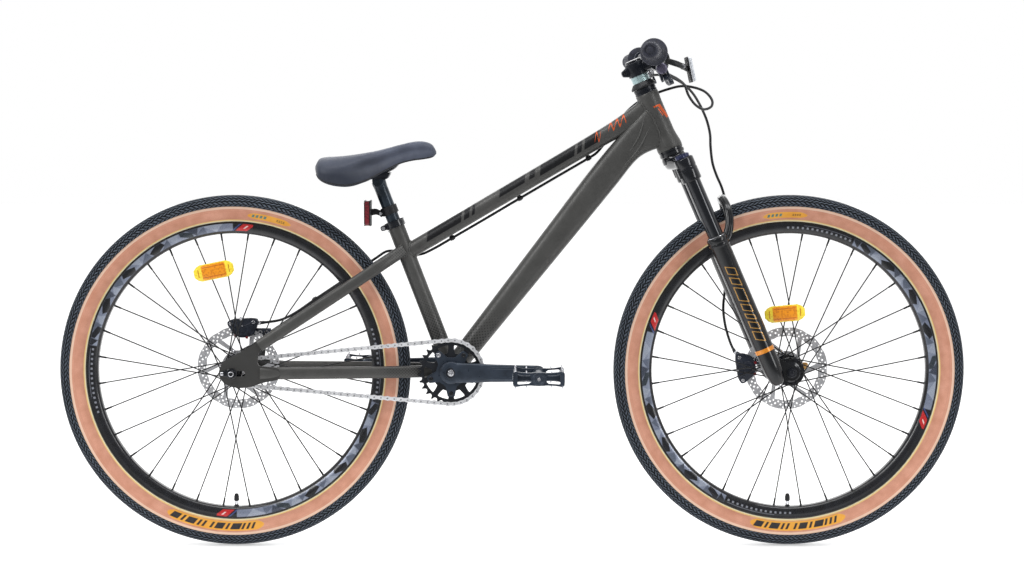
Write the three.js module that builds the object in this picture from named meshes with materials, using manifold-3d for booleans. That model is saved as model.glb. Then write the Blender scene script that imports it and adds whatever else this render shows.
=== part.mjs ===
// Dirt jump bicycle, in millimetres: +x forward, +y to the rider's left, +z up.
// The origin lies on the ground, midway between the wheel axles, on the centre plane.
import * as THREE from 'three';
import { mergeVertices } from 'three/addons/utils/BufferGeometryUtils.js';
import Module from 'manifold-3d';

const wasm = await Module();
wasm.setup();
const { Manifold, CrossSection } = wasm;
const { Vector3, Vector2, Matrix4 } = THREE;
const turn = 2 * Math.PI;
const degree = Math.PI / 180;

// Layout of the whole bicycle
const wheelbase = 1059;
const bracketRise = 0.5;
const headTilt = 23.3 * degree;
const seatTilt = 21.1 * degree;
const forkOffset = 41.9;
const gap = 0.3;
const overrun = 6;

// Counts of facets and repeated features
const wheelSides = 28;
const legSides = 10;
const roundSides = 12;
const barSides = 12;
const tubeSides = 8;
const hoseSides = 5;
const innerTubeSides = 5;
const spokeSides = 3;
const spokesPerSide = 16;
const hoseSteps = { front: 34, rear: 54 };
const railSteps = 10;

// Wheels: radii from the axle, widths across y
const tyre = { radius: 335.5, halfWidth: 29, wall: 4, crownWall: 6, bead: 12.6, beadWall: 3.2 };
const rim = { edgeDepth: 51, bedDepth: 59.5, innerDepth: 73.5, shoulderDepth: 62.5, halfWidth: 15.5,
  wall: 2.3, noseHalfWidth: 7 };
const tube = { radius: 17.5, valveRadius: 3.4, valveLength: 44, valveCollar: 6 };
const spoke = { radius: 1.1, holeRadius: 22.5, rimHalfWidth: 3, crossings: 2 };
const hub = {
  barrel: 13, flange: 27, flangeThick: 4, flangeCone: 2.2, discMount: 20.5, end: 9.5, bore: 5.6,
  rightFlange: 36.5, leftFlangeFront: 27.5, leftFlangeRear: 38.5, driverBeyond: 1.5,
};
const rotor = {
  radius: 80, trackInner: 63, carrier: 31, bore: 15, thick: 1.8, arms: 6, armShare: 0.3,
  frontPlane: 38, rearPlane: 52,
};
const hubSpacing = { front: 100, rear: 135 };
const axle = { frontRadius: 4.5, rearRadius: 4.9, nutRadius: 9, nutThick: 8, camBarrel: 5, camHeight: 6 };
const axleLever = { pivot: 68, earRadius: 7, earThick: 3, length: 46, halfHeight: 8, thick: 5.5, neck: 7.6 };
const wheelReflector = { length: 77, height: 32, thick: 10, end: 13, rearRadius: 195, rearAngle: 101.5 * degree,
  frontRadius: 111, frontAngle: 95.2 * degree, tipSides: 6 };

// Frame: half sizes are [half height in the side view, half width across y]
const headTube = { length: 115, radius: 21, foot: 24.5, flare: 28, bore: 17.6 };
const seatTube = { length: 304, radius: 15.9, bore: 13.1, boreDepth: 215 };
const shell = { radius: 21, halfWidth: 36.5, bore: 17.2 };
const topTube = { seatShare: 0.791, headShare: 0.74, halfHeight: 15, halfWidth: 16, rearHalfWidth: 14,
  headHalfHeight: 26, headHalfWidth: 15, flareShare: 0.86 };
const downTube = { headShare: 0.66, footHalfHeight: 19.5, headHalfHeight: 28, footHalfWidth: 19,
  headHalfWidth: 23, flareShare: 0.752, flareReach: 61, flareRise: 8.4, flareBase: 10, flareTop: 95, inset: 8 };
const chainstay = { halfHeight: 11.5, halfWidth: 7.5, inner: 26, outer: 70.5 };
const chainstayShares = [[0, 0], [0.16, 0.2], [0.26, 0.4], [0.46, 0.65], [0.72, 0.88], [0.87, 1]];
const seatstay = { halfHeight: 11.2, halfWidth: 8, rise: 52.5, reach: 52.6, joinShare: 0.816, inner: 12, outer: 70.5 };
const seatstayShares = [[0, 1], [0.2, 0.94], [0.53, 0.75], [0.78, 0.58], [0.91, 0.32], [1, 0]];
const dropout = { inner: 67.8, thick: 7, slotHalfHeight: 5.3, slotFront: 26, slotRear: 13, reach: 92 };
const dropoutShares = [
  [-0.266, -0.025], [-0.239, 0.13], [-0.173, 0.252], [0.385, 0.554], [0.57, 0.685], [0.685, 0.565], [0.558, 0.445],
  [0.526, 0.155], [1, 0.12], [1, -0.12], [0.672, -0.178], [0.385, -0.279], [0.182, -0.3], [-0.045, -0.267],
  [-0.196, -0.163],
];
const clip = { half: 5 };
const clipShares = { topTube: [0.718, 0.44, 0.165], seatstay: [0.377] };

// Headset and cockpit: heights are measured along the steering axis from the head tube's lower end
const headset = { cupHeight: 12, cupRadius: 24.5, upperRadius: 21.5, coverHeight: 11, coverTop: 18.5,
  spacerHeight: 14, spacerRadius: 17 };
const steerer = { radius: 14.3 };
const stem = { height: 26, clampRadius: 19, reach: 45, barRadius: 21, barHalfWidth: 25, earReach: 27,
  earHalfWidth: 11, earHeight: 18, neckHalfWidth: 15, neckHalfHeight: 12, jawGap: 1.2, capRadius: 16, capHeight: 5.5 };
const bar = { clampRadius: 15.9, radius: 11.1, halfLength: 378, clampHalf: 34, shoulder: 56, sweep: 30.6,
  rise: 19.4, bendStart: 86, bendEnd: 150, bendSweep: 7, bendRise: 11 };
const grip = { reach: 128, beyond: 3, radius: 15.6, endRadius: 14.5, flange: 25, flangeThick: 6, cap: 4 };
// Distances inboard of the grip for the lever's clamp, cylinder and pivot
const lever = { clampIn: 31, clampOut: 15, clampRadius: 15.6, drop: 32, cylinderRadius: 8, cylinderIn: 84,
  cylinderOut: 12, pivotDrop: 47.5, pivotAt: 24, bladeLength: 112, bladeHalfThick: 4, webHalf: 7, lugHalf: 9,
  lugBack: 9, lugBelow: 8, slotHalf: 4.8, slotTop: 40.4, pinRadius: 2.5 };
const bladeShares = [
  [-0.05, -0.04], [-0.05, 0.035], [0.035, 0.045], [0.14, -0.03], [0.5, -0.065], [0.88, -0.055], [0.98, -0.075],
  [1, -0.12], [0.94, -0.16], [0.5, -0.155], [0.14, -0.13], [0, -0.06],
];
const frontReflector = { clampY: -70, clampHalf: 6, clampRadius: 15.5, halfHeight: 24.5, halfWidth: 36,
  thick: 9, reach: 48.7, drop: 41.5, lean: 11.3 * degree, armRadius: 6 };

// Fork: s is the distance ahead of the steering axis, t the height along it
const crown = { top: -12.3, bottom: -38, halfDepth: 22, raceRadius: 24, raceHeight: 3, socketTop: -24,
  socketBottom: -70, socketRadius: 19, legSpread: 65, legAhead: 11.2, tyreRoom: 143.5 };
const stanchion = { radius: 15, bore: 12.4, footShare: 0.689, boreTop: -80 };
const lowers = { topShare: 0.3883, collar: 16, collarRadius: 20.5, radius: 18.7, foot: 10, tip: 13, tipRadius: 13,
  taper: 36, boreShare: 0.522, lugThick: 9, lugRadius: 15, lugHeight: 52, lugBack: 8, lugFront: 12 };
const arch = { halfDepth: 8.5, halfHeight: 8, ahead: 53, spread: 60, tyreRoom: 16.5, below: 9, guideHalf: 5 };
const archShares = [[0.5, 1, 0.02], [0.85, 0.86, 0.36], [1, 0.62, 0.76], [1, 0.3, 0.96], [1, 0, 1]];
const lugRoundShares = [0.18, 0.09, 0, -0.09, -0.18, -0.27, -0.36];
const spring = { radius: 10.5, top: -92 };
const knob = { radius: 14, height: 9, sides: 12, capHeight: 5, capRadius: 13 };

// Brakes
const caliper = { inner: 58, outer: 98, halfLength: 28, wheelSide: 10.5, outSide: 14.5, slotHalf: 5.1,
  slotOuter: 84, frontAngle: 179.6 * degree, rearAngle: 84 * degree };
const pad = { inner: 60.5, outer: 80.5, halfLength: 12, thick: 3.5, running: 0.35 };
const frontFoot = { back: -92, front: -44, near: 44, far: 56, low: 6, high: 26 };
const rearFoot = { back: 22, front: 62, near: 54, far: 67.4, low: 60, high: 76 };

// Chain drive
const chain = { pitch: 12.7, tyreRoom: 78, line: 47, halfWidth: 3.3, plateHigh: 4.2, rollerRadius: 3.7,
  slotHalf: 1.75 };
const chainring = { teeth: 30, thick: 2.6, root: 4.3, tip: 2.6, baseHalf: 2.3, tipHalf: 0.9,
  windows: 5, windowInner: 27, windowOuter: 49, windowShare: 0.66, bore: 17 };
const sprocket = { teeth: 11, thick: 2.4, root: 4.3, tip: 2.4, baseHalf: 2, tipHalf: 0.8,
  body: 17.2, bore: 15.2, bodyIn: 40.5, bodyOut: 54 };
const crank = { length: 165, base: 52, baseThick: 15, tip: 70, tipThick: 13, boss: 21, baseHalf: 18.5,
  midHalf: 16.8, tipHalf: 15.5, tipEnd: 11, spindleRadius: 12, spindleEnd: 68, boltRadius: 7.5, boltProud: 2,
  spiderIn: 48.7, spiderInner: 24, spiderOuter: 47 };
const bearing = { cupRadius: 21, cupOut: 43.6, sleeve: 16.8 };
const pedal = { inner: 91, outer: 187, halfLength: 48, halfHeight: 14, waist: 10.5, barHalf: 5, barrel: 11,
  sideThick: 8, axleRadius: 5, axleGap: 0.4, pinRadius: 2, pinHeight: 4.5, pinSides: 4, rib: 7 };

// Seat
const post = { radius: 12.7, rise: 84, insert: 165, barrel: 11, barrelHalf: 18, shoulder: 4 };
const collar = { radius: 19.6, height: 13, rise: 2.5, earReach: 29, earHalf: 6.5, earHeight: 9 };
const saddle = { behind: 118.3, ahead: 110.7, above: -8.5, height: 83.5, halfWidth: 71, pad: 19 };
// Shares of the length, then of the height for crown and skirt, of the half width, and how hollow the underside is
const saddleShares = [
  [0, 0.521, 0.317, 0.62, 0], [0.035, 0.611, 0.162, 0.86, 0.4], [0.1, 0.647, 0.06, 0.97, 1],
  [0.2, 0.677, 0, 1, 1], [0.3, 0.707, 0, 0.96, 1], [0.4, 0.749, 0.078, 0.84, 1], [0.5, 0.796, 0.216, 0.66, 1],
  [0.6, 0.862, 0.377, 0.48, 1], [0.7, 0.934, 0.503, 0.35, 1], [0.8, 0.988, 0.569, 0.29, 1],
  [0.89, 1, 0.593, 0.265, 0.6], [0.96, 0.94, 0.629, 0.235, 0.2], [1, 0.808, 0.695, 0.14, 0],
];
// Half of a saddle section: shares of the half width and of the depth from skirt to crown
const saddleSideShares = [[0.93, 0], [1, 0.3], [0.9, 0.68], [0.62, 0.88], [0.3, 0.97]];
const rails = { radius: 3.5, reach: 100, spread: 21, clampHalfLength: 19, clampHalfWidth: 27, clampHeight: 19,
  clampBase: 3 };
const railShares = [
  [0.72, 0.4, 0.62], [0.5, 0.75, 0.36], [0.22, 1, 0.18], [0, 1, 0.15], [-0.32, 1, 0.14], [-0.66, 1, 0.17],
  [-0.93, 1, 0.31],
];
const rearReflector = { rise: 24, bandHalf: 8, bandRadius: 15.8, ahead: -35, thick: 13, low: -30, high: 19,
  halfWidth: 28, armHalf: 4.5 };

// Hoses: the routes are chosen by hand and hang on the parts that carry them
const hoseRadius = 2.5;
// Cockpit points: ahead of the steering axis, share of the lever's inner end, height above the stem's middle
const rearCockpitShares = [
  [32.2, -0.993, -25], [39.3, -0.916, -29.3], [48.4, -0.819, -38.7], [57.2, -0.711, -48.5], [65.9, -0.566, -63.7],
  [66.9, -0.434, -84.2], [73.2, -0.313, -106], [86.2, -0.181, -120.7], [102.8, -0.072, -121.5],
  [109.5, 0.012, -111.6], [104.8, 0.096, -92.3], [88.8, 0.169, -75.7], [68.1, 0.217, -64.1], [43.7, 0.241, -59.6],
  [14.1, 0.241, -57.7], [-19.4, 0.217, -59.6],
];
const frontCockpitShares = [
  [30, 0.993, -23.6], [36, 0.904, -24.5], [50, 0.795, -31], [64, 0.687, -43], [79.6, 0.554, -65.6],
  [86.6, 0.446, -88.4], [88.8, 0.367, -108.9], [89.3, 0.319, -125.8], [88.2, 0.277, -146.9], [83.3, 0.247, -171.4],
];
// Tube points: share along the tube from its rear end, distance aside, height off its centre line
const topTubeHoseShares = [
  [0.912, 33, 16.7], [0.85, 31, 2.8], [0.791, 22, -12.9], [0.749, 10, -20.3], [0.718, 5, -20.9], [0.578, 4, -20.6],
  [0.44, 4, -20.4], [0.301, 4, -20.6], [0.165, 4, -20.2], [0.089, 8, -19.8], [0.041, 19, -17.1], [0.012, 27, -8.8],
];
const seatstayHoseShares = [
  [0.972, 35, -4.2], [0.939, 41.5, 6.6], [0.894, 45, 15.1], [0.8215, 47, 15.7], [0.605, 54.5, 14.2],
  [0.377, 60, 13.7], [0.235, 64, 12.9], [0.147, 64, 16.4],
];
const rearCaliperHose = [[59.5, 60, 88], [42.5, 58, 86.5]];
// Fork points: ahead of the steering axis, distance aside, share of the fork's length below the head tube
const forkHoseShares = [
  [74.8, 38, 0.059], [66, 37.5, 0.123], [64, 40, 0.175], [64.5, 45, 0.224], [62, 54, 0.276], [54, 66, 0.334],
  [42, 80, 0.397], [27, 91, 0.463], [12, 94, 0.539], [-4, 91, 0.618], [-21, 84, 0.681], [-31, 76, 0.743],
  [-36, 66, 0.806], [-37, 55, 0.839], [-36.5, 46, 0.86],
];

// Colours
const paint = {
  frame: [0x464442, 0.55, 0.3], black: [0x1b1d22, 0.5, 0.1], rubber: [0x2d323a, 0.85, 0], tan: [0xd69678, 0.8, 0],
  steel: [0xc8c8cd, 0.35, 0.9], crank: [0x2d323c, 0.4, 0.4], saddle: [0x4b4e5a, 0.7, 0], amber: [0xeb9614, 0.3, 0],
  red: [0x8c2030, 0.3, 0], ice: [0xb4c8cc, 0.35, 0.6], rim: [0x202228, 0.4, 0.3], clear: [0xe8e8ea, 0.2, 0],
  slate: [0x2a323a, 0.4, 0.4], brass: [0xc89050, 0.4, 0.8],
};

// Shared sizes and frames of reference
const rimEdge = tyre.radius - rim.edgeDepth;
const rimBed = tyre.radius - rim.bedDepth;
const rimInner = tyre.radius - rim.innerDepth;
const rimShoulder = tyre.radius - rim.shoulderDepth;
const forkLength = tyre.radius + crown.tyreRoom;
const chainLinks = linksFor(tyre.radius + chain.tyreRoom);
const axleOut = wheelbase / 2;
const rearAxle = new Vector3(-axleOut, 0, tyre.radius);
const frontAxle = new Vector3(axleOut, 0, tyre.radius);
const steerUp = new Vector3(-Math.sin(headTilt), 0, Math.cos(headTilt));
const steerAhead = new Vector3(Math.cos(headTilt), 0, Math.sin(headTilt));
const headFoot = frontAxle.clone().addScaledVector(steerUp, forkLength).addScaledVector(steerAhead, -forkOffset);
const steerFrame = new Matrix4().makeRotationY(-headTilt).setPosition(headFoot);
const bracketX = rearAxle.x + Math.sqrt(centreDistance(chainLinks) ** 2 - bracketRise ** 2);
const bracket = new Vector3(bracketX, 0, tyre.radius + bracketRise);
const seatUp = new Vector3(-Math.sin(seatTilt), 0, Math.cos(seatTilt));
const seatFrame = new Matrix4().makeRotationY(-seatTilt).setPosition(bracket);
const gripInner = bar.halfLength - grip.reach;
const postTop = seatTube.length + post.rise;
const legTop = -forkLength * lowers.topShare;
const legBottom = -forkLength - lowers.foot;
const stanchionFoot = -forkLength * stanchion.footShare;
const onSeatTube = (share) => bracket.clone().addScaledVector(seatUp, seatTube.length * share);
const topTubeLine = [onSeatTube(topTube.seatShare), steer(0, 0, headTube.length * topTube.headShare)];
const seatstayLine = [rearAxle.clone().add(new Vector3(seatstay.reach, 0, seatstay.rise)), onSeatTube(seatstay.joinShare)];

const stackAt = (() => {
  const cup = headTube.length + headset.cupHeight;
  const cover = cup + headset.coverHeight;
  const spacer = cover + headset.spacerHeight;
  const stemTop = spacer + stem.height;
  return { cup, cover, spacer, stemTop, stemMiddle: spacer + stem.height / 2 };
})();

const bicycle = new THREE.Group();
const steering = placed(steerFrame);
const seatLine = placed(seatFrame);
const frontWheel = placed(new Matrix4().setPosition(frontAxle));
const rearWheel = placed(new Matrix4().setPosition(rearAxle));
const cranks = placed(new Matrix4().setPosition(bracket));

function placed(matrix) {
  const group = new THREE.Group();
  group.applyMatrix4(matrix);
  bicycle.add(group);
  return group;
}

function steer(s, y, t) {
  return new Vector3(s, y, t).applyMatrix4(steerFrame);
}

function mix(a, b, share) {
  return a + (b - a) * share;
}

function pitchRadius(teeth) {
  return chain.pitch / (2 * Math.sin(Math.PI / teeth));
}

function linksAround(distance) {
  const large = pitchRadius(chainring.teeth);
  const small = pitchRadius(sprocket.teeth);
  const lean = Math.asin((large - small) / distance);
  const wrapped = (Math.PI + 2 * lean) / turn * chainring.teeth + (Math.PI - 2 * lean) / turn * sprocket.teeth;
  return 2 * distance * Math.cos(lean) / chain.pitch + wrapped;
}

// Even count of links that keeps the tyre clear of the bracket
function linksFor(distance) {
  return 2 * Math.ceil(linksAround(distance) / 2);
}

// The axle is drawn back in its slots until the closed chain is straight
function centreDistance(links) {
  let near = pitchRadius(chainring.teeth) + pitchRadius(sprocket.teeth);
  let far = links * chain.pitch;
  while (far - near > chain.pitch * 1e-9) {
    const middle = mix(near, far, 0.5);
    if (linksAround(middle) < links) near = middle;
    else far = middle;
  }
  return near;
}

// Bore in which a faceted round piece turns with the usual gap at its corners
function clearBore(radius, sides = roundSides) {
  return (radius + gap) / Math.cos(Math.PI / sides);
}

// Solids: every helper below gives a closed solid
function solidOf(geometry) {
  const bare = geometry.index ? geometry.toNonIndexed() : geometry.clone();
  bare.deleteAttribute('normal');
  bare.deleteAttribute('uv');
  const merged = mergeVertices(bare, 1e-4);
  const place = merged.attributes.position.array;
  const index = merged.index.array;
  const kept = [];
  let volume = 0;
  for (let i = 0; i < index.length; i += 3) {
    const [a, b, c] = [index[i], index[i + 1], index[i + 2]];
    if (a === b || b === c || c === a) continue;
    kept.push(a, b, c);
    volume += new Vector3().fromArray(place, 3 * a)
      .dot(new Vector3().fromArray(place, 3 * b).cross(new Vector3().fromArray(place, 3 * c)));
  }
  const ordered = volume < 0 ? kept.reverse() : kept;
  return new Manifold(new wasm.Mesh({
    numProp: 3, vertProperties: new Float32Array(place), triVerts: new Uint32Array(ordered),
  }));
}

function geometryOf(solid) {
  const mesh = solid.asOriginal().simplify(gap * 0.2).getMesh();
  const geometry = new THREE.BufferGeometry();
  geometry.setAttribute('position', new THREE.BufferAttribute(mesh.vertProperties, 3));
  geometry.setIndex(new THREE.BufferAttribute(mesh.triVerts, 1));
  geometry.computeVertexNormals();
  return geometry;
}

function node(group, name, solid, colour) {
  const [color, roughness, metalness] = colour;
  const mesh = new THREE.Mesh(geometryOf(solid), new THREE.MeshStandardMaterial({ color, roughness, metalness }));
  mesh.name = name;
  group.add(mesh);
  return mesh;
}

function join(...solids) {
  return solids.flat().reduce((all, next) => all.add(next));
}

function cut(solid, ...tools) {
  return tools.flat().reduce((left, tool) => left.subtract(tool), solid);
}

// Skin over a row of rings with equal counts of points
function loft(rings) {
  const count = rings[0].length;
  const points = rings.flat().flatMap((p) => [p.x, p.y, p.z]);
  const faces = [];
  for (let r = 0; r + 1 < rings.length; r++) {
    for (let k = 0; k < count; k++) {
      const [a, b] = [r * count + k, r * count + (k + 1) % count];
      faces.push(a, b, a + count, b, b + count, a + count);
    }
  }
  const last = (rings.length - 1) * count;
  for (let k = 1; k + 1 < count; k++) {
    faces.push(0, k + 1, k, last, last + k, last + k + 1);
  }
  const geometry = new THREE.BufferGeometry();
  geometry.setAttribute('position', new THREE.BufferAttribute(new Float32Array(points), 3));
  geometry.setIndex(faces);
  return solidOf(geometry);
}

// Ring of points round a centre: up and side are half-size vectors, squareness 1 is an ellipse
function ringAt(centre, up, side, sides, squareness = 1) {
  return Array.from({ length: sides }, (_, k) => {
    const angle = turn * (k + 0.5) / sides;
    const [c, s] = [Math.cos(angle), Math.sin(angle)];
    return centre.clone()
      .addScaledVector(up, Math.sign(c) * Math.abs(c) ** squareness)
      .addScaledVector(side, Math.sign(s) * Math.abs(s) ** squareness);
  });
}

// Straight round bar, or a cone between two radii
function rod(from, to, radius, sides = roundSides, endRadius = radius) {
  const along = to.clone().sub(from).normalize();
  const rough = Math.abs(along.y) > 0.9 ? new Vector3(1, 0, 0) : new Vector3(0, 1, 0);
  const up = rough.clone().cross(along).normalize();
  const side = along.clone().cross(up);
  return loft([
    ringAt(from, up.clone().multiplyScalar(radius), side.clone().multiplyScalar(radius), sides),
    ringAt(to, up.clone().multiplyScalar(endRadius), side.clone().multiplyScalar(endRadius), sides),
  ]);
}

// Round tube through points, its rings carried along without twist
function sweep(points, radiusAt, sides) {
  let up = new Vector3(0, 0, 1);
  const rings = points.map((point, i) => {
    const ahead = points[Math.min(i + 1, points.length - 1)].clone().sub(points[Math.max(i - 1, 0)]).normalize();
    up = up.clone().addScaledVector(ahead, -up.dot(ahead)).normalize();
    const side = ahead.clone().cross(up);
    const radius = radiusAt(i);
    return ringAt(point, up.clone().multiplyScalar(radius), side.multiplyScalar(radius), sides);
  });
  return loft(rings);
}

function smooth(points, steps) {
  return new THREE.CatmullRomCurve3(points, false, 'centripetal').getSpacedPoints(steps);
}

// Turned solid: the profile is a closed list of [radius, distance along the axis]
function turned(profile, sides = roundSides, axis = 'y') {
  const closed = [...profile, profile[0]].map(([r, h]) => new Vector2(r, h));
  const geometry = new THREE.LatheGeometry(closed, sides, turn * 0.5 / sides);
  if (axis === 'z') geometry.rotateX(Math.PI / 2);
  return solidOf(geometry);
}

function ringSolid(inner, outer, low, high, sides = roundSides, axis = 'y') {
  return turned([[inner, low], [outer, low], [outer, high], [inner, high]], sides, axis);
}

function block(low, high) {
  const size = high.clone().sub(low);
  const geometry = new THREE.BoxGeometry(size.x, size.y, size.z);
  const middle = low.clone().add(high).multiplyScalar(0.5);
  return solidOf(geometry.translate(middle.x, middle.y, middle.z));
}

// Flat plate: an outline in x and z, from one y to a higher one
function plate(outline, holes, low, high) {
  const section = new CrossSection([outline, ...holes], 'EvenOdd');
  return section.extrude(high - low).rotate([90, 0, 0]).translate([0, high, 0]);
}

function circle(radius, sides, x = 0, z = 0) {
  return Array.from({ length: sides }, (_, k) => {
    const angle = turn * (k + 0.5) / sides;
    return [x + radius * Math.cos(angle), z + radius * Math.sin(angle)];
  });
}

// Window between two radii, centred on an angle
function windowAt(angle, spread, inner, outer) {
  const corner = (radius, at) => [radius * Math.cos(at), radius * Math.sin(at)];
  return [
    corner(inner, angle - spread * 0.5), corner(outer, angle - spread), corner(outer, angle),
    corner(outer, angle + spread), corner(inner, angle + spread * 0.5),
  ];
}

function moved(solid, matrix) {
  return solid.transform(matrix.elements);
}

// Wheels
function tyreSolid() {
  const bandShare = { wall: 0.42, shoulder: 0.78 };
  const height = tyre.radius - rimBed;
  const bottom = rimBed + gap + 0.7 * tyre.wall * 0.3;
  const outer = [
    [bottom, tyre.bead], [rimEdge + gap * 3, tyre.bead], [rimBed + height * bandShare.wall, tyre.halfWidth * 0.95],
    [rimBed + height * bandShare.shoulder, tyre.halfWidth * 0.82],
  ];
  const inner = [
    [rimBed + height * 0.84, tyre.halfWidth * 0.5], [rimBed + height * 0.4, tyre.halfWidth - tyre.wall * 1.7],
    [rimEdge + tyre.wall, tyre.bead - tyre.beadWall * 0.35], [bottom, tyre.bead - tyre.beadWall],
  ];
  const mirror = ([r, y]) => [r, -y];
  const profile = [
    ...outer, [tyre.radius, tyre.halfWidth * 0.24], [tyre.radius, -tyre.halfWidth * 0.24],
    ...outer.map(mirror).reverse(), ...inner.map(mirror).reverse(), ...inner,
  ];
  const facetRise = 1 / Math.cos(Math.PI / wheelSides);
  return turned(profile.map(([r, y]) => [r < tyre.radius ? r : r * facetRise, y]), wheelSides);
}

function rimSolid() {
  const wall = rim.halfWidth - rim.wall;
  const solid = turned([
    [rimEdge, rim.halfWidth], [rimEdge, wall], [rimBed, wall], [rimBed, -wall], [rimEdge, -wall],
    [rimEdge, -rim.halfWidth], [rimShoulder, -rim.halfWidth], [rimInner, -rim.noseHalfWidth],
    [rimInner, rim.noseHalfWidth], [rimShoulder, rim.halfWidth],
  ], wheelSides);
  const hole = rod(new Vector3(0, 0, -rimInner + overrun), new Vector3(0, 0, -rimBed - overrun),
    tube.valveRadius + gap, hoseSides);
  return cut(solid, hole);
}

function innerTubeSolid() {
  const centre = tyre.radius - tyre.crownWall - tube.radius - tyre.wall;
  const ring = turned(circle(tube.radius, innerTubeSides, centre, 0), wheelSides);
  const foot = -(rimBed - tube.valveLength);
  const valve = rod(new Vector3(0, 0, foot), new Vector3(0, 0, -centre), tube.valveRadius, hoseSides);
  return join(ring, valve);
}

function spokesSolid(side, flangeAt, phase, radius = spoke.radius) {
  const lean = turn * spoke.crossings / spokesPerSide;
  const flangeY = side * (flangeAt + gap + spoke.radius);
  const rimY = side * spoke.rimHalfWidth;
  const end = rimInner * Math.cos(Math.PI / wheelSides) - gap - spoke.radius * 0.5;
  const at = (radius, angle, y) => new Vector3(radius * Math.cos(angle), y, radius * Math.sin(angle));
  return join(Array.from({ length: spokesPerSide }, (_, k) => {
    const start = turn * k / spokesPerSide + phase;
    const finish = start + (k % 2 ? lean : -lean);
    return rod(at(spoke.holeRadius, start, flangeY), at(end, finish, rimY), radius, spokeSides);
  }));
}

function hubSolid(spacing, leftFlange, discFace, driver) {
  const end = spacing / 2 - gap;
  const right = hub.rightFlange;
  const thick = hub.flangeThick;
  const driverOut = driver ? sprocket.bodyOut + hub.driverBeyond : right;
  const driverRadius = driver ? sprocket.bore * Math.cos(Math.PI / roundSides) - gap : hub.end;
  return turned([
    [hub.bore, -end], [hub.end, -end], [hub.end, -driverOut], [driverRadius, -driverOut],
    [driverRadius, -right], [hub.discMount, -right],
    [hub.flange, -right + hub.flangeCone], [hub.flange, -right + thick],
    [hub.barrel, -right + thick], [hub.barrel, leftFlange - thick], [hub.flange, leftFlange - thick],
    [hub.flange, leftFlange - hub.flangeCone], [hub.discMount, leftFlange],
    [hub.discMount, discFace], [hub.end, discFace], [hub.end, end], [hub.bore, end],
  ]);
}

function rotorSolid(plane) {
  const step = turn / rotor.arms;
  const windows = Array.from({ length: rotor.arms }, (_, k) =>
    windowAt(step * k, step * (0.5 - rotor.armShare * 0.5), rotor.carrier, rotor.trackInner));
  return plate(circle(rotor.radius, wheelSides), [circle(rotor.bore, roundSides), ...windows],
    plane - rotor.thick / 2, plane + rotor.thick / 2);
}

function wheelReflectorSolid(radius, angle, spokes) {
  const half = wheelReflector.length / 2;
  const waist = wheelReflector.height / 2;
  const outline = [
    [-half, -waist * 0.45], [-half + wheelReflector.end, -waist], [half - wheelReflector.end, -waist],
    [half, -waist * 0.45], [half, waist * 0.45], [half - wheelReflector.end, waist],
    [-half + wheelReflector.end, waist], [-half, waist * 0.45],
  ];
  const depthShare = (radius - spoke.holeRadius) / (rimInner - spoke.holeRadius);
  const depth = -mix(hub.rightFlange + gap + spoke.radius, spoke.rimHalfWidth, depthShare);
  const flat = plate(outline, [], depth - wheelReflector.thick / 2, depth + wheelReflector.thick / 2);
  const matrix = new Matrix4().makeRotationY(-(angle - Math.PI / 2))
    .setPosition(radius * Math.cos(angle), 0, radius * Math.sin(angle));
  return cut(moved(flat, matrix), spokes);
}

function addWheel(group, name, spacing, leftFlange, discPlane, reflectorRadius, reflectorAngle) {
  const phase = turn / spokesPerSide / 4;
  const otherPhase = phase + turn / spokesPerSide / 2;
  node(group, `${name}_tyre`, tyreSolid(), paint.tan);
  node(group, `${name}_inner_tube`, innerTubeSolid(), paint.rubber);
  node(group, `${name}_rim`, rimSolid(), paint.rim);
  node(group, `${name}_spokes_right`, spokesSolid(-1, hub.rightFlange, phase), paint.black);
  node(group, `${name}_spokes_left`, spokesSolid(1, leftFlange, otherPhase), paint.black);
  const discFace = discPlane - rotor.thick / 2 - gap;
  node(group, `${name}_hub`, hubSolid(spacing, leftFlange, discFace, group === rearWheel), paint.black);
  node(group, `${name}_rotor`, rotorSolid(discPlane), paint.steel);
  const seats = spokesSolid(-1, hub.rightFlange, phase, spoke.radius + gap);
  node(group, `${name}_wheel_reflector`, wheelReflectorSolid(reflectorRadius, reflectorAngle, seats), paint.amber);
}

// Toothed disc: teeth stand between the chain's rollers, the first gap lies at the given angle
function toothedOutline(wheel, gapAngle) {
  const pitch = pitchRadius(wheel.teeth);
  const step = turn / wheel.teeth;
  const at = (radius, aside, middle) => {
    const angle = middle + Math.atan2(aside, radius);
    return [radius * Math.cos(angle), radius * Math.sin(angle)];
  };
  return Array.from({ length: wheel.teeth }, (_, k) => {
    const middle = gapAngle + step * (k + 0.5);
    return [
      at(pitch - wheel.root, -wheel.baseHalf, middle), at(pitch + wheel.tip, -wheel.tipHalf, middle),
      at(pitch + wheel.tip, wheel.tipHalf, middle), at(pitch - wheel.root, wheel.baseHalf, middle),
    ];
  }).flat();
}

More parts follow.
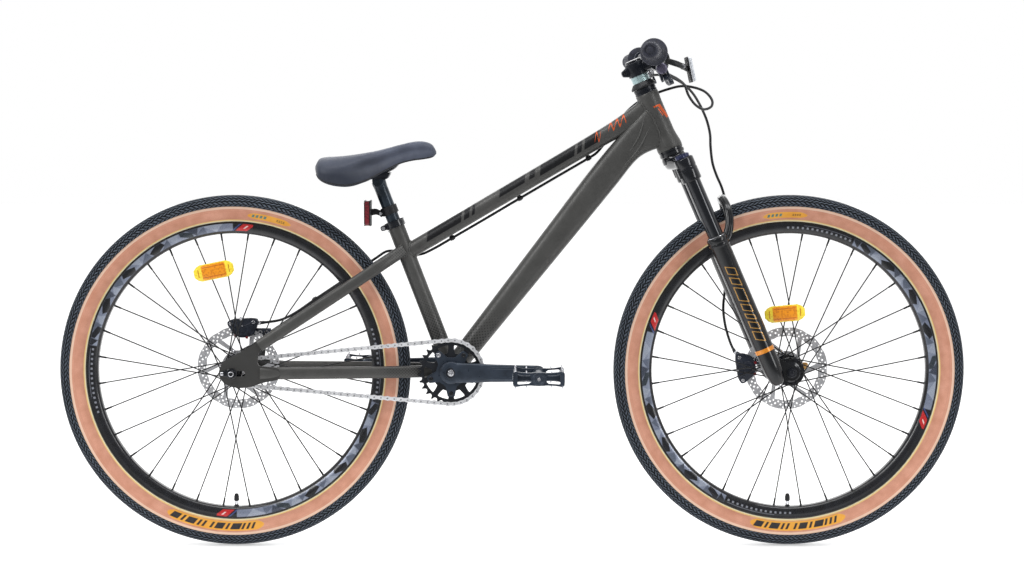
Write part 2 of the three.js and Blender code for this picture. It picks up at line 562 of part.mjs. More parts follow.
// The closed chain, laid out from the sprocket at its origin to the chainring on its x axis
const chainLayout = (() => {
  const distance = centreDistance(chainLinks);
  const large = pitchRadius(chainring.teeth);
  const small = pitchRadius(sprocket.teeth);
  const lean = Math.asin((large - small) / distance);
  const wrapFront = (Math.PI + 2 * lean) / turn * chainring.teeth;
  const straight = distance * Math.cos(lean) / chain.pitch;
  const start = Math.PI / 2 + lean;
  const sprocketAngle = (u) => -start - (u - wrapFront - straight) * turn / sprocket.teeth;
  const onCircle = (x, radius, angle) => ({ x, radius, angle });
  const pointAt = (u) => {
    if (u < wrapFront) return onCircle(distance, large, start - u * turn / chainring.teeth);
    if (u < wrapFront + straight) {
      const share = (u - wrapFront) / straight;
      return { ...onCircle(mix(distance, 0, share), mix(large, small, share), -start) };
    }
    if (u < chainLinks - straight) return onCircle(0, small, sprocketAngle(u));
    const share = (u - chainLinks + straight) / straight;
    return onCircle(mix(0, distance, share), mix(small, large, share), start);
  };
  const offset = (u, out) => {
    const { x, radius, angle } = pointAt(u);
    return [x + (radius + out) * Math.cos(angle), (radius + out) * Math.sin(angle)];
  };
  const firstOnSprocket = Math.ceil(wrapFront + straight);
  return { distance, large, small, offset, ringPhase: start, sprocketPhase: sprocketAngle(firstOnSprocket) };
})();
const chainTilt = Math.asin(bracketRise / chainLayout.distance);

function chainSolid() {
  const edge = Array.from({ length: chainLinks }, (_, k) => chainLayout.offset(k, chain.plateHigh));
  const inside = Array.from({ length: chainLinks }, (_, k) => chainLayout.offset(k, -chain.plateHigh));
  const across = (low, high, x, radius, sides) =>
    rod(new Vector3(x, -chain.line + low, 0), new Vector3(x, -chain.line + high, 0), radius, sides);
  const { distance, large, small } = chainLayout;
  const slots = [[distance, large + chainring.tip + 1], [0, small + sprocket.tip + 1]];
  const links = plate(edge, [inside], -chain.line - chain.halfWidth, -chain.line + chain.halfWidth);
  const open = cut(links, slots.map(([x, radius]) => across(-chain.slotHalf, chain.slotHalf, x, radius, wheelSides)));
  const reach = chain.slotHalf + chain.halfWidth * 0.2;
  const rollers = Array.from({ length: chainLinks }, (_, k) => chainLayout.offset(k, 0))
    .filter(([x, z]) => slots.some(([middle, radius]) => Math.hypot(x - middle, z) < radius + chain.rollerRadius))
    .map(([x, z]) => rod(new Vector3(x, -chain.line - reach, z), new Vector3(x, -chain.line + reach, z),
      chain.rollerRadius, 4));
  return moved(join(open, rollers), new Matrix4().makeRotationY(-chainTilt).setPosition(rearAxle));
}

function chainringSolid() {
  const step = turn / chainring.windows;
  const windows = Array.from({ length: chainring.windows }, (_, k) =>
    windowAt(step * (k + 0.25), step * 0.5 * chainring.windowShare, chainring.windowInner, chainring.windowOuter));
  return plate(toothedOutline(chainring, chainLayout.ringPhase + chainTilt),
    [circle(chainring.bore, roundSides), ...windows],
    -chain.line - chainring.thick / 2, -chain.line + chainring.thick / 2);
}

function sprocketSolid() {
  const teeth = plate(toothedOutline(sprocket, chainLayout.sprocketPhase + chainTilt), [circle(sprocket.bore, roundSides)],
    -chain.line - sprocket.thick / 2, -chain.line + sprocket.thick / 2);
  return join(teeth, ringSolid(sprocket.bore, sprocket.body, -sprocket.bodyOut, -sprocket.bodyIn));
}

// Frame
function flatTube(from, to, halves, sides = tubeSides, squareness = 0.8) {
  const along = to.clone().sub(from).normalize();
  const up = new Vector3(-along.z, 0, along.x);
  return halves.map(([share, high, wide]) =>
    ringAt(from.clone().lerp(to, share), up.clone().multiplyScalar(high), new Vector3(0, wide, 0), sides, squareness));
}

function ringBetween(low, high, wide, sides = tubeSides, squareness = 0.8) {
  const middle = low.clone().add(high).multiplyScalar(0.5);
  return ringAt(middle, high.clone().sub(middle), new Vector3(0, wide, 0), sides, squareness);
}

function seatstaySolid(side, grown = 0) {
  const rings = flatTube(...seatstayLine, seatstayShares.map(([share]) =>
    [share, seatstay.halfHeight + grown, seatstay.halfWidth + grown]));
  rings.forEach((ring, k) => {
    const spread = mix(seatstay.inner, seatstay.outer, seatstayShares[k][1]);
    ring.forEach((point) => point.add(new Vector3(0, side * spread, 0)));
  });
  return loft(rings);
}

function chainstaySolid(side) {
  return loft(chainstayShares.map(([share, wideShare]) => {
    const x = mix(bracket.x, rearAxle.x, share);
    const y = side * mix(chainstay.inner, chainstay.outer, wideShare);
    return ringAt(new Vector3(x, y, mix(bracket.z, rearAxle.z, share)), new Vector3(0, 0, chainstay.halfHeight),
      new Vector3(0, chainstay.halfWidth, 0), tubeSides, 0.8);
  }));
}

function dropoutSolid(side) {
  const outline = dropoutShares.map(([x, z]) => [x * dropout.reach, z * dropout.reach]);
  const high = dropout.slotHalfHeight;
  const slot = [[-dropout.slotRear, high * 0.5], [-dropout.slotRear, -high * 0.5], [-dropout.slotRear + high * 0.6, -high],
    [dropout.slotFront - high * 0.6, -high], [dropout.slotFront, -high * 0.5], [dropout.slotFront, high * 0.5],
    [dropout.slotFront - high * 0.6, high], [-dropout.slotRear + high * 0.6, high]];
  const [low, far] = side > 0 ? [dropout.inner, dropout.inner + dropout.thick]
    : [-dropout.inner - dropout.thick, -dropout.inner];
  return moved(plate(outline, [slot], low, far), new Matrix4().setPosition(rearAxle));
}

// Point beside a tube's centre line
function beside([from, to], [share, aside, high]) {
  const along = to.clone().sub(from).normalize();
  return from.clone().lerp(to, share).add(new Vector3(-along.z * high, aside, along.x * high));
}

function cockpitPoint([ahead, share, high]) {
  return new Vector3(ahead, share * (gripInner - lever.cylinderIn), stackAt.stemMiddle + high);
}

function rearHosePoints() {
  return [
    ...rearCockpitShares.map((entry) => cockpitPoint(entry).applyMatrix4(steerFrame)),
    ...topTubeHoseShares.map((entry) => beside(topTubeLine, entry)),
    ...seatstayHoseShares.map((entry) => beside(seatstayLine, entry)),
    ...rearCaliperHose.map(([x, y, z]) => rearAxle.clone().add(new Vector3(x, y, z))),
  ];
}

function frontHosePoints() {
  return [
    ...frontCockpitShares.map(cockpitPoint),
    ...forkHoseShares.map(([ahead, aside, share]) => new Vector3(ahead, aside, -forkLength * share)),
  ];
}

function hoseSolid(points, steps, radius) {
  return sweep(smooth(points, steps), () => radius, hoseSides);
}

// Hose clips: small blocks on the hose, each on a stub from the tube that carries it
function clipSolids(line, entries, wanted) {
  const half = new Vector3(clip.half, clip.half, clip.half);
  return entries.filter(([share]) => wanted.includes(share)).flatMap((entry) => {
    const centre = beside(line, entry);
    const root = beside(line, [entry[0], entry[1], 0]);
    return [block(centre.clone().sub(half), centre.clone().add(half)), rod(root, centre, clip.half, hoseSides)];
  });
}

function frameSolid(rearHoseRoom) {
  const head = moved(turned([[0, 0], [headTube.foot, 0], [headTube.foot, headTube.flare * 0.25],
    [headTube.radius, headTube.flare], [headTube.radius, headTube.length], [0, headTube.length]], roundSides, 'z'), steerFrame);
  const seatTop = onSeatTube(1);
  const seat = rod(bracket, seatTop, seatTube.radius);
  const across = new Vector3(0, shell.halfWidth, 0);
  const shellTube = rod(bracket.clone().sub(across), bracket.clone().add(across), shell.radius);
  const headAt = (share) => steer(0, 0, headTube.length * share);
  const top = loft(flatTube(...topTubeLine, [
      [0, topTube.halfHeight, topTube.rearHalfWidth], [topTube.flareShare * 0.5, topTube.halfHeight, topTube.halfWidth],
      [topTube.flareShare, topTube.halfHeight, topTube.halfWidth],
      [(1 + topTube.flareShare) / 2, mix(topTube.halfHeight, topTube.headHalfHeight, 0.3), topTube.halfWidth],
      [1, topTube.headHalfHeight, topTube.headHalfWidth],
    ]));
  const downTo = headAt(downTube.headShare);
  const lowerEdge = steer(-downTube.flareReach, 0, downTube.flareRise);
  const downAlong = downTo.clone().sub(bracket).normalize();
  const downUp = new Vector3(-downAlong.z, 0, downAlong.x);
  const down = loft([
    ...flatTube(bracket, downTo, [[0, downTube.footHalfHeight, downTube.footHalfWidth],
      [downTube.flareShare, downTube.headHalfHeight, downTube.headHalfWidth]]),
    ringBetween(lowerEdge, lowerEdge.clone().addScaledVector(downUp, 2 * downTube.headHalfHeight), downTube.headHalfWidth),
    ringBetween(steer(-downTube.inset, 0, downTube.flareBase), steer(-downTube.inset, 0, downTube.flareTop),
      headTube.radius * 0.95),
  ]);
  const sides = [1, -1].flatMap((side) => [seatstaySolid(side), chainstaySolid(side), dropoutSolid(side)]);
  const clips = [
    ...clipSolids(topTubeLine, topTubeHoseShares, clipShares.topTube),
    ...clipSolids(seatstayLine, seatstayHoseShares, clipShares.seatstay),
  ];
  const solid = join(head, seat, shellTube, top, down, sides, clips);
  const beyond = new Vector3(0, overrun, 0);
  return cut(solid,
    rod(steer(0, 0, -overrun), steer(0, 0, headTube.length + overrun), headTube.bore),
    rod(seatTop.clone().addScaledVector(seatUp, -seatTube.boreDepth), seatTop.clone().addScaledVector(seatUp, overrun),
      seatTube.bore),
    rod(bracket.clone().sub(across).sub(beyond), bracket.clone().add(across).add(beyond), shell.bore),
    rearHoseRoom);
}

// Headset and cockpit, in the steering frame
function barAt(y) {
  const far = Math.min(Math.max((Math.abs(y) - bar.bendEnd) / (bar.halfLength - bar.bendEnd), 0), 1);
  const near = Math.min(Math.max((Math.abs(y) - bar.bendStart) / (bar.bendEnd - bar.bendStart), 0), 1);
  const back = near * bar.bendSweep + far * (bar.sweep - bar.bendSweep);
  const up = near * bar.bendRise + far * (bar.rise - bar.bendRise);
  return new Vector3(stem.reach - back, y, stackAt.stemMiddle + up);
}

function barSolid(grown = 0) {
  const half = [0, bar.clampHalf, bar.shoulder, bar.bendStart, mix(bar.bendStart, bar.bendEnd, 0.5), bar.bendEnd,
    bar.halfLength];
  const places = [...half.slice(1).map((y) => -y).reverse(), ...half];
  const points = places.map((y) => barAt(y));
  points[0].y -= grown;
  points[points.length - 1].y += grown;
  const radius = (i) => (Math.abs(places[i]) <= bar.clampHalf ? bar.clampRadius : bar.radius) + grown;
  return sweep(points, radius, barSides);
}

// Row of round sections along a line: stations are [distance, radius]
function stack(from, along, stations, sides = roundSides) {
  const direction = along.clone().normalize();
  const rough = Math.abs(direction.z) > 0.9 ? new Vector3(1, 0, 0) : new Vector3(0, 0, 1);
  const up = rough.addScaledVector(direction, -rough.dot(direction)).normalize();
  const side = direction.clone().cross(up);
  return loft(stations.map(([distance, radius]) => ringAt(from.clone().addScaledVector(direction, distance),
    up.clone().multiplyScalar(radius), side.clone().multiplyScalar(radius), sides)));
}

function gripSolid(side, room) {
  const from = barAt(side * gripInner);
  const along = barAt(side * bar.halfLength).sub(from);
  const length = grip.reach + grip.beyond;
  return cut(stack(from, along, [
    [0, grip.flange * 0.9], [grip.flangeThick * 0.3, grip.flange], [grip.flangeThick, grip.flange * 0.92],
    [grip.flangeThick * 1.8, grip.radius], [length * 0.93, grip.radius], [length, grip.endRadius],
    [length + grip.cap, grip.endRadius * 0.8],
  ], legSides), room);
}

function leverSolids(side, room) {
  const [clampIn, clampOut] = [gripInner - lever.clampIn, gripInner - lever.clampOut];
  const [cylinderIn, pivotAt] = [gripInner - lever.cylinderIn, gripInner - lever.pivotAt];
  const base = barAt(side * (clampIn + clampOut) / 2);
  const at = (s, y, t) => new Vector3(base.x + s, side * y, base.z + t);
  const span = (lowS, lowY, lowT, highS, highY, highT) => {
    const [near, far] = side > 0 ? [lowY, highY] : [highY, lowY];
    return block(at(lowS, near, lowT), at(highS, far, highT));
  };
  const pivot = at(0, pivotAt, -lever.pivotDrop);
  const lugs = span(-lever.lugHalf, pivotAt - lever.lugBack, -lever.pivotDrop - lever.lugBelow,
    lever.lugHalf, clampOut, -lever.drop);
  const slot = span(-lever.slotHalf, pivotAt - lever.lugBack * 0.85, -lever.pivotDrop - lever.lugBelow - overrun,
    lever.slotHalf, clampOut + overrun, -lever.slotTop);
  const arms = cut(lugs, slot);
  const pin = rod(pivot.clone().add(new Vector3(-lever.lugHalf * 0.9, 0, 0)),
    pivot.clone().add(new Vector3(lever.lugHalf * 0.9, 0, 0)), lever.pinRadius, 10);
  const clampFrom = barAt(side * clampIn);
  const clampTo = barAt(side * clampOut);
  const cylinder = stack(at(0, cylinderIn, -lever.drop), new Vector3(0, side, 0), [
    [0, lever.cylinderRadius * 0.6], [overrun, lever.cylinderRadius * 0.7], [overrun * 1.5, lever.cylinderRadius],
    [lever.cylinderIn - lever.cylinderOut, lever.cylinderRadius],
  ], 12);
  const web = span(-lever.webHalf, clampIn, -lever.drop, lever.webHalf, clampOut, -bar.radius);
  const body = cut(join(rod(clampFrom, clampTo, lever.clampRadius), web, cylinder, arms), room);
  const outline = bladeShares.map(([y, t]) => [y * lever.bladeLength, t * lever.bladeLength]);
  const flat = plate(outline, [circle(lever.pinRadius + gap, 10)], -lever.bladeHalfThick, lever.bladeHalfThick);
  const toBlade = new Matrix4().makeScale(1, side, 1).premultiply(new Matrix4().setPosition(pivot))
    .multiply(new Matrix4().makeRotationZ(Math.PI / 2));
  return { body: join(body, pin), blade: moved(flat, toBlade), pivot };
}

function frontReflectorSolid(room) {
  const base = barAt(frontReflector.clampY);
  const half = new Vector3(0, frontReflector.clampHalf, 0);
  const band = rod(base.clone().sub(half), base.clone().add(half), frontReflector.clampRadius);
  const centre = new Vector3(base.x + frontReflector.reach, 0, base.z - frontReflector.drop);
  const box = block(new Vector3(-frontReflector.thick / 2, -frontReflector.halfWidth, -frontReflector.halfHeight),
    new Vector3(frontReflector.thick / 2, frontReflector.halfWidth, frontReflector.halfHeight));
  const panel = moved(box, new Matrix4().makeRotationY(frontReflector.lean).setPosition(centre));
  const elbow = base.clone().lerp(centre, 0.55).setY(frontReflector.clampY * 0.9);
  const root = base.clone().lerp(elbow, 0.3);
  const end = centre.clone().setY(-frontReflector.halfWidth * 0.5);
  const arm = join(rod(root, elbow, frontReflector.armRadius, 8), rod(elbow, end, frontReflector.armRadius, 8));
  return cut(join(band, arm, panel), room);
}

function addCockpit() {
  const room = barSolid(gap);
  const cup = (radius, low, high) => ringSolid(clearBore(steerer.radius), radius, low, high, roundSides, 'z');
  node(steering, 'headset_upper_cup', cup(headset.upperRadius, headTube.length + gap, stackAt.cup), paint.black);
  node(steering, 'headset_lower_cup', cup(headset.cupRadius, crown.top + gap, -gap), paint.black);
  const bore = clearBore(steerer.radius);
  node(steering, 'headset_top_cover', turned([[bore, stackAt.cup + gap], [headset.cupRadius, stackAt.cup + gap],
    [headset.cupRadius, stackAt.cup + headset.coverHeight * 0.3], [headset.coverTop, stackAt.cover], [bore, stackAt.cover]],
  roundSides, 'z'), paint.black);
  node(steering, 'headset_spacer', cup(headset.spacerRadius, stackAt.cover + gap, stackAt.spacer), paint.ice);
  const low = stackAt.spacer + gap;
  const middle = stackAt.stemMiddle;
  const clamp = rod(new Vector3(0, 0, low), new Vector3(0, 0, stackAt.stemTop), stem.clampRadius);
  const barClamp = rod(new Vector3(stem.reach, -stem.barHalfWidth, middle), new Vector3(stem.reach, stem.barHalfWidth, middle),
    stem.barRadius);
  const size = stem.barRadius + overrun;
  const front = block(new Vector3(stem.reach + stem.jawGap / 2, -stem.barHalfWidth - overrun, middle - size),
    new Vector3(stem.reach + size, stem.barHalfWidth + overrun, middle + size));
  const rear = block(new Vector3(stem.reach - size, -stem.barHalfWidth - overrun, middle - size),
    new Vector3(stem.reach - stem.jawGap / 2, stem.barHalfWidth + overrun, middle + size));
  const neck = block(new Vector3(stem.clampRadius * 0.5, -stem.neckHalfWidth, middle - stem.neckHalfHeight),
    new Vector3(stem.reach - bar.clampRadius * 0.5, stem.neckHalfWidth, middle + stem.neckHalfHeight));
  const ears = block(new Vector3(-stem.earReach, -stem.earHalfWidth, middle - stem.earHeight / 2),
    new Vector3(-stem.clampRadius * 0.8, stem.earHalfWidth, middle + stem.earHeight / 2));
  const steererRoom = rod(new Vector3(0, 0, low - overrun), new Vector3(0, 0, stackAt.stemTop + overrun), bore);
  node(steering, 'stem', cut(join(clamp, neck, ears, barClamp.intersect(rear)), steererRoom, room), paint.crank);
  node(steering, 'stem_faceplate', cut(barClamp.intersect(front), room), paint.crank);
  node(steering, 'steerer_top_cap', stack(new Vector3(0, 0, stackAt.stemTop + gap), new Vector3(0, 0, 1),
    [[0, stem.capRadius], [stem.capHeight * 0.6, stem.capRadius], [stem.capHeight, stem.capRadius * 0.8]]), paint.black);
  node(steering, 'handlebar', barSolid(), paint.black);
  [['right', -1], ['left', 1]].forEach(([name, side]) => {
    const { body, blade } = leverSolids(side, room);
    node(steering, `grip_${name}`, gripSolid(side, room), paint.rubber);
    node(steering, `brake_lever_body_${name}`, body, paint.black);
    node(steering, `brake_lever_blade_${name}`, blade, paint.crank);
  });
  // The reflector's band turns on the bar, so its bore clears the bar's corners
  node(steering, 'front_reflector', frontReflectorSolid(barSolid(clearBore(bar.radius, barSides) - bar.radius)), paint.clear);
}

// Fork, in the steering frame
function onLeg(side, t) {
  return new Vector3(crown.legAhead, side * crown.legSpread, t);
}

function legSolid(side, grown = 0) {
  const down = (t) => legTop - t;
  return stack(onLeg(side, legTop + grown), new Vector3(0, 0, -1), [
    [0, lowers.collarRadius + grown], [lowers.collar + grown, lowers.collarRadius + grown],
    [lowers.collar * 1.3 + grown, lowers.radius + grown],
    [down(legBottom) - lowers.taper, lowers.radius + grown],
    [down(legBottom) - lowers.tip, mix(lowers.radius, lowers.tipRadius, 0.4) + grown],
    [down(legBottom) + grown, lowers.tipRadius + grown],
  ], legSides);
}

function crownSolid() {
  const middle = (crown.top + crown.bottom) / 2;
  const half = (crown.top - crown.bottom) / 2;
  const bridge = loft([-1, -0.5, 0, 0.5, 1].map((share) => {
    const away = Math.abs(share);
    return ringAt(new Vector3(crown.legAhead * away, share * crown.legSpread, middle - half * 0.6 * away),
      new Vector3(0, 0, half * (1 - 0.45 * away)), new Vector3(mix(crown.halfDepth, crown.socketRadius * 0.8, away), 0, 0),
      12, 0.6);
  }));
  const steererTube = rod(new Vector3(0, 0, middle), new Vector3(0, 0, stackAt.stemTop - gap * 5), steerer.radius);
  const race = stack(new Vector3(0, 0, middle), new Vector3(0, 0, 1),
    [[0, crown.raceRadius], [crown.top - middle, crown.raceRadius]]);
  const legs = [1, -1].flatMap((side) => [
    rod(onLeg(side, crown.socketBottom), onLeg(side, crown.socketTop), crown.socketRadius),
    rod(onLeg(side, stanchionFoot), onLeg(side, crown.socketTop - overrun), stanchion.radius, legSides),
  ]);
  const cap = rod(onLeg(1, crown.socketTop - overrun), onLeg(1, crown.socketTop + knob.capHeight), knob.capRadius);
  const bores = [1, -1].map((side) =>
    rod(onLeg(side, stanchionFoot - overrun), onLeg(side, stanchion.boreTop), stanchion.bore, 12));
  const knobRoom = rod(onLeg(-1, crown.socketTop), onLeg(-1, 0), clearBore(knob.radius));
  return cut(join(cut(bridge, knobRoom), steererTube, race, legs, cap), bores);
}

function lowersSolid(hoseRoom) {
  const legs = [1, -1].map((side) => legSolid(side));
  const base = legTop - arch.below;
  const archRise = tyre.radius + arch.tyreRoom - forkLength - base;
  const half = archShares.map(([ahead, spread, rise]) =>
    new Vector3(arch.ahead * ahead, arch.spread * spread, base + archRise * rise));
  const path = [...half, ...half.slice(0, -1).map((p) => new Vector3(p.x, -p.y, p.z)).reverse()];
  const bow = loft(path.map((point, i) => {
    const ahead = path[Math.min(i + 1, path.length - 1)].clone().sub(path[Math.max(i - 1, 0)]).normalize();
    const up = new Vector3(0, 0, 1).addScaledVector(ahead, -ahead.z);
    const lift = Math.abs(ahead.z) > 0.95 ? new Vector3(0, Math.sign(point.y), 0) : up.normalize();
    const side = ahead.clone().cross(lift).normalize();
    return ringAt(point, lift.multiplyScalar(arch.halfHeight), side.multiplyScalar(arch.halfDepth), 8, 0.6);
  }));
  const hub = new Vector3(forkOffset, 0, -forkLength);
  const lugs = [1, -1].map((side) => {
    const round = lugRoundShares.map((share) => {
      const angle = turn * share;
      return [hub.x + lowers.lugRadius * Math.cos(angle), hub.z + lowers.lugRadius * Math.sin(angle)];
    });
    const outline = [[crown.legAhead - lowers.lugBack, legBottom + lowers.lugHeight],
      [crown.legAhead + lowers.lugFront, legBottom + lowers.lugHeight], ...round,
      [crown.legAhead - lowers.lugBack, legBottom + lowers.tip * 0.5]];
    const near = hubSpacing.front / 2;
    const [low, high] = side > 0 ? [near, near + lowers.lugThick] : [-near - lowers.lugThick, -near];
    return plate(outline, [], low, high);
  });
  const through = new Vector3(0, crown.legSpread + lowers.collarRadius + overrun, 0);
  const guideHalf = new Vector3(arch.guideHalf, arch.guideHalf, arch.guideHalf);
  const guideRoot = path[1].clone().lerp(path[2], 0.3);
  const guideAt = frontHosePoints().reduce((best, point) =>
    (point.distanceTo(guideRoot) < best.distanceTo(guideRoot) ? point : best));
  const guide = join(block(guideAt.clone().sub(guideHalf), guideAt.clone().add(guideHalf)),
    rod(guideRoot, guideAt, arch.guideHalf, hoseSides));
  const bores = [1, -1].map((side) => rod(onLeg(side, legTop - forkLength * lowers.boreShare), onLeg(side, legTop + overrun),
    stanchion.radius + gap, legSides));
  return cut(join(legs, lugs, bow, guide), bores,
    rod(hub.clone().sub(through), hub.clone().add(through), axle.frontRadius + gap), hoseRoom);
}

function addFork(hoseRoom) {
  node(steering, 'fork_crown', crownSolid(), paint.black);
  node(steering, 'fork_lowers', lowersSolid(hoseRoom), paint.black);
  const springFoot = legTop - forkLength * lowers.boreShare + gap;
  node(steering, 'fork_spring', rod(onLeg(-1, springFoot), onLeg(-1, spring.top), spring.radius, 12), paint.steel);
  node(steering, 'fork_preload_knob', stack(onLeg(-1, crown.socketTop + gap), new Vector3(0, 0, 1),
    [[0, knob.radius], [knob.height * 0.7, knob.radius], [knob.height, knob.radius * 0.85]], knob.sides), paint.slate);
}

// Axles, in wheel coordinates
function addAxles() {
  const near = hubSpacing.front / 2 + lowers.lugThick + gap;
  const rodOut = axleLever.pivot - axle.camBarrel * 0.5;
  const along = (a, b, radius, sides = roundSides) => rod(new Vector3(0, a, 0), new Vector3(0, b, 0), radius, sides);
  const cam = rod(new Vector3(0, axleLever.pivot, -axle.camHeight), new Vector3(0, axleLever.pivot, axle.camHeight),
    axle.camBarrel, 12);
  node(frontWheel, 'front_axle', join(along(-near - axle.nutThick, rodOut, axle.frontRadius),
    along(-near - axle.nutThick, -near, axle.nutRadius, 6), cam), paint.steel);
  const ear = (low) => rod(new Vector3(0, axleLever.pivot, low), new Vector3(0, axleLever.pivot, low + axleLever.earThick),
    axleLever.earRadius, 12);
  const earLow = axle.camHeight + gap;
  const halfThick = axleLever.thick / 2;
  const arm = block(new Vector3(axleLever.neck, axleLever.pivot - halfThick, -earLow - axleLever.earThick),
    new Vector3(axleLever.length, axleLever.pivot + halfThick, earLow + axleLever.earThick));
  const tabs = [earLow, -earLow - axleLever.earThick].map((z) => block(new Vector3(0, axleLever.pivot - halfThick, z),
    new Vector3(axleLever.neck + overrun, axleLever.pivot + halfThick, z + axleLever.earThick)));
  const pinRoom = rod(new Vector3(0, axleLever.pivot, -overrun * 3), new Vector3(0, axleLever.pivot, overrun * 3),
    axle.camBarrel * 0.5, 8);
  node(frontWheel, 'axle_lever', cut(join(ear(earLow), ear(-earLow - axleLever.earThick), tabs, arm), pinRoom),
    paint.brass);
  const rearNear = dropout.inner + dropout.thick + gap;
  node(rearWheel, 'rear_axle', join(along(-rearNear - axle.nutThick * 1.5, rearNear + axle.nutThick * 1.5, axle.rearRadius),
    along(-rearNear - axle.nutThick, -rearNear, axle.nutRadius, 6),
    along(rearNear, rearNear + axle.nutThick, axle.nutRadius, 6)), paint.steel);
}

// Brakes, in wheel coordinates
function caliperSolid(plane, angle, foot, rooms) {
  const body = block(new Vector3(caliper.inner, plane - caliper.wheelSide, -caliper.halfLength),
    new Vector3(caliper.outer, plane + caliper.outSide, caliper.halfLength));
  const slot = block(new Vector3(caliper.inner - overrun, plane - caliper.slotHalf, -caliper.halfLength - overrun),
    new Vector3(caliper.slotOuter, plane + caliper.slotHalf, caliper.halfLength + overrun));
  const set = moved(cut(body, slot), new Matrix4().makeRotationY(-angle));
  const mount = block(new Vector3(foot.back, foot.near, foot.low), new Vector3(foot.front, foot.far, foot.high));
  return cut(join(set, mount), rooms);
}

function padSolid(plane, side, angle) {
  const near = plane + side * (rotor.thick / 2 + pad.running);
  const far = near + side * pad.thick;
  const flat = block(new Vector3(pad.inner, Math.min(near, far), -pad.halfLength),
    new Vector3(pad.outer, Math.max(near, far), pad.halfLength));
  return moved(flat, new Matrix4().makeRotationY(-angle));
}

function addBrakes(frontHoseRoom, rearHoseRoom) {
  const toFrontWheel = new Matrix4().setPosition(frontAxle).invert();
  const toRearWheel = new Matrix4().setPosition(rearAxle).invert();
  const legRoom = moved(legSolid(1, gap), toFrontWheel.clone().multiply(steerFrame));
  const hoseFront = moved(frontHoseRoom, toFrontWheel.clone().multiply(steerFrame));
  const stayRoom = moved(seatstaySolid(1, gap), toRearWheel);
  const hoseRear = moved(rearHoseRoom, toRearWheel);
  node(frontWheel, 'front_caliper',
    caliperSolid(rotor.frontPlane, caliper.frontAngle, frontFoot, [legRoom, hoseFront]), paint.black);
  node(rearWheel, 'rear_caliper',
    caliperSolid(rotor.rearPlane, caliper.rearAngle, rearFoot, [stayRoom, hoseRear]), paint.black);
  [['inner', -1], ['outer', 1]].forEach(([name, side]) => {
    node(frontWheel, `front_pad_${name}`, padSolid(rotor.frontPlane, side, caliper.frontAngle), paint.brass);
    node(rearWheel, `rear_pad_${name}`, padSolid(rotor.rearPlane, side, caliper.rearAngle), paint.brass);
  });
}

// Cranks and pedals, in bracket coordinates
function crankArm(ahead, side) {
  const ring = (share, half, thick, beyond = 0) => {
    const inner = mix(crank.base, crank.tip, Math.min(share, 1));
    const x = ahead * (crank.length * share + beyond);
    return ringAt(new Vector3(x, side * (inner + thick / 2), 0), new Vector3(0, 0, half),
      new Vector3(0, thick / 2, 0), 12, 0.6);
  };
  return loft([
    ring(0, crank.baseHalf, crank.baseThick), ring(0.25, crank.baseHalf, crank.baseThick),
    ring(0.45, crank.midHalf, crank.baseThick), ring(1, crank.tipHalf, crank.tipThick),
    ring(1, crank.tipEnd * 0.75, crank.tipThick, crank.tipEnd),
  ]);
}

function addCranks() {
  const along = (a, b, radius, sides = roundSides) => rod(new Vector3(0, a, 0), new Vector3(0, b, 0), radius, sides);
  const outer = crank.base + crank.baseThick;
  const spindle = along(-outer + overrun, crank.spindleEnd, crank.spindleRadius);
  const step = turn / chainring.windows;
  const star = Array.from({ length: chainring.windows }, (_, k) => {
    const middle = step * (k + 0.75);
    return [[crank.spiderInner, middle - step * 0.5], [crank.spiderOuter, middle - step * 0.12],
      [crank.spiderOuter, middle + step * 0.12]].map(([r, a]) => [r * Math.cos(a), r * Math.sin(a)]);
  }).flat();
  const spider = plate(star, [], -crank.base - overrun * 0.2, -crank.spiderIn);
  const axleOutward = (x, side) => rod(new Vector3(x, side * (crank.tip + crank.tipThick * 0.5), 0),
    new Vector3(x, side * (pedal.outer - pedal.sideThick * 0.3), 0), pedal.axleRadius, 12);
  node(cranks, 'crank_right', join(crankArm(1, -1), along(-outer, -crank.base, crank.boss), spindle, spider,
    along(-outer - crank.boltProud, -outer + overrun, crank.boltRadius), axleOutward(crank.length, -1)), paint.crank);
  node(cranks, 'crank_left', cut(join(crankArm(-1, 1), along(crank.base, outer, crank.boss),
    axleOutward(-crank.length, 1)), along(crank.base - overrun, outer + overrun, crank.spindleRadius + gap)), paint.crank);
  node(cranks, 'chainring', chainringSolid(), paint.crank);
  const bore = clearBore(crank.spindleRadius);
  const cupOut = bearing.cupOut;
  node(cranks, 'bottom_bracket', turned([[bore, -cupOut], [bearing.cupRadius, -cupOut],
    [bearing.cupRadius, -shell.halfWidth - gap], [bearing.sleeve, -shell.halfWidth - gap],
    [bearing.sleeve, shell.halfWidth + gap], [bearing.cupRadius, shell.halfWidth + gap], [bearing.cupRadius, cupOut],
    [bore, cupOut]]), paint.black);
  node(cranks, 'pedal_right', pedalSolid(crank.length, -1), paint.crank);
  node(cranks, 'pedal_left', pedalSolid(-crank.length, 1), paint.crank);
}

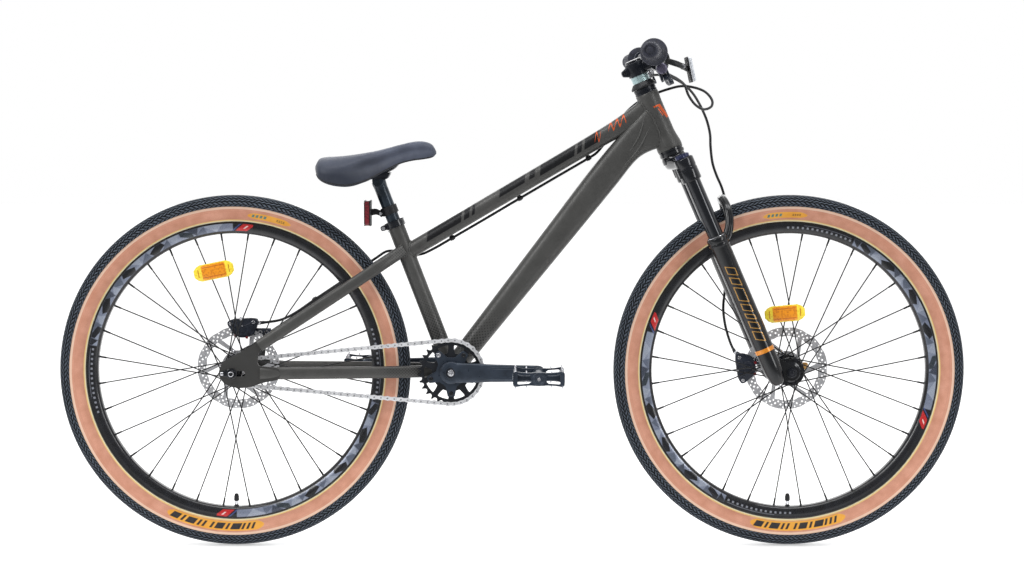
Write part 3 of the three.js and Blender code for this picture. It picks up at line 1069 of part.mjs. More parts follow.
function pedalSolid(x, side) {
  const long = pedal.halfLength;
  const high = pedal.halfHeight;
  const quarter = [[1, 0.8], [0.9, 1], [0, 0.8]];
  const outline = [
    ...quarter.map(([a, b]) => [a, b]), ...quarter.slice(0, -1).map(([a, b]) => [-a, b]).reverse(),
    ...quarter.map(([a, b]) => [-a, -b]), ...quarter.slice(0, -1).map(([a, b]) => [a, -b]).reverse(),
  ].map(([a, b]) => [a * long, b * high]);
  const inside = long - pedal.barHalf * 2;
  const open = (sign) => [[sign * pedal.barrel, -high * 0.4], [sign * inside, -high * 0.5],
    [sign * inside, high * 0.5], [sign * pedal.barrel, high * 0.4]];
  const width = pedal.outer - pedal.inner;
  const starts = [0, (width - pedal.rib) / 2, width - pedal.sideThick];
  const thick = [pedal.sideThick, pedal.rib, pedal.sideThick];
  const plates = starts.map((start, k) => plate(outline, [open(1), open(-1)], pedal.inner + start,
    pedal.inner + start + thick[k]));
  const bars = [1, -1].map((sign) => {
    const [low, far] = sign > 0 ? [inside, long - pedal.barHalf * 0.2] : [-long + pedal.barHalf * 0.2, -inside];
    return block(new Vector3(low, pedal.inner, -high * 0.85), new Vector3(far, pedal.outer, high * 0.85));
  });
  const barrel = rod(new Vector3(0, pedal.inner, 0), new Vector3(0, pedal.outer, 0), pedal.barrel, roundSides);
  const bore = rod(new Vector3(0, pedal.inner - overrun, 0), new Vector3(0, pedal.outer - pedal.sideThick * 0.25, 0),
    pedal.axleRadius + pedal.axleGap, 12);
  const pins = [1, -1].flatMap((a) => [1, -1].flatMap((b) => [0.15, 0.85].map((share) => {
    const from = new Vector3(a * (long - pedal.barHalf), mix(pedal.inner, pedal.outer, share), b * high * 0.6);
    return rod(from, from.clone().setZ(b * (high + pedal.pinHeight)), pedal.pinRadius, pedal.pinSides);
  })));
  const solid = cut(join(plates, bars, barrel, pins), bore);
  return moved(solid, new Matrix4().makeScale(1, side, 1).setPosition(x, 0, 0));
}

// Seat, in the seat line's frame: z runs up the seat tube from the bracket
function addSeat() {
  const along = (a, b, radius, sides = roundSides) => rod(new Vector3(0, 0, a), new Vector3(0, 0, b), radius, sides);
  const head = new Vector3(0, 0, postTop);
  const across = new Vector3(0, post.barrelHalf, 0);
  node(seatLine, 'seatpost', join(along(seatTube.length - post.insert, postTop - post.shoulder, post.radius),
    rod(head.clone().sub(across), head.clone().add(across), post.barrel)), paint.slate);
  const collarTop = seatTube.length + collar.rise;
  const ears = block(new Vector3(-collar.earReach, -collar.earHalf, collarTop - collar.earHeight - collar.rise),
    new Vector3(-seatTube.radius, collar.earHalf, collarTop - collar.rise));
  const ring = along(collarTop - collar.height, collarTop, collar.radius);
  const boreRoom = along(collarTop - collar.height - overrun, collarTop + overrun, seatTube.radius + gap);
  node(seatLine, 'seat_collar', cut(join(ring, ears), boreRoom), paint.black);
  addRearReflector();
  addSaddle();
}

function addRearReflector() {
  const centre = onSeatTube(1).addScaledVector(seatUp, rearReflector.rise);
  const offset = (vector) => centre.clone().addScaledVector(seatUp, vector);
  const band = rod(offset(-rearReflector.bandHalf), offset(rearReflector.bandHalf), rearReflector.bandRadius);
  const room = rod(offset(-rearReflector.bandHalf - overrun), offset(rearReflector.bandHalf + overrun),
    clearBore(post.radius));
  const front = centre.x + rearReflector.ahead;
  const panel = block(new Vector3(front - rearReflector.thick, -rearReflector.halfWidth, centre.z + rearReflector.low),
    new Vector3(front, rearReflector.halfWidth, centre.z + rearReflector.high));
  const arm = block(new Vector3(front - rearReflector.thick / 2, -rearReflector.armHalf, centre.z - rearReflector.armHalf * 2),
    new Vector3(centre.x - post.radius, rearReflector.armHalf, centre.z));
  node(bicycle, 'rear_reflector', cut(join(band, panel, arm), room), paint.red);
}

function addSaddle() {
  const head = bracket.clone().addScaledVector(seatUp, postTop);
  const railPath = (side) => smooth(railShares.map(([x, y, z]) => new Vector3(head.x + x * rails.reach,
    side * y * rails.spread, head.z + z * rails.reach)), railSteps);
  const railPair = (grown) => [1, -1].map((side) => sweep(railPath(side), () => rails.radius + grown, hoseSides));
  const clampBlock = block(new Vector3(head.x - rails.clampHalfLength, -rails.clampHalfWidth, head.z + rails.clampBase),
    new Vector3(head.x + rails.clampHalfLength, rails.clampHalfWidth, head.z + rails.clampHeight));
  const reach = new Vector3(0, rails.clampHalfWidth + overrun, 0);
  const barrelRoom = rod(head.clone().sub(reach), head.clone().add(reach), clearBore(post.barrel));
  node(bicycle, 'saddle_rails', join(cut(clampBlock, barrelRoom), railPair(0)), paint.black);
  const base = head.z + saddle.above;
  const length = saddle.behind + saddle.ahead;
  const shell = loft(saddleShares.map(([share, top, skirt, half, hollow]) => {
    const x = head.x - saddle.behind + length * share;
    const wide = saddle.halfWidth * half;
    const low = base + saddle.height * skirt;
    const deep = saddle.height * (top - skirt);
    const under = Math.max(deep - saddle.pad, deep * 0.1) * hollow;
    const outer = saddleSideShares.map(([y, z]) => new Vector3(x, wide * y, low + deep * z));
    const belly = [new Vector3(x, wide * 0.78, low + deep * 0.06), new Vector3(x, wide * 0.45, low + under * 0.8 + deep * 0.02)];
    const flip = (p) => new Vector3(p.x, -p.y, p.z);
    return [...outer, new Vector3(x, 0, low + deep), ...outer.map(flip).reverse(), ...belly.map(flip),
      new Vector3(x, 0, low + under + deep * 0.02), ...belly.slice().reverse()];
  }));
  node(bicycle, 'saddle', cut(shell, railPair(gap)), paint.saddle);
}

// Assembly
const frontHose = hoseSolid(frontHosePoints(), hoseSteps.front, hoseRadius);
const frontHoseRoom = hoseSolid(frontHosePoints(), hoseSteps.front, hoseRadius + gap);
const rearHose = hoseSolid(rearHosePoints(), hoseSteps.rear, hoseRadius);
const rearHoseRoom = hoseSolid(rearHosePoints(), hoseSteps.rear, hoseRadius + gap);
node(bicycle, 'frame', frameSolid(rearHoseRoom), paint.frame);
addCockpit();
addFork(frontHoseRoom);
addWheel(frontWheel, 'front', hubSpacing.front, hub.leftFlangeFront, rotor.frontPlane, wheelReflector.frontRadius,
  wheelReflector.frontAngle);
addWheel(rearWheel, 'rear', hubSpacing.rear, hub.leftFlangeRear, rotor.rearPlane, wheelReflector.rearRadius,
  wheelReflector.rearAngle);
addAxles();
addBrakes(frontHoseRoom, rearHoseRoom);
node(rearWheel, 'rear_sprocket', sprocketSolid(), paint.steel);
node(bicycle, 'chain', chainSolid(), paint.steel);
addCranks();
addSeat();
node(steering, 'front_brake_hose', frontHose, paint.rubber);
node(bicycle, 'rear_brake_hose', rearHose, paint.rubber);

export default bicycle;
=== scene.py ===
"""Looks of a dirt jump bicycle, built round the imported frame. Shapes are worked out in millimetres."""
import math

import bmesh
import bpy
from mathutils import Matrix, Vector
from mathutils.geometry import tessellate_polygon


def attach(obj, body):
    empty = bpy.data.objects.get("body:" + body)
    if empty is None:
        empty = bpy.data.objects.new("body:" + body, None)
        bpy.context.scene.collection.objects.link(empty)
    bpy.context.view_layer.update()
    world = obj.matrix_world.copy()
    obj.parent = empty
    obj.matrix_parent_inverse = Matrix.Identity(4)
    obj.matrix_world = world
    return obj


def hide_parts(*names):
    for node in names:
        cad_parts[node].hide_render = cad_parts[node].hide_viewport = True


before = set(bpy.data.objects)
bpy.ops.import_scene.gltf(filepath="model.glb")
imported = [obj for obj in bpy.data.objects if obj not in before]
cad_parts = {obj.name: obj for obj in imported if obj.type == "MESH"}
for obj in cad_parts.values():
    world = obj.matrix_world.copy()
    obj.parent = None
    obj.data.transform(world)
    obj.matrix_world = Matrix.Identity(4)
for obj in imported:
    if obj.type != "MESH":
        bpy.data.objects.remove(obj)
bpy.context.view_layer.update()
scene = bpy.context.scene
MM = 0.001
TURN = 2 * math.pi

# places, as in the part's source
R = 335.5                       # wheel radius
BASE = 1059                     # wheelbase
PITCH = 12.7                    # chain
CHAIN_LINE = 47                 # from the centre plane to the chain
TEETH, COG_TEETH = 30, 11
CRANK = 165
SEAT_TUBE, HEAD_TUBE = 304, 115
DROPOUT, BLADE = 92, 112        # sizes that the outlines of dropout plate and lever blade are shares of
REACH, RISE = 45, 165           # bar centre ahead of the steerer and above the head tube's foot
SPOKE_CIRCLE, RIM_INSIDE = 22.5, 262.0
FORK_LENGTH, FORK_OFFSET = 479, 41.9
FRONT_DISC, REAR_DISC = 38, 52  # from the centre plane to each disc
LEG_SIDE, LEG_AHEAD = 65, 11.2
HOSE_OUT = 166                  # from the centre plane to where a hose leaves its brake lever
HEAD_TILT, SEAT_TILT = math.radians(23.3), math.radians(21.1)
UP = Vector((-math.sin(HEAD_TILT), 0, math.cos(HEAD_TILT)))
AHEAD = Vector((math.cos(HEAD_TILT), 0, math.sin(HEAD_TILT)))
FRONT, REAR = Vector((BASE / 2, 0, R)), Vector((-BASE / 2, 0, R))
HEAD = FRONT + FORK_LENGTH * UP - FORK_OFFSET * AHEAD
BRACKET = Vector((-115.357, 0, 336.0))
SEAT_UP = Vector((-math.sin(SEAT_TILT), 0, math.cos(SEAT_TILT)))
SEAT_AHEAD = Vector((math.cos(SEAT_TILT), 0, math.sin(SEAT_TILT)))
X, Y, Z = Vector((1, 0, 0)), Vector((0, 1, 0)), Vector((0, 0, 1))


def steer(s, y, t):
    return HEAD + AHEAD * s + UP * t + Y * y


def seat(t, s=0, y=0):
    return BRACKET + SEAT_UP * t + SEAT_AHEAD * s + Y * y


def mix(a, b, k):
    return a + (b - a) * k


def clamp(x, a=0.0, b=1.0):
    return min(max(x, a), b)


def ease(x):
    x = clamp(x)
    return x * x * (3 - 2 * x)


# node expressions for materials
class Ex:
    """A number or vector that comes out of a node."""

    def __init__(self, mat, out):
        self.mat, self.out = mat, out

    def math(self, operation, *others):
        node = self.mat.tree.nodes.new("ShaderNodeMath")
        node.operation = operation
        for i, other in enumerate((self, *others)):
            self.mat.feed(node.inputs[i], other)
        return Ex(self.mat, node.outputs[0])

    def __add__(self, o):
        return self.math("ADD", o)

    def __radd__(self, o):
        return self.math("ADD", o)

    def __sub__(self, o):
        return self.math("SUBTRACT", o)

    def __rsub__(self, o):
        return (self * -1) + o

    def __mul__(self, o):
        return self.math("MULTIPLY", o)

    def __rmul__(self, o):
        return self.math("MULTIPLY", o)

    def __truediv__(self, o):
        return self.math("DIVIDE", o)

    def __pow__(self, o):
        return self.math("POWER", o)

    def min(self, o):
        return self.math("MINIMUM", o)

    def max(self, o):
        return self.math("MAXIMUM", o)

    def abs(self):
        return self.math("ABSOLUTE")

    def step(self, at, soft=0.01):
        """0 below at, 1 above it."""
        node = self.mat.tree.nodes.new("ShaderNodeMapRange")
        self.mat.feed(node.inputs["Value"], self)
        node.inputs["From Min"].default_value = at - soft
        node.inputs["From Max"].default_value = at + soft
        return Ex(self.mat, node.outputs[0])

    def between(self, low, high, soft=0.01):
        return self.step(low, soft) * (1 - self.step(high, soft))

    def to(self, low, high, a=0.0, b=1.0):
        node = self.mat.tree.nodes.new("ShaderNodeMapRange")
        self.mat.feed(node.inputs["Value"], self)
        for name, value in (("From Min", a), ("From Max", b), ("To Min", low), ("To Max", high)):
            node.inputs[name].default_value = value
        return Ex(self.mat, node.outputs[0])


class Mat:
    """A principled material whose colour, roughness and bump come from nodes."""

    def __init__(self, name, color, rough=0.5, metal=0.0, **sockets):
        self.m = bpy.data.materials.new(name)
        self.m.use_nodes = True
        self.tree = self.m.node_tree
        self.bsdf = self.tree.nodes["Principled BSDF"]
        self.set("Base Color", (*color, 1.0))
        self.set("Roughness", rough)
        self.set("Metallic", metal)
        for key, value in sockets.items():
            self.set(key.replace("_", " "), value)
        self._xyz = None
        self.m.diffuse_color = (*color, 1.0)

    def set(self, socket, value):
        self.bsdf.inputs[socket].default_value = value

    def feed(self, socket, value):
        if isinstance(value, Ex):
            self.tree.links.new(value.out, socket)
        else:
            socket.default_value = value

    def drive(self, socket, value):
        self.feed(self.bsdf.inputs[socket], value)

    def coords(self):
        """Object coordinates in millimetres."""
        if self._xyz is None:
            co = self.tree.nodes.new("ShaderNodeTexCoord")
            scale = self.tree.nodes.new("ShaderNodeVectorMath")
            scale.operation = "SCALE"
            scale.inputs["Scale"].default_value = 1000.0
            self.tree.links.new(co.outputs["Object"], scale.inputs[0])
            split = self.tree.nodes.new("ShaderNodeSeparateXYZ")
            self.tree.links.new(scale.outputs[0], split.inputs[0])
            self._vec = Ex(self, scale.outputs[0])
            self._xyz = tuple(Ex(self, o) for o in split.outputs)
        return self._xyz

    def vec(self):
        self.coords()
        return self._vec

    def along(self, origin, direction):
        """Distance from origin along a direction."""
        x, y, z = self.coords()
        d = direction
        return x * d[0] + y * d[1] + z * d[2] - (origin[0] * d[0] + origin[1] * d[1] + origin[2] * d[2])

    def polar(self):
        """Radius and angle in turns (0 to 1) round the y axis."""
        x, _, z = self.coords()
        radius = (x * x + z * z).math("SQRT")
        angle = z.math("ARCTAN2", x) / TURN + 1.0
        return radius, angle.math("FRACT")

    def combine(self, x, y, z):
        node = self.tree.nodes.new("ShaderNodeCombineXYZ")
        for i, value in enumerate((x, y, z)):
            self.feed(node.inputs[i], value)
        return Ex(self, node.outputs[0])

    def noise(self, size, detail=2.0, vector=None, rough=0.5):
        node = self.tree.nodes.new("ShaderNodeTexNoise")
        node.inputs["Scale"].default_value = 1.0 / size
        node.inputs["Detail"].default_value = detail
        node.inputs["Roughness"].default_value = rough
        self.tree.links.new((vector or self.vec()).out, node.inputs["Vector"])
        return Ex(self, node.outputs["Fac"])

    def cells(self, size, vector=None):
        node = self.tree.nodes.new("ShaderNodeTexVoronoi")
        node.inputs["Scale"].default_value = 1.0 / size
        self.tree.links.new((vector or self.vec()).out, node.inputs["Vector"])
        return Ex(self, node.outputs["Distance"])

    def blend(self, mask, a, b):
        node = self.tree.nodes.new("ShaderNodeMix")
        node.data_type = "RGBA"
        self.feed(node.inputs["Factor"], mask)
        for socket, value in ((node.inputs[6], a), (node.inputs[7], b)):
            if isinstance(value, Ex):
                self.tree.links.new(value.out, socket)
            else:
                socket.default_value = (*value, 1.0)
        return Ex(self, node.outputs[2])

    def cloud(self, size, a, b):
        """Soft patches of two colours."""
        return self.blend(self.noise(size, 3).to(0, 1, 0.35, 0.65), a, b)

    def gloss(self, size, low, high):
        """Roughness that drifts between two values."""
        self.drive("Roughness", self.noise(size, 3).to(low, high, 0.3, 0.7))

    def bump(self, height, distance, strength=1.0):
        node = self.tree.nodes.new("ShaderNodeBump")
        node.inputs["Distance"].default_value = distance * MM
        node.inputs["Strength"].default_value = strength
        self.feed(node.inputs["Height"], height)
        previous = self.bsdf.inputs["Normal"].links
        if previous:
            self.tree.links.new(previous[0].from_socket, node.inputs["Normal"])
        self.tree.links.new(node.outputs[0], self.bsdf.inputs["Normal"])


def rgb(r, g, b):
    """sRGB 0-255 to linear."""
    def one(c):
        c /= 255
        return c / 12.92 if c <= 0.04045 else ((c + 0.055) / 1.055) ** 2.4
    return one(r), one(g), one(b)


# mesh making
class Shape:
    """Collects vertices and faces in millimetres, with a material number for each face."""

    def __init__(self):
        self.verts, self.faces, self.mats = [], [], []

    def put(self, verts, faces, mat=0, matrix=None):
        start = len(self.verts)
        self.verts += [matrix @ Vector(v) for v in verts] if matrix else [Vector(v) for v in verts]
        for f in faces:
            self.faces.append([start + i for i in f])
            self.mats.append(mat)
        return self

    def loft(self, rings, mat=0, closed=False, caps=True, matrix=None):
        n = len(rings[0])
        verts = [p for ring in rings for p in ring]
        faces = []
        count = len(rings)
        for r in range(count if closed else count - 1):
            q = (r + 1) % count
            for k in range(n):
                faces.append((r * n + k, r * n + (k + 1) % n, q * n + (k + 1) % n, q * n + k))
        if caps and not closed:
            faces.append(tuple(range(n - 1, -1, -1)))
            faces.append(tuple((count - 1) * n + k for k in range(n)))
        return self.put(verts, faces, mat, matrix)

    def rod(self, a, b, radius, sides=24, mat=0, caps=True):
        a, b = Vector(a), Vector(b)
        return self.stack(a, b - a, [(0, radius), ((b - a).length, radius)], sides, mat, caps)

    def stack(self, start, along, stations, sides=24, mat=0, caps=True):
        start, direction = Vector(start), Vector(along).normalized()
        rough = X if abs(direction.z) > 0.9 or abs(direction.y) > 0.9 else Z
        up = (rough - direction * rough.dot(direction)).normalized()
        side = direction.cross(up)
        rings = [ring(start + direction * d, up * max(r, 0.01), side * max(r, 0.01), sides) for d,
                 r in stations]
        return self.loft(rings, mat, caps=caps)

    def sweep(self, points, radius, sides=12, mat=0, caps=True, closed=False):
        points = [Vector(p) for p in points]
        up = Z
        rings = []
        n = len(points)
        for i, p in enumerate(points):
            if closed:
                ahead = points[(i + 1) % n] - points[i - 1]
            else:
                ahead = points[min(i + 1, n - 1)] - points[max(i - 1, 0)]
            ahead.normalize()
            up = (up - ahead * up.dot(ahead)).normalized()
            side = ahead.cross(up)
            r = radius(i / (n - 1)) if callable(radius) else radius
            rings.append(ring(p, up * r, side * r, sides))
        return self.loft(rings, mat, closed=closed, caps=caps)

    def turned(self, profile, sides=64, mat=0, closed=True, centre=(0, 0, 0), axis="y", mats=None):
        """profile is a list of (radius, distance along the axis)."""
        n = len(profile)
        verts = []
        for k in range(sides):
            a = TURN * k / sides
            c, s = math.cos(a), math.sin(a)
            for r, h in profile:
                verts.append((r * c, h, r * s) if axis == "y" else (r * c, r * s, h))
        centre = Vector(centre)
        start = len(self.verts)
        self.verts += [Vector(v) + centre for v in verts]
        for k in range(sides):
            q = (k + 1) % sides
            for i in range(n if closed else n - 1):
                j = (i + 1) % n
                face = (k * n + i, q * n + i, q * n + j, k * n + j)
                if axis == "y":
                    face = face[::-1]
                self.faces.append([start + v for v in face])
                self.mats.append(mats[i] if mats else mat)
        return self

    def plate(self, outline, holes=(), low=0.0, high=1.0, mat=0, matrix=None):
        """Flat plate: outline and holes are in x and z, thickness runs along y from low to high."""
        loops = [list(outline), *[list(h) for h in holes]]
        flat = [[Vector((x, z, 0)) for x, z in loop] for loop in loops]
        tris = tessellate_polygon(flat)
        points = [p for loop in loops for p in loop]
        n = len(points)
        verts = [(x, low, z) for x, z in points] + [(x, high, z) for x, z in points]
        faces = []
        def area(loop):
            return sum(a[0] * b[1] - b[0] * a[1] for a, b in zip(loop, loop[1:] + loop[:1]))
        for t in tris:
            a = area([points[i] for i in t])
            t = t if a > 0 else t[::-1]
            faces.append(tuple(t))
            faces.append(tuple(n + i for i in reversed(t)))
        start = 0
        for loop in loops:
            for i in range(len(loop)):
                a, b = start + i, start + (i + 1) % len(loop)
                faces.append((a, a + n, b + n, b))
            start += len(loop)
        return self.put(verts, faces, mat, matrix)

    def box(self, low, high, mat=0, matrix=None):
        (a, b, c), (d, e, f) = low, high
        verts = [(a, b, c), (d, b, c), (d, e, c), (a, e, c), (a, b, f), (d, b, f), (d, e, f), (a, e, f)]
        faces = [(0, 3, 2, 1), (4, 5, 6, 7), (0, 1, 5, 4), (1, 2, 6, 5), (2, 3, 7, 6), (3, 0, 4, 7)]
        return self.put(verts, faces, mat, matrix)

    def merge(self, other, matrix=None):
        start = len(self.verts)
        self.verts += [matrix @ v for v in other.verts] if matrix else [v.copy() for v in other.verts]
        self.faces += [[start + i for i in f] for f in other.faces]
        self.mats += other.mats
        return self

    def build(self, name, body, mats, slot, node, local=(0, 0, 0), sharp=32, bevel=0.0, segments=2):
        """Makes the piece and hands it over. local is where the shape's own origin goes, sharp is in degrees."""
        mesh = bpy.data.meshes.new(name)
        mesh.from_pydata([(v * MM)[:] for v in self.verts], [], self.faces)
        for m in mats if isinstance(mats, (list, tuple)) else [mats]:
            mesh.materials.append(m.m)
        mesh.polygons.foreach_set("material_index", self.mats)
        bm = bmesh.new()
        bm.from_mesh(mesh)
        bmesh.ops.remove_doubles(bm, verts=bm.verts, dist=2e-6)
        bmesh.ops.dissolve_degenerate(bm, edges=bm.edges, dist=1e-6)
        bmesh.ops.recalc_face_normals(bm, faces=bm.faces)
        bm.to_mesh(mesh)
        bm.free()
        ob = bpy.data.objects.new(name, mesh)
        scene.collection.objects.link(ob)
        ob.location = Vector(local) * MM
        if bevel:
            mod = ob.modifiers.new("bevel", "BEVEL")
            mod.width, mod.segments, mod.limit_method = bevel * MM, segments, "ANGLE"
            mod.angle_limit = math.radians(35)
            mod.harden_normals = False
            graph = bpy.context.evaluated_depsgraph_get()
            fresh = bpy.data.meshes.new_from_object(ob.evaluated_get(graph))
            ob.modifiers.clear()
            ob.data = fresh
        shade(ob.data, sharp)
        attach(ob, body)
        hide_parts(node)
        return ob


def shade(mesh, angle):
    bm = bmesh.new()
    bm.from_mesh(mesh)
    limit = math.radians(angle)
    for face in bm.faces:
        face.smooth = True
    for edge in bm.edges:
        edge.smooth = len(edge.link_faces) == 2 and edge.calc_face_angle(4.0) < limit
    bm.to_mesh(mesh)
    bm.free()


def ring(centre, up, side, sides, square=1.0):
    out = []
    for k in range(sides):
        a = TURN * (k + 0.5) / sides
        c, s = math.cos(a), math.sin(a)
        out.append(centre + up * math.copysign(abs(c) ** square, c) + side * math.copysign(abs(s) ** square,
                s))
    return out


def smooth(points, steps):
    """Centripetal Catmull-Rom through the points, evenly spaced."""
    pts = [Vector(p) for p in points]
    full = [pts[0] * 2 - pts[1], *pts, pts[-1] * 2 - pts[-2]]
    fine = []
    for i in range(1, len(full) - 2):
        p0, p1, p2, p3 = full[i - 1:i + 3]
        t1 = max((p1 - p0).length, 1e-6) ** 0.5
        t2 = t1 + max((p2 - p1).length, 1e-6) ** 0.5
        t3 = t2 + max((p3 - p2).length, 1e-6) ** 0.5
        for k in range(24):
            t = t1 + (t2 - t1) * k / 24
            a1, a2 = p0 * ((t1 - t) / t1) + p1 * (t / t1), p1 * ((t2 - t) / (t2 - t1)) + p2 * ((t - t1) / (t2 - t1))
            a3 = p2 * ((t3 - t) / (t3 - t2)) + p3 * ((t - t2) / (t3 - t2))
            b1, b2 = a1 * ((t2 - t) / t2) + a2 * (t / t2), a2 * ((t3 - t) / (t3 - t1)) + a3 * ((t - t1) / (t3 - t1))
            fine.append(b1 * ((t2 - t) / (t2 - t1)) + b2 * ((t - t1) / (t2 - t1)))
    fine.append(pts[-1])
    lengths = [0.0]
    for a, b in zip(fine, fine[1:]):
        lengths.append(lengths[-1] + (b - a).length)
    out, j = [], 0
    for k in range(steps + 1):
        want = lengths[-1] * k / steps
        while j < len(lengths) - 2 and lengths[j + 1] < want:
            j += 1
        span = lengths[j + 1] - lengths[j]
        out.append(fine[j].lerp(fine[j + 1], clamp((want - lengths[j]) / span if span else 0)))
    return out


def hermite(p, slope_p, q, slope_q, x):
    """Point at the share x of the curve that leaves p and reaches q with the given slopes."""
    h = x * x
    return p * (2 * h * x - 3 * h + 1) + slope_p * (h * x - 2 * h + x) + q * (3 * h - 2 * h * x) + slope_q * (h * x - h)


def blended(rings, per):
    """Rings between the given ones, along a smooth curve through each corner."""
    out = []
    n = len(rings)
    for i in range(n - 1):
        a, b = rings[i], rings[i + 1]
        before = rings[i - 1] if i else None
        after = rings[i + 2] if i + 2 < n else None
        for k in range(per):
            x = k / per
            row = []
            for j, (p, q) in enumerate(zip(a, b)):
                m0 = (q - before[j]) * 0.5 if before else q - p
                m1 = (after[j] - p) * 0.5 if after else q - p
                row.append(hermite(p, m0, q, m1, x))
            out.append(row)
    out.append(rings[-1])
    return out


def loop_smooth(points, per):
    """Smooth closed curve through the points, in steps of per between two of them."""
    out, n = [], len(points)
    for i in range(n):
        a, b, c, d = points[i - 1], points[i], points[(i + 1) % n], points[(i + 2) % n]
        for k in range(per):
            out.append(hermite(b, (c - a) * 0.5, c, (d - b) * 0.5, k / per))
    return out


def circle(radius, sides, x=0.0, z=0.0):
    return [(x + radius * math.cos(TURN * k / sides),
             z + radius * math.sin(TURN * k / sides)) for k in range(sides)]


def arc(x, z, radius, start, sweep, count):
    """Points in x and z along an arc; start and sweep are in degrees."""
    angles = [math.radians(start + sweep * k / (count - 1)) for k in range(count)]
    return [(x + radius * math.cos(a), z + radius * math.sin(a)) for a in angles]


def spot(radius, angle, y=0.0):
    """Point at a radius and an angle round the y axis."""
    return Vector((radius * math.cos(angle), y, radius * math.sin(angle)))


def rounded(corners, cut, count, share=0.45, blunt=None):
    """Outline in x and z whose corners are cut round. Corners blunter than the angle blunt stay as they are."""
    points = []
    for i, p in enumerate(corners):
        before, after = corners[i - 1] - p, corners[(i + 1) % len(corners)] - p
        if blunt and before.angle(after) > blunt:
            points.append((p.x, p.z))
            continue
        start = p + before.normalized() * min(before.length * share, cut)
        finish = p + after.normalized() * min(after.length * share, cut)
        for k in range(count):
            x = k / (count - 1)
            q = start * (1 - x) ** 2 + p * (2 * x * (1 - x)) + finish * x * x
            points.append((q.x, q.z))
    return points


def rounded_box(half_x, half_z, radius):
    outline = []
    for sx, sz, start in ((1, 1, 0), (-1, 1, 90), (-1, -1, 180), (1, -1, 270)):
        outline += arc(sx * (half_x - radius), sz * (half_z - radius), radius, start, 90, 6)
    return outline


def heading(path, i):
    return (path[min(i + 1, len(path) - 1)] - path[max(i - 1, 0)]).normalized()


def round_y(angle):
    """Turn from x towards z."""
    c, s = math.cos(angle), math.sin(angle)
    return Matrix(((c, 0, -s, 0), (0, 1, 0, 0), (s, 0, c, 0), (0, 0, 0, 1)))


def facing_x(x=0.0, z=0.0):
    """Swaps x and y, so that a plate's thickness runs along x."""
    return Matrix(((0, 1, 0, x), (1, 0, 0, 0), (0, 0, 1, z), (0, 0, 0, 1)))


# camera, floor and light
camera_data = bpy.data.cameras.new("view")
camera_data.lens, camera_data.sensor_width, camera_data.clip_end = 88.4, 36, 60
camera = bpy.data.objects.new("view", camera_data)
camera.location = (0.0, -4.8, 0.795)
camera.rotation_euler = (math.radians(90 - 3.6), 0, 0)
scene.collection.objects.link(camera)
scene.camera = camera
scene.view_settings.view_transform = "Standard"

# Name, place and height that it points at in metres, width and height, watts
for name, place, aim, size, power in (
        ("key", (-2.6, -2.6, 2.6), 0.5, (1.1, 2.6), 68), ("fill", (3.2, -2.6, 1.7), 0.5, (0.9, 2.4), 44),
        ("top", (0.0, -0.9, 3.4), 0.4, (3.4, 0.9), 54), ("back", (0.4, 3.4, 2.2), 0.6, (3.0, 2.0), 26)):
    lamp_data = bpy.data.lights.new(name, "AREA")
    lamp_data.shape, lamp_data.size, lamp_data.size_y, lamp_data.energy = "RECTANGLE", *size, power
    lamp = bpy.data.objects.new(name, lamp_data)
    lamp.location = place
    lamp.rotation_euler = (Z * aim - Vector(place)).to_track_quat("-Z", "Y").to_euler()
    scene.collection.objects.link(lamp)

# The background is white to the camera and through clear plastic. The room that lights the bicycle is white behind it
# and falls to a dark grey on the camera's side, so that dark glossy pieces keep their depth.
ROOM_DARK, GLOSSY_LIFT, FLOOR_DARK = 0.08, 0.22, 0.12
world = bpy.data.worlds.new("studio")
world.use_nodes = True
nodes, links = world.node_tree.nodes, world.node_tree.links


def world_math(operation, *sources):
    """A Math node fed by sockets or numbers."""
    node = nodes.new("ShaderNodeMath")
    node.operation = operation
    for socket, source in zip(node.inputs, sources):
        if isinstance(source, float):
            socket.default_value = source
        else:
            links.new(source, socket)
    return node.outputs[0]


path = nodes.new("ShaderNodeLightPath").outputs
split = nodes.new("ShaderNodeSeparateXYZ")
links.new(nodes.new("ShaderNodeTexCoord").outputs["Generated"], split.inputs[0])
fade = nodes.new("ShaderNodeMapRange")
links.new(split.outputs["Y"], fade.inputs["Value"])
for key, value in (("From Min", -0.5), ("From Max", 0.3), ("To Min", ROOM_DARK), ("To Max", 1.0)):
    fade.inputs[key].default_value = value
shine = world_math("MULTIPLY_ADD", path["Is Glossy Ray"], GLOSSY_LIFT, fade.outputs[0])
clear = world_math("MAXIMUM", path["Is Transmission Ray"], path["Is Camera Ray"])
links.new(world_math("MINIMUM", world_math("MAXIMUM", shine, clear), 1.0),
          nodes["Background"].inputs["Strength"])
nodes["Background"].inputs["Color"].default_value = (1.0, 1.0, 1.0, 1)
scene.world = world

floor_mat = Mat("studio_floor", (0.93, 0.93, 0.93), 0.3)
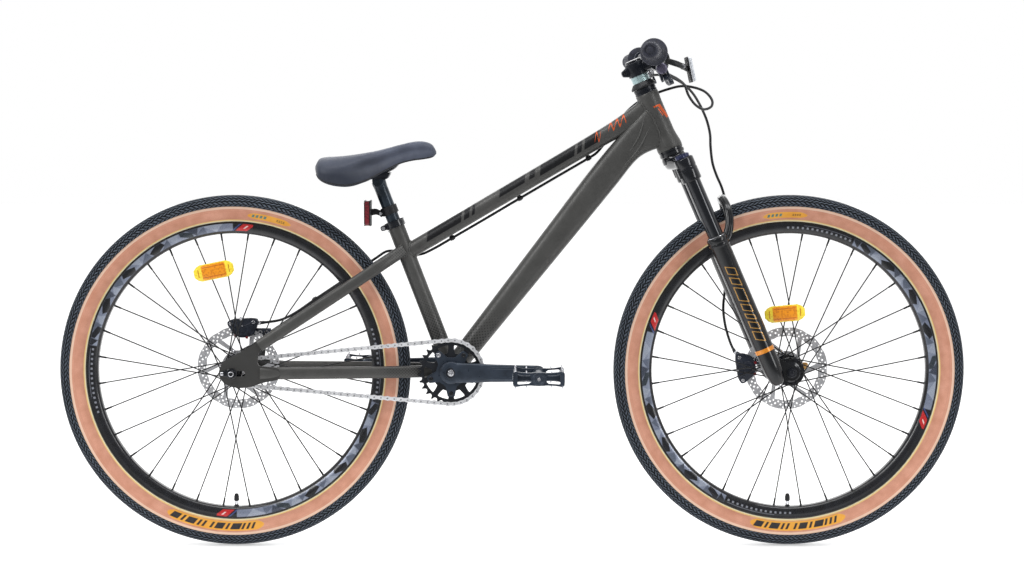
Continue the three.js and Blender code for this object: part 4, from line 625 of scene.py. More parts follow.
# Like the room, the floor is white to the camera and darkens in front of the bicycle for its reflections
camera_ray = Ex(floor_mat, floor_mat.tree.nodes.new("ShaderNodeLightPath").outputs["Is Camera Ray"])
near_floor = floor_mat.coords()[1].to(FLOOR_DARK, 1.0, -1600, -350).max(camera_ray)
pale = floor_mat.blend(floor_mat.noise(180, 3), (0.90, 0.90, 0.90), (0.94, 0.94, 0.94))
floor_mat.drive("Base Color", floor_mat.blend(near_floor, (FLOOR_DARK,) * 3, pale))
floor_mat.set("Emission Color", (1, 1, 1, 1))
floor_mat.drive("Emission Strength", near_floor * 0.42)
floor_mesh = bpy.data.meshes.new("studio_floor")
floor_mesh.from_pydata([(-14, -9, -0.0004), (14, -9, -0.0004), (14, 22, -0.0004), (-14, 22, -0.0004)], [],
                       [(0, 1, 2, 3)])
floor_mesh.materials.append(floor_mat.m)
floor = bpy.data.objects.new("studio_floor", floor_mesh)
scene.collection.objects.link(floor)


# materials
def speckle(mat, color_a, color_b, size=9.0, rough=(0.4, 0.55), grain=0.6, depth=0.02):
    """Colour drift over a soft cloud, roughness over a finer one and a fine grain in relief."""
    mat.drive("Base Color", mat.cloud(size, color_a, color_b))
    mat.gloss(size * 0.4, rough[0], rough[1])
    mat.bump(mat.noise(grain, 2), depth, 0.6)
    return mat


def anodised(name, color, rough=0.38, spread=0.14, metal=0.35, grain=0.35, **sockets):
    mat = Mat(name, color, rough, metal, **sockets)
    dark = tuple(c * (1 - spread) for c in color)
    light = tuple(c * (1 + spread) for c in color)
    return speckle(mat, dark, light, 14, (rough * 0.85, rough * 1.2), grain, 0.012)


black_alloy = anodised("black_anodised", rgb(24, 27, 34), 0.3, 0.2, 0.25, Specular_IOR_Level=0.36)
black_gloss = anodised("black_gloss", rgb(18, 21, 28), 0.17, 0.2, 0.1, Coat_Weight=0.4,
                       Specular_IOR_Level=0.4)
brake_alloy = anodised("brake_alloy", rgb(42, 47, 58), 0.3, 0.2, 0.25, Specular_IOR_Level=0.4)
knob_alloy = anodised("knob_navy", rgb(46, 52, 86), 0.26, 0.2, 0.3)
lilac_alloy = anodised("lilac_cap", rgb(92, 88, 108), 0.26, 0.12, 0.3)
ice_alloy = anodised("pale_ice", rgb(176, 200, 202), 0.28, 0.08, 0.5)
brass_alloy = anodised("pale_brass", rgb(196, 150, 88), 0.34, 0.15, 0.8)
red_alloy = anodised("dark_red", rgb(120, 30, 34), 0.35, 0.2, 0.4)
plastic = speckle(Mat("moulded_black", rgb(22, 23, 26), 0.46, Specular_IOR_Level=0.36), rgb(18, 19, 22),
                  rgb(27, 28, 32), 8, (0.38, 0.54), 0.8, 0.03)
steel = anodised("bare_steel", rgb(196, 197, 202), 0.26, 0.08, 0.92, 0.3)
bright = anodised("bright_steel", rgb(222, 223, 228), 0.16, 0.05, 0.95, 0.4)


def brushed(name, color, rough):
    """Steel turned or ground round the y axis: fine rings in relief and in shade."""
    mat = Mat(name, color, rough, 0.5)
    radius, angle = mat.polar()
    rings = mat.noise(1.0, 2, mat.combine(radius * 2.2, angle * 6.0, 0.0))
    mat.drive("Base Color", mat.blend(rings.to(0, 1, 0.3, 0.7), tuple(c * 0.86 for c in color), color))
    mat.drive("Roughness", rings.to(rough * 0.8, rough * 1.35, 0.3, 0.7))
    mat.bump(rings, 0.01, 0.5)
    return mat


rotor_steel = brushed("rotor_steel", rgb(205, 206, 210), 0.28)


def rubber(name, color, rough=0.78, size=5):
    return speckle(Mat(name, color, rough, Specular_IOR_Level=0.34), tuple(c * 0.8 for c in color),
                   tuple(c * 1.25 for c in color), size,
                   (rough * 0.88, min(rough * 1.12, 1)), 0.7, 0.05)


tread_rubber = rubber("tread_rubber", rgb(74, 82, 93), 0.66)
# Painted shade: a darker copy of the tread rubber, for the floor between the blocks and the blocks' sides; the block
# tops keep the lighter copy
groove_shade_rubber = rubber("groove_shade_rubber", rgb(20, 22, 26), 0.8)
hose_plastic = rubber("hose_jacket", rgb(22, 24, 28), 0.4)


def sidewall_material(name, labels):
    """Tan casing between two cream lines, and amber panels with plain marks."""
    mat = Mat(name, rgb(212, 152, 126), 0.72)
    radius, angle = mat.polar()
    cloud = mat.noise(22, 4).to(0, 1, 0.3, 0.7)
    base = mat.blend(cloud, rgb(196, 136, 110), rgb(216, 158, 134))
    weave = mat.noise(1.0, 2, mat.combine(radius * 0.7 + angle * 700.0, angle * 1400.0, 0.0))
    base = mat.blend(weave.to(0, 0.5, 0.4, 0.8), base, rgb(178, 116, 92))
    fine = mat.noise(1.0, 2, mat.combine(radius * 1.4, angle * 900.0, 0.0))
    base = mat.blend(radius.between(304.6, 305.3, 0.3) * 0.35, base, rgb(176, 114, 88))
    base = mat.blend(radius.step(309.6, 0.6) * 0.8, base, rgb(240, 208, 184))
    for panel in labels:
        across = ((radius - panel["middle"]) / panel["high"]).abs()
        along = ((angle - panel["at"]) / panel["half"]).abs()
        # The ends are cut round
        reach = along + (across ** 2.0) * (0.02 / panel["half"] * 0.35)
        inside = (1 - reach.step(1, 0.012)) * (1 - across.step(1, 0.06))
        base = mat.blend(inside, base, mat.blend(cloud, rgb(222, 154, 48), rgb(234, 170, 66)))
        for a, b, lean, low, high, tint in panel["marks"]:
            skew = angle + (radius - panel["middle"]) * lean
            bar = skew.between(a, b, 0.0003) * radius.between(low, high, 0.25)
            base = mat.blend(bar, base, tint)
    base = mat.blend(radius.step(288.8, 0.5),
                     mat.blend(radius.step(287.2, 0.4), rgb(250, 240, 206), rgb(240, 206, 128)), base)
    # Painted shade: the casing turns dark brown next to the rim, for the shadowed gap between tyre and rim
    base = mat.blend(radius.step(285.4, 0.3), rgb(60, 46, 36), base)
    mat.drive("Base Color", base)
    mat.gloss(4, 0.6, 0.8)
    mat.bump(mat.noise(0.8, 2), 0.05, 0.5)
    mat.bump(weave, 0.08, 0.5)
    mat.bump(fine, 0.05, 0.5)
    return mat


def marks(at, half, middle, high, rows):
    """Plain slanted bars along a panel. A row is from, to, low, high, lean and tint; the first four are shares of
    the panel's half length and half height."""
    return dict(at=at, half=half, middle=middle, high=high, marks=[
        (at + a * half, at + b * half, lean, middle + low * high, middle + top * high, tint)
        for a, b, low, top, lean, tint in rows])


def rim_material(name, start):
    """Black rim. Twice round it runs a grey-blue band with angular breaks, a red patch before it and ticks behind."""
    mat = Mat(name, rgb(24, 26, 30), 0.26, 0.2, Coat_Weight=0.4)
    radius, angle = mat.polar()
    base = mat.cloud(16, rgb(16, 17, 21), rgb(26, 28, 34))
    along = ((angle - start + 2.0) * 2).math("FRACT")
    depth = (radius - 274.5) / 7.0
    band = along.between(0.044, 0.485, 0.0012) * depth.between(-1.0, 1.0, 0.06)
    tone = mat.noise(26, 3).to(0, 1, 0.35, 0.65)
    base = mat.blend(band, base, mat.blend(tone, rgb(118, 126, 146), rgb(140, 148, 166)))

    def wedge(base, middle, lean, room, tint):
        away = (along - middle - depth * lean).abs()
        return mat.blend(band * (1 - ((away - room) * 400.0 + 0.5).max(0.0).min(1.0)), base, tint)

    # Wedges in greys: centre, half length at the wide edge, which edge is wide, tint
    for middle, half, edge, tint in (
            (0.085, 0.020, 1, rgb(156, 164, 180)), (0.112, 0.012, -1, rgb(96, 104, 122)),
            (0.130, 0.012, 1, rgb(64, 70, 84)),
            (0.178, 0.014, 1, rgb(150, 158, 174)), (0.196, 0.010, -1, rgb(88, 96, 112)),
            (0.250, 0.013, -1, rgb(92, 100, 118)),
            (0.272, 0.010, 1, rgb(152, 160, 176)), (0.334, 0.014, 1, rgb(92, 100, 116)),
            (0.352, 0.012, -1, rgb(152, 160, 176)),
            (0.366, 0.010, 1, rgb(70, 76, 90)), (0.424, 0.013, -1, rgb(150, 158, 174)),
            (0.440, 0.010, 1, rgb(88, 96, 112)),
            (0.476, 0.010, 1, rgb(36, 39, 46))):
        base = wedge(base, middle, 0.004 * edge, (depth * edge + 1.0) * (half * 0.56) + half * 0.02, tint)
    # Dark notches: centre, half length, lean, tint
    for middle, half, lean, tint in ((0.149, 0.014, 0.010, rgb(50, 58, 66)),
                                     (0.221, 0.020, -0.006, rgb(20, 22, 26)),
                                     (0.303, 0.019, 0.007, rgb(22, 24, 29)), (0.392, 0.020, -0.005,
                                             rgb(20, 22, 26)),
                                     (0.455, 0.014, 0.008, rgb(24, 26, 32))):
        base = wedge(base, middle, lean, (1.0 - depth.abs() * 0.62) * half, tint)
    red = along + depth * 0.009
    base = mat.blend(red.between(0.004, 0.030, 0.0008) * depth.between(-0.95, 0.95, 0.06), base,
                     rgb(196, 42, 44))
    base = mat.blend(red.between(0.014, 0.018, 0.0008) * depth.between(-0.3, 0.5, 0.06), base,
                     rgb(240, 214, 210))
    base = mat.blend(red.between(0.034, 0.038, 0.0008) * depth.between(-0.95, 0.95, 0.06), base,
                     rgb(64, 76, 128))
    ticks = (along * 92.0).math("FRACT").between(0.2, 0.62, 0.05) * along.between(0.490, 0.640, 0.001)
    base = mat.blend(ticks * depth.between(-0.38, 0.18, 0.06) * 0.8, base, rgb(150, 154, 164))
    base = mat.blend(along.between(0.492, 0.600, 0.001) * depth.between(0.48, 0.62, 0.06) * 0.7, base,
                     rgb(126, 130, 142))
    mat.drive("Base Color", base)
    wear = mat.noise(0.9, 3)
    mat.drive("Roughness", wear.to(0.2, 0.36, 0.3, 0.7))
    mat.bump(wear, 0.012, 0.4)
    return mat


def lens_material(name, color, edge, period=4.2, painted_glow=0.12):
    """Moulded reflector: small hexagonal prisms under a clear face."""
    mat = Mat(name, color, 0.16, 0.0, Coat_Weight=0.7, IOR=1.5)
    cells = mat.cells(period)
    mat.drive("Base Color", mat.blend(cells.to(0, 1, 0.1, 0.6), edge, color))
    mat.drive("Roughness", mat.noise(6, 2).to(0.1, 0.22, 0.3, 0.7))
    mat.bump(cells, 0.25, 0.6)
    # Painted light: the lens glows a little through its emission, though a reflector gives no light of its own
    mat.set("Emission Color", (*color, 1))
    mat.set("Emission Strength", painted_glow)
    return mat


amber_lens = lens_material("amber_lens", rgb(236, 150, 24), rgb(196, 104, 12))
yellow_lens = lens_material("yellow_lens", rgb(250, 226, 66), rgb(232, 190, 40), 3.6)
red_lens = lens_material("red_lens", rgb(124, 24, 38), rgb(66, 8, 18), 3.8, 0.03)
clear_lens = lens_material("clear_lens", rgb(222, 226, 232), rgb(176, 182, 190), 3.8, 0.2)
amber_dark = lens_material("amber_dark", rgb(196, 96, 10), rgb(150, 66, 6), 3.0, 0.05)


# wheels, round their own centres
SPOKES = 16
CARCASS = [(278.2, 12.3), (284.9, 12.9), (287.4, 14.4), (290.5, 18.0), (295.0, 22.2), (300.5, 25.2),
           (306.0, 26.7),
           (311.4, 27.0)]
CROWN = [(314.2, 27.6), (318.6, 27.0), (323.0, 24.6), (327.0, 20.6), (330.2, 15.0), (332.2, 8.0),
         (332.9, 0.0)]


def crown_point(v):
    """Point and outward normal on the tread band; v runs from -1 to 1 across it."""
    table = [(r, -y) for r, y in CROWN[:-1]] + [CROWN[-1]] + [(r, y) for r, y in reversed(CROWN[:-1])]
    x = clamp((v + 1) / 2) * (len(table) - 1)
    i = min(int(x), len(table) - 2)
    k = x - i
    r0, y0 = table[i]
    r1, y1 = table[i + 1]
    tangent = Vector((r1 - r0, y1 - y0))
    tangent.normalize()
    return Vector((r0 + (r1 - r0) * k, y0 + (y1 - y0) * k)), Vector((tangent.y, -tangent.x))


def add_tyre(name, body, centre, side_mat):
    shape = Shape()
    outer = CARCASS + CROWN
    inner = [(328.2, 0.0), (327.0, 9.0), (322.0, 18.0), (312.0, 23.0), (300.0, 21.0), (290.0, 14.6),
             (279.0, 9.6)]
    profile = outer + [(r, -y) for r, y in reversed(outer[:-1])]
    loop = profile + [(r, -y) for r, y in reversed(inner)] + inner[1:]
    # The tread band between the blocks takes the darker rubber, painted shade
    mats = [0] * (len(CARCASS) - 1) + [2] * (2 * len(CROWN) - 1)
    shape.turned(loop, 144, mats=mats + [0] * (len(loop) - len(mats)))
    # Long slanted blocks in rows across the tread, in a herringbone
    rows = (-0.93, -0.77, -0.59, -0.41, -0.24, -0.08, 0.08, 0.24, 0.41, 0.59, 0.77, 0.93)
    count = 216
    for r, v in enumerate(rows):
        half_v = 0.076 if abs(v) > 0.7 else 0.084
        slant = (1 if r % 2 else -1) * (0.42 if abs(v) < 0.7 else 0.34)
        tall = 2.7 if abs(v) < 0.5 else (2.6 if abs(v) < 0.8 else 2.0)
        for k in range(count):
            a0 = (k + (0.5 if r % 2 else 0.0)) / count
            verts = []
            for lift, shrink in ((-0.6, 1.0), (tall, 0.86)):
                for dv, da in ((-1, -1), (1, -1), (1, 1), (-1, 1)):
                    point, normal = crown_point(v + dv * half_v * shrink)
                    place = point + normal * lift
                    radius = min(place.x, 335.45)
                    a = TURN * (a0 + (da * 0.31 * shrink + dv * slant) / count)
                    verts.append((radius * math.cos(a), place.y, radius * math.sin(a)))
            # Block tops take the lighter tread rubber; the block sides take the darker copy, painted shade
            shape.put(verts, [(4, 5, 6, 7)], 1)
            shape.put(verts, [(0, 1, 5, 4), (1, 2, 6, 5), (2, 3, 7, 6), (3, 0, 4, 7)], 2)
    shape.build(name, body, [side_mat, tread_rubber, groove_shade_rubber], "tyre_rubber", name, local=centre,
                sharp=38)


def add_rim(name, body, centre, mat):
    shape = Shape()
    half = [(284.5, 14.6), (283.8, 15.4), (283.0, 15.5), (280.5, 14.9), (278.0, 15.2), (272.0, 14.4),
            (266.5, 12.2),
            (263.4, 9.4), (262.1, 6.4), (262.0, 0.0)]
    inner = [(276.4, 0.0), (276.4, 12.6), (279.5, 13.3), (283.8, 13.0)]
    profile = half + [(r, -y) for r, y in reversed(half[:-1])]
    profile += [(r, -y) for r, y in reversed(inner)] + inner[1:]
    shape.turned(profile, 144)
    # A raised lip at every spoke hole
    for k in range(2 * SPOKES):
        a = TURN * (k + 0.5) / (2 * SPOKES)
        out = spot(1, a)
        at = out * 262.3 + Y * (-3 if k % 2 == 0 else 3)
        shape.stack(at, -out, [(-0.8, 3.4), (0.3, 3.4), (0.8, 2.6), (0.8, 1.4)], 10, mat=1, caps=False)
    shape.build(name, body, [mat, black_gloss], "rim_alloy", name, local=centre, sharp=30)


spoke_black = anodised("spoke_black", rgb(17, 18, 21), 0.34, 0.2, 0.3)


def add_spokes(name, body, centre, side, flange, phase):
    """Spokes of one flange, each three places ahead of or behind its hole, so that each crosses three others."""
    shape = Shape()
    for k in range(SPOKES):
        a = TURN * k / SPOKES + phase
        lean, outboard = (TURN * 3 / SPOKES, 1.1) if k % 2 else (-TURN * 3 / SPOKES, -0.6)
        root = spot(SPOKE_CIRCLE, a, side * (flange + 1.4) + side * outboard * 0.5)
        end = spot(RIM_INSIDE, a + lean, side * 3.0)
        along = (end - root).normalized()
        shape.rod(root, end - along * 11, 1.2, 8, caps=False)
        shape.sweep([root - Y * side * 4.6, root - Y * side * 2.6, root - Y * side * 0.9 + along * 0.4,
                     root + along * 2.4],
                    1.05, 8)
        shape.stack(root - Y * side * 5.4, Y * side, [(0, 1.2), (0.5, 2.1), (1.1, 2.1)], 10)
        shape.stack(end - along * 13.5, along, [(0, 1.1), (0.8, 1.75), (5.5, 1.85), (12.6, 1.95), (14, 1.9)],
                    8, mat=1)
    shape.build(name, body, [spoke_black, spoke_black], "spoke_steel", name, local=centre, sharp=50)


def add_hub(name, body, centre, left, face, spacing, phase, rear):
    shape = Shape()
    end = spacing / 2 - 0.3
    shell = [(13.0, 0.0), (13.0, left - 9), (14.5, left - 6.5), (17.5, left - 4.2), (18.5, left - 3.9)]
    right = [(13.0, -27.5), (14.5, -30.2), (17.5, -32.4), (18.5, -32.6)]
    profile = [(5.7, -end), (9.0, -end), (9.5, -end + 0.8)]
    if rear:
        profile += [(9.5, -55.5), (14.6, -55.2), (14.8, -54.6), (14.8, -38.0)]
    else:
        profile += [(9.5, -40.5), (14.0, -40.0), (16.5, -38.2)]
    profile += [(20.0, -36.6)] + [(r, y) for r, y in reversed(right)] + shell
    profile += [(20.0, left), (20.0, face - 0.4), (19.4, face), (9.5, face), (9.5, end - 0.8), (9.0, end),
                (5.7, end)]
    shape.turned(profile, 40)
    for first, low, high in ((0, -36.4, -33.2), (0.5, left - 3.3, left - 0.1)):
        spots = [spot(SPOKE_CIRCLE, TURN * (k + first) / SPOKES + phase) for k in range(SPOKES)]
        shape.plate(circle(27.0, 48), [circle(18, 32), *(circle(1.5, 8, at.x, at.z) for at in spots)], low,
                    high)
    for low, high in ((-4.5, -3.2), (3.2, 4.5)):
        shape.turned([(12.5, low), (13.5, low), (13.5, high), (12.5, high)], 40, mat=1)
    shape.build(name, body, [black_gloss, red_alloy], "black_alloy", name, local=centre, sharp=34)


def add_rotor(name, body, centre, plane):
    shape = Shape()
    outline = []
    for k in range(216):
        a = TURN * k / 216
        r = 79.6 - 1.3 * (0.5 + 0.5 * math.cos(12 * a)) ** 3
        outline.append((r * math.cos(a), r * math.sin(a)))
    holes = []
    step = TURN / 6
    for k in range(6):
        middle = step * (k + 0.5)
        window = []
        for i in range(13):
            a = middle - step * 0.43 + step * 0.86 * i / 12
            window.append((62.4 + 0.9 * math.cos(TURN * 3 * i / 12), a + 0.10))
        for i in range(9):
            a = middle + step * 0.38 - step * 0.76 * i / 8
            window.append((33.4, a - 0.24))
        holes.append([(r * math.cos(a), r * math.sin(a)) for r, a in window])
    for row, (r, size, shift) in enumerate(((66.2, 1.75, 0.0), (71.2, 1.9, 0.5), (76.0, 1.6, 0.0))):
        for k in range(42):
            if (k + row * 2) % 7 == 6:
                continue
            a = TURN * (k + shift) / 42
            holes.append(circle(size, 10, r * math.cos(a), r * math.sin(a)))
    holes.append(circle(16.5, 32))
    shape.plate(outline, holes, plane - 0.95, plane + 0.95)
    shape.turned([(15.2, plane + 0.9), (30.5, plane + 0.9), (30.5, plane + 2.6), (29.8, plane + 3.2),
                  (15.2, plane + 3.2)],
                 48, mat=1)
    for k in range(6):
        a = step * (k + 0.25)
        at = spot(22.2, a, plane + 3.0)
        shape.stack(at, Y, [(0, 4.2), (1.0, 4.2), (1.5, 3.6), (1.5, 2.0), (0.5, 1.8)], 16, mat=2)
        rivet = spot(31.6, a + 0.52, plane - 1.6)
        shape.stack(rivet, Y, [(0, 2.2), (0.5, 3.0), (3.2, 3.0), (3.8, 2.2)], 14, mat=2)
    shape.build(name, body, [rotor_steel, black_alloy, bright], "bare_steel", name, local=centre, sharp=40)


def add_tube(name, body, centre):
    shape = Shape()
    inner = [(308.0 + 16.0 * math.cos(TURN * k / 12), 16.0 * math.sin(TURN * k / 12)) for k in range(12)]
    shape.turned(inner, 96)
    down = Vector((0, 0, -1))
    shape.stack(down * 290, -down, [(0, 3.1), (27.5, 3.1), (27.6, 4.6), (29.8, 4.6), (29.9, 3.1), (40, 3.1)],
                20)
    shape.stack(down * 258.2, -down, [(-2.0, 3.0), (0.0, 3.9), (2.2, 3.9), (2.3, 3.2), (5.5, 3.2)], 20, mat=1)
    cap = [(0, 3.4), (1.2, 4.6), (10.5, 4.3), (13.5, 3.5), (14.6, 1.8)]
    shape.stack(down * 252.5, -down, cap, 24)
    for k in range(12):
        a = TURN * k / 12
        out = Vector((math.cos(a), math.sin(a), 0))
        shape.rod(down * 251.0 + out * 4.2, down * 243.2 + out * 4.0, 0.7, 6)
    shape.build(name, body, [plastic, bright], "tube_rubber", name, local=centre, sharp=35)


def add_wheel_reflector(name, body, centre, radius, angle):
    """Long amber panel with yellow ends and dark ribs, held between spokes."""
    depth = -mix(37.9, 3.0, (radius - SPOKE_CIRCLE) / (RIM_INSIDE - SPOKE_CIRCLE))
    shape = Shape()

    def outline(half, high, end):
        corner = [(half - end, high), (half - end * 0.45, high * 0.8), (half, high * 0.42)]
        right = [(x, -z) for x, z in corner] + corner[::-1]
        return [(-x, z) for x, z in right[2::-1]] + right + [(-x, z) for x, z in right[:2:-1]]
    shape.plate(outline(38.3, 15.8, 13), [], -3.4, 3.4, mat=1)
    for sign in (-1, 1):
        def layer(low, high):
            return sorted((sign * low, sign * high))
        shape.plate(outline(36.9, 14.4, 12), [], *layer(3.2, 4.3), mat=1)
        panel = [(-23, -12.6), (-19, -14.0), (19, -14.0), (23, -12.6), (23, 12.6), (19, 14.0), (-19, 14.0),
                 (-23, 12.6)]
        shape.plate(panel, [], *layer(4.2, 4.9))
        for x, z, half_x, half_z, top in ((0, -9.4, 21, 0.6, 5.15), (0, 9.4, 21, 0.6, 5.15),
                                          (-29.5, 0, 0.6, 7.5, 4.8),
                                          (29.5, 0, 0.6, 7.5, 4.8)):
            low, high = layer(4.7 if top > 5 else 4.2, top)
            shape.box((x - half_x, low, z - half_z), (x + half_x, high, z + half_z), mat=2)
    turn_by = Matrix.Rotation(-(angle - math.pi / 2), 4, "Y")
    place = Matrix.Translation((radius * math.cos(angle), depth, radius * math.sin(angle))) @ turn_by
    whole = Shape().merge(shape, place)
    whole.build(name, body, [amber_lens, yellow_lens, amber_dark], "amber_lens", name, local=centre, sharp=30,
                       bevel=0.35)


def turns(px):
    """Turns round the wheel, from +x towards +z, for an angle in degrees clockwise from the top."""
    return ((90 - px) / 360) % 1.0


PHASE = TURN / SPOKES / 4
INK_MARK, TEAL_MARK = rgb(34, 31, 33), rgb(86, 124, 118)
WIDE_MARKS = [(x, x + 0.17 + 0.02 * (k % 2), -0.66, 0.66, 0.00028, INK_MARK) for k,
              x in enumerate((-0.9, -0.58, 0.02, 0.34))]
WIDE_MARKS += [(x, x + 0.05, -0.66, 0.66, 0.00028, INK_MARK) for x in (-0.68, -0.34, -0.24, -0.08, 0.24,
                                                                       0.56, 0.66,
                                                                       0.76)]
SMALL_MARKS = [(x, x + 0.11, -0.44, 0.5, 0.00016, TEAL_MARK) for x in (0.15, 0.33, 0.51, 0.69)]
SMALL_MARKS += [(x, x + 0.07, low, low + 0.2, 0.0, INK_MARK) for x in (-0.7, -0.6, -0.5,
                                                                       -0.4) for low in (-0.34, 0.08)]
rear_side = sidewall_material("rear_casing", [
    marks(turns(187.6), 0.0505, 298.2, 8.2, WIDE_MARKS), marks(turns(13.3), 0.0225, 298.4, 5.6, SMALL_MARKS)])
front_side = sidewall_material("front_casing", [
    marks(turns(176.5), 0.0495, 298.2, 8.2, WIDE_MARKS), marks(turns(-2.0), 0.0225, 298.4, 5.6, SMALL_MARKS)])

for tag, centre, left, face, spacing, plane, where, angle, casing, shift in (
        ("rear", REAR, 38.5, 50.8, 135, REAR_DISC, 195, math.radians(101.5), rear_side, 82.5 / 360),
        ("front", FRONT, 27.5, 36.8, 100, FRONT_DISC, 111, math.radians(95.2), front_side, 156.5 / 360)):
    body = tag + "_wheel"
    add_tyre(tag + "_tyre", body, centre, casing)
    add_rim(tag + "_rim", body, centre, rim_material(tag + "_rim_finish", shift))
    add_spokes(tag + "_spokes_right", body, centre, -1, 36.5, PHASE)
    add_spokes(tag + "_spokes_left", body, centre, 1, left, PHASE + TURN / SPOKES / 2)
    add_hub(tag + "_hub", body, centre, left, face, spacing, PHASE, tag == "rear")
    add_rotor(tag + "_rotor", body, centre, plane)
    add_tube(tag + "_inner_tube", body, centre)
    add_wheel_reflector(tag + "_wheel_reflector", body, centre, where, angle)


# frame
TOP_LINE = (seat(SEAT_TUBE * 0.791), steer(0, 0, HEAD_TUBE * 0.74))
STAY_LINE = (REAR + Vector((52.6, 0, 52.5)), seat(SEAT_TUBE * 0.816))
MATTE = rgb(71, 71, 70)
INK = rgb(18, 19, 22)
FLAME = rgb(214, 92, 38)


def dots(u, v, size, cut):
    """Diamond lattice of round dots; cut is the radius share, a number or an expression."""
    a, b = (u + v) / size, (u - v) / size
    x, y = a.math("FRACT") - 0.5, b.math("FRACT") - 0.5
    away = (x * x + y * y).math("SQRT")
    return ((cut - away) * 14 + 0.5).max(0.0).min(1.0)


def painted(name, extra=None):
    mat = Mat(name, MATTE, 0.42, 0.28, Specular_IOR_Level=0.4)
    cloud = mat.noise(34, 4).to(0, 1, 0.35, 0.65)
    base = mat.blend(cloud, rgb(66, 66, 65), rgb(75, 75, 74))
    flake = mat.noise(0.7, 2).to(0, 1, 0.4, 0.62)
    base = mat.blend(flake * 0.25, base, rgb(104, 103, 101))
    if extra:
        base = extra(mat, base)
    mat.drive("Base Color", base)
    mat.gloss(5, 0.36, 0.48)
    mat.bump(mat.noise(0.5, 2), 0.012, 0.5)
    return mat


def top_tube_art(mat, base):
    d = (TOP_LINE[1] - TOP_LINE[0]).normalized()
    u = mat.along(TOP_LINE[0], d)
    v = mat.along(TOP_LINE[0], Vector((-d.z, 0, d.x)))
    lean = u - v * 0.7
    for a, b, low, high in ((46, 122, -2, 20), (128, 140, -2, 20), (146, 152, -2, 20), (206, 262, 1, 20),
                            (272, 284, 1, 20), (296, 372, -3, 20), (378, 388, -3, 20), (394, 424, -3, 20)):
        base = mat.blend(lean.between(a, b, 0.5) * v.between(low, high, 0.5), base, INK)
    # Loose orange waves: from, to, middle, height, length of a wave
    for a, b, middle, height, wave in ((417, 430, 6, 8, 11), (447, 486, 9, 6.5, 14)):
        along = u - v * 0.6
        curve = (along * (TURN / wave)).math("SINE") * height + middle
        stroke = 1 - (v - curve).abs().step(2.4, 0.8)
        base = mat.blend(stroke * 0.9 * along.between(a, b, 0.6), base, FLAME)
    return base


def tube_dots(start, direction, first, last, size, back=False):
    def extra(mat, base):
        d = direction.normalized()
        u = mat.along(start, d)
        v = mat.along(start, Vector((-d.z, 0, d.x)))
        fade = u.to(0.40, 0.06, first, last) if not back else u.to(0.06, 0.40, first, last)
        mask = dots(u, v, size, fade) * u.between(min(first, last) - 8, max(first, last), 4)
        return mat.blend(mask * 0.72, base, INK)
    return extra


def head_art(mat, base):
    s, t = mat.along(HEAD, AHEAD), mat.along(HEAD, UP)
    lean = s + t * 0.25
    for a, b, low, high in ((30.5, 36, 58, 86), (27, 28.6, 64, 80), (22, 36, 84, 87)):
        base = mat.blend(lean.between(a, b, 0.5) * t.between(low, high, 0.6), base, FLAME)
    return base


paint_plain = painted("frame_paint_plain")
paint_top = painted("frame_paint_top", top_tube_art)
paint_head = painted("frame_paint_head", head_art)
paint_seat = painted("frame_paint_seat", tube_dots(BRACKET, SEAT_UP, 70, 172, 6.6))
down_dir = (steer(0, 0, 75.9) - BRACKET).normalized()
paint_down = painted("frame_paint_down", tube_dots(BRACKET, down_dir, 48, 150, 7.6))
paint_stay = painted("frame_paint_stay", tube_dots(BRACKET, Vector((-1, 0, 0)), 60, 150, 5.6))
# Painted shade: the dropout plates take the frame paint darkened halfway to dark grey, as if their flat faces sat in
# shade
paint_drop_shaded = painted("frame_paint_dropout_shaded", lambda mat, base: mat.blend(0.5, base, rgb(42, 42, 42)))


def tube_rings(line, table, sides=32, square=0.9, side_shift=None):
    a, b = line
    d = (b - a).normalized()
    up = Vector((-d.z, 0, d.x))
    rings = []
    for row in table:
        share, high, wide = row[:3]
        q = row[3] if len(row) > 3 else square
        centre = a.lerp(b, share)
        if side_shift:
            centre = centre + Y * side_shift(share)
        rings.append(ring(centre, up * high, Y * wide, sides, q))
    return rings


def table_at(table, x):
    for (a, p), (b, q) in zip(table, table[1:]):
        if x <= b:
            k = (x - a) / (b - a)
            return p + (q - p) * k
    return table[-1][1]


def meet(rings, inside, from_end=False):
    """Where each line along a lofted tube enters a region, as a closed loop of points."""
    loop = []
    order = list(range(len(rings)))
    if from_end:
        order.reverse()
    for j in range(len(rings[0])):
        hit = None
        for a, b in zip(order, order[1:]):
            p, q = rings[a][j], rings[b][j]
            if inside(p) and not inside(q):
                for _ in range(18):
                    m = (p + q) / 2
                    if inside(m):
                        p = m
                    else:
                        q = m
                hit = q
                break
        if hit is not None:
            loop.append(hit)
    return loop


def bead(shape, loop, radius=2.3, pitch=3.1, mat=0):
    """Weld bead of overlapping ripples along a loop."""
    if len(loop) < 6:
        return
    closed = loop + [loop[0]]
    length = sum((b - a).length for a, b in zip(closed, closed[1:]))
    steps = int(length / 0.8)
    path, j, run = [], 0, 0.0
    for i in range(steps):
        want = length * i / steps
        while run + (closed[j + 1] - closed[j]).length < want and j < len(closed) - 2:
            run += (closed[j + 1] - closed[j]).length
            j += 1
        span = max((closed[j + 1] - closed[j]).length, 1e-6)
        path.append(closed[j].lerp(closed[j + 1], clamp((want - run) / span)))
    ripples = max(round(length / pitch), 1)
    shape.sweep(path, lambda k: radius * (0.86 + 0.14 * abs(math.sin(math.pi * ripples * k))), 8, mat,
                closed=True)


def from_axis(origin, direction, radius):
    d = direction.normalized()
    def inside(p):
        w = p - origin
        return (w - d * w.dot(d)).length < radius
    return inside


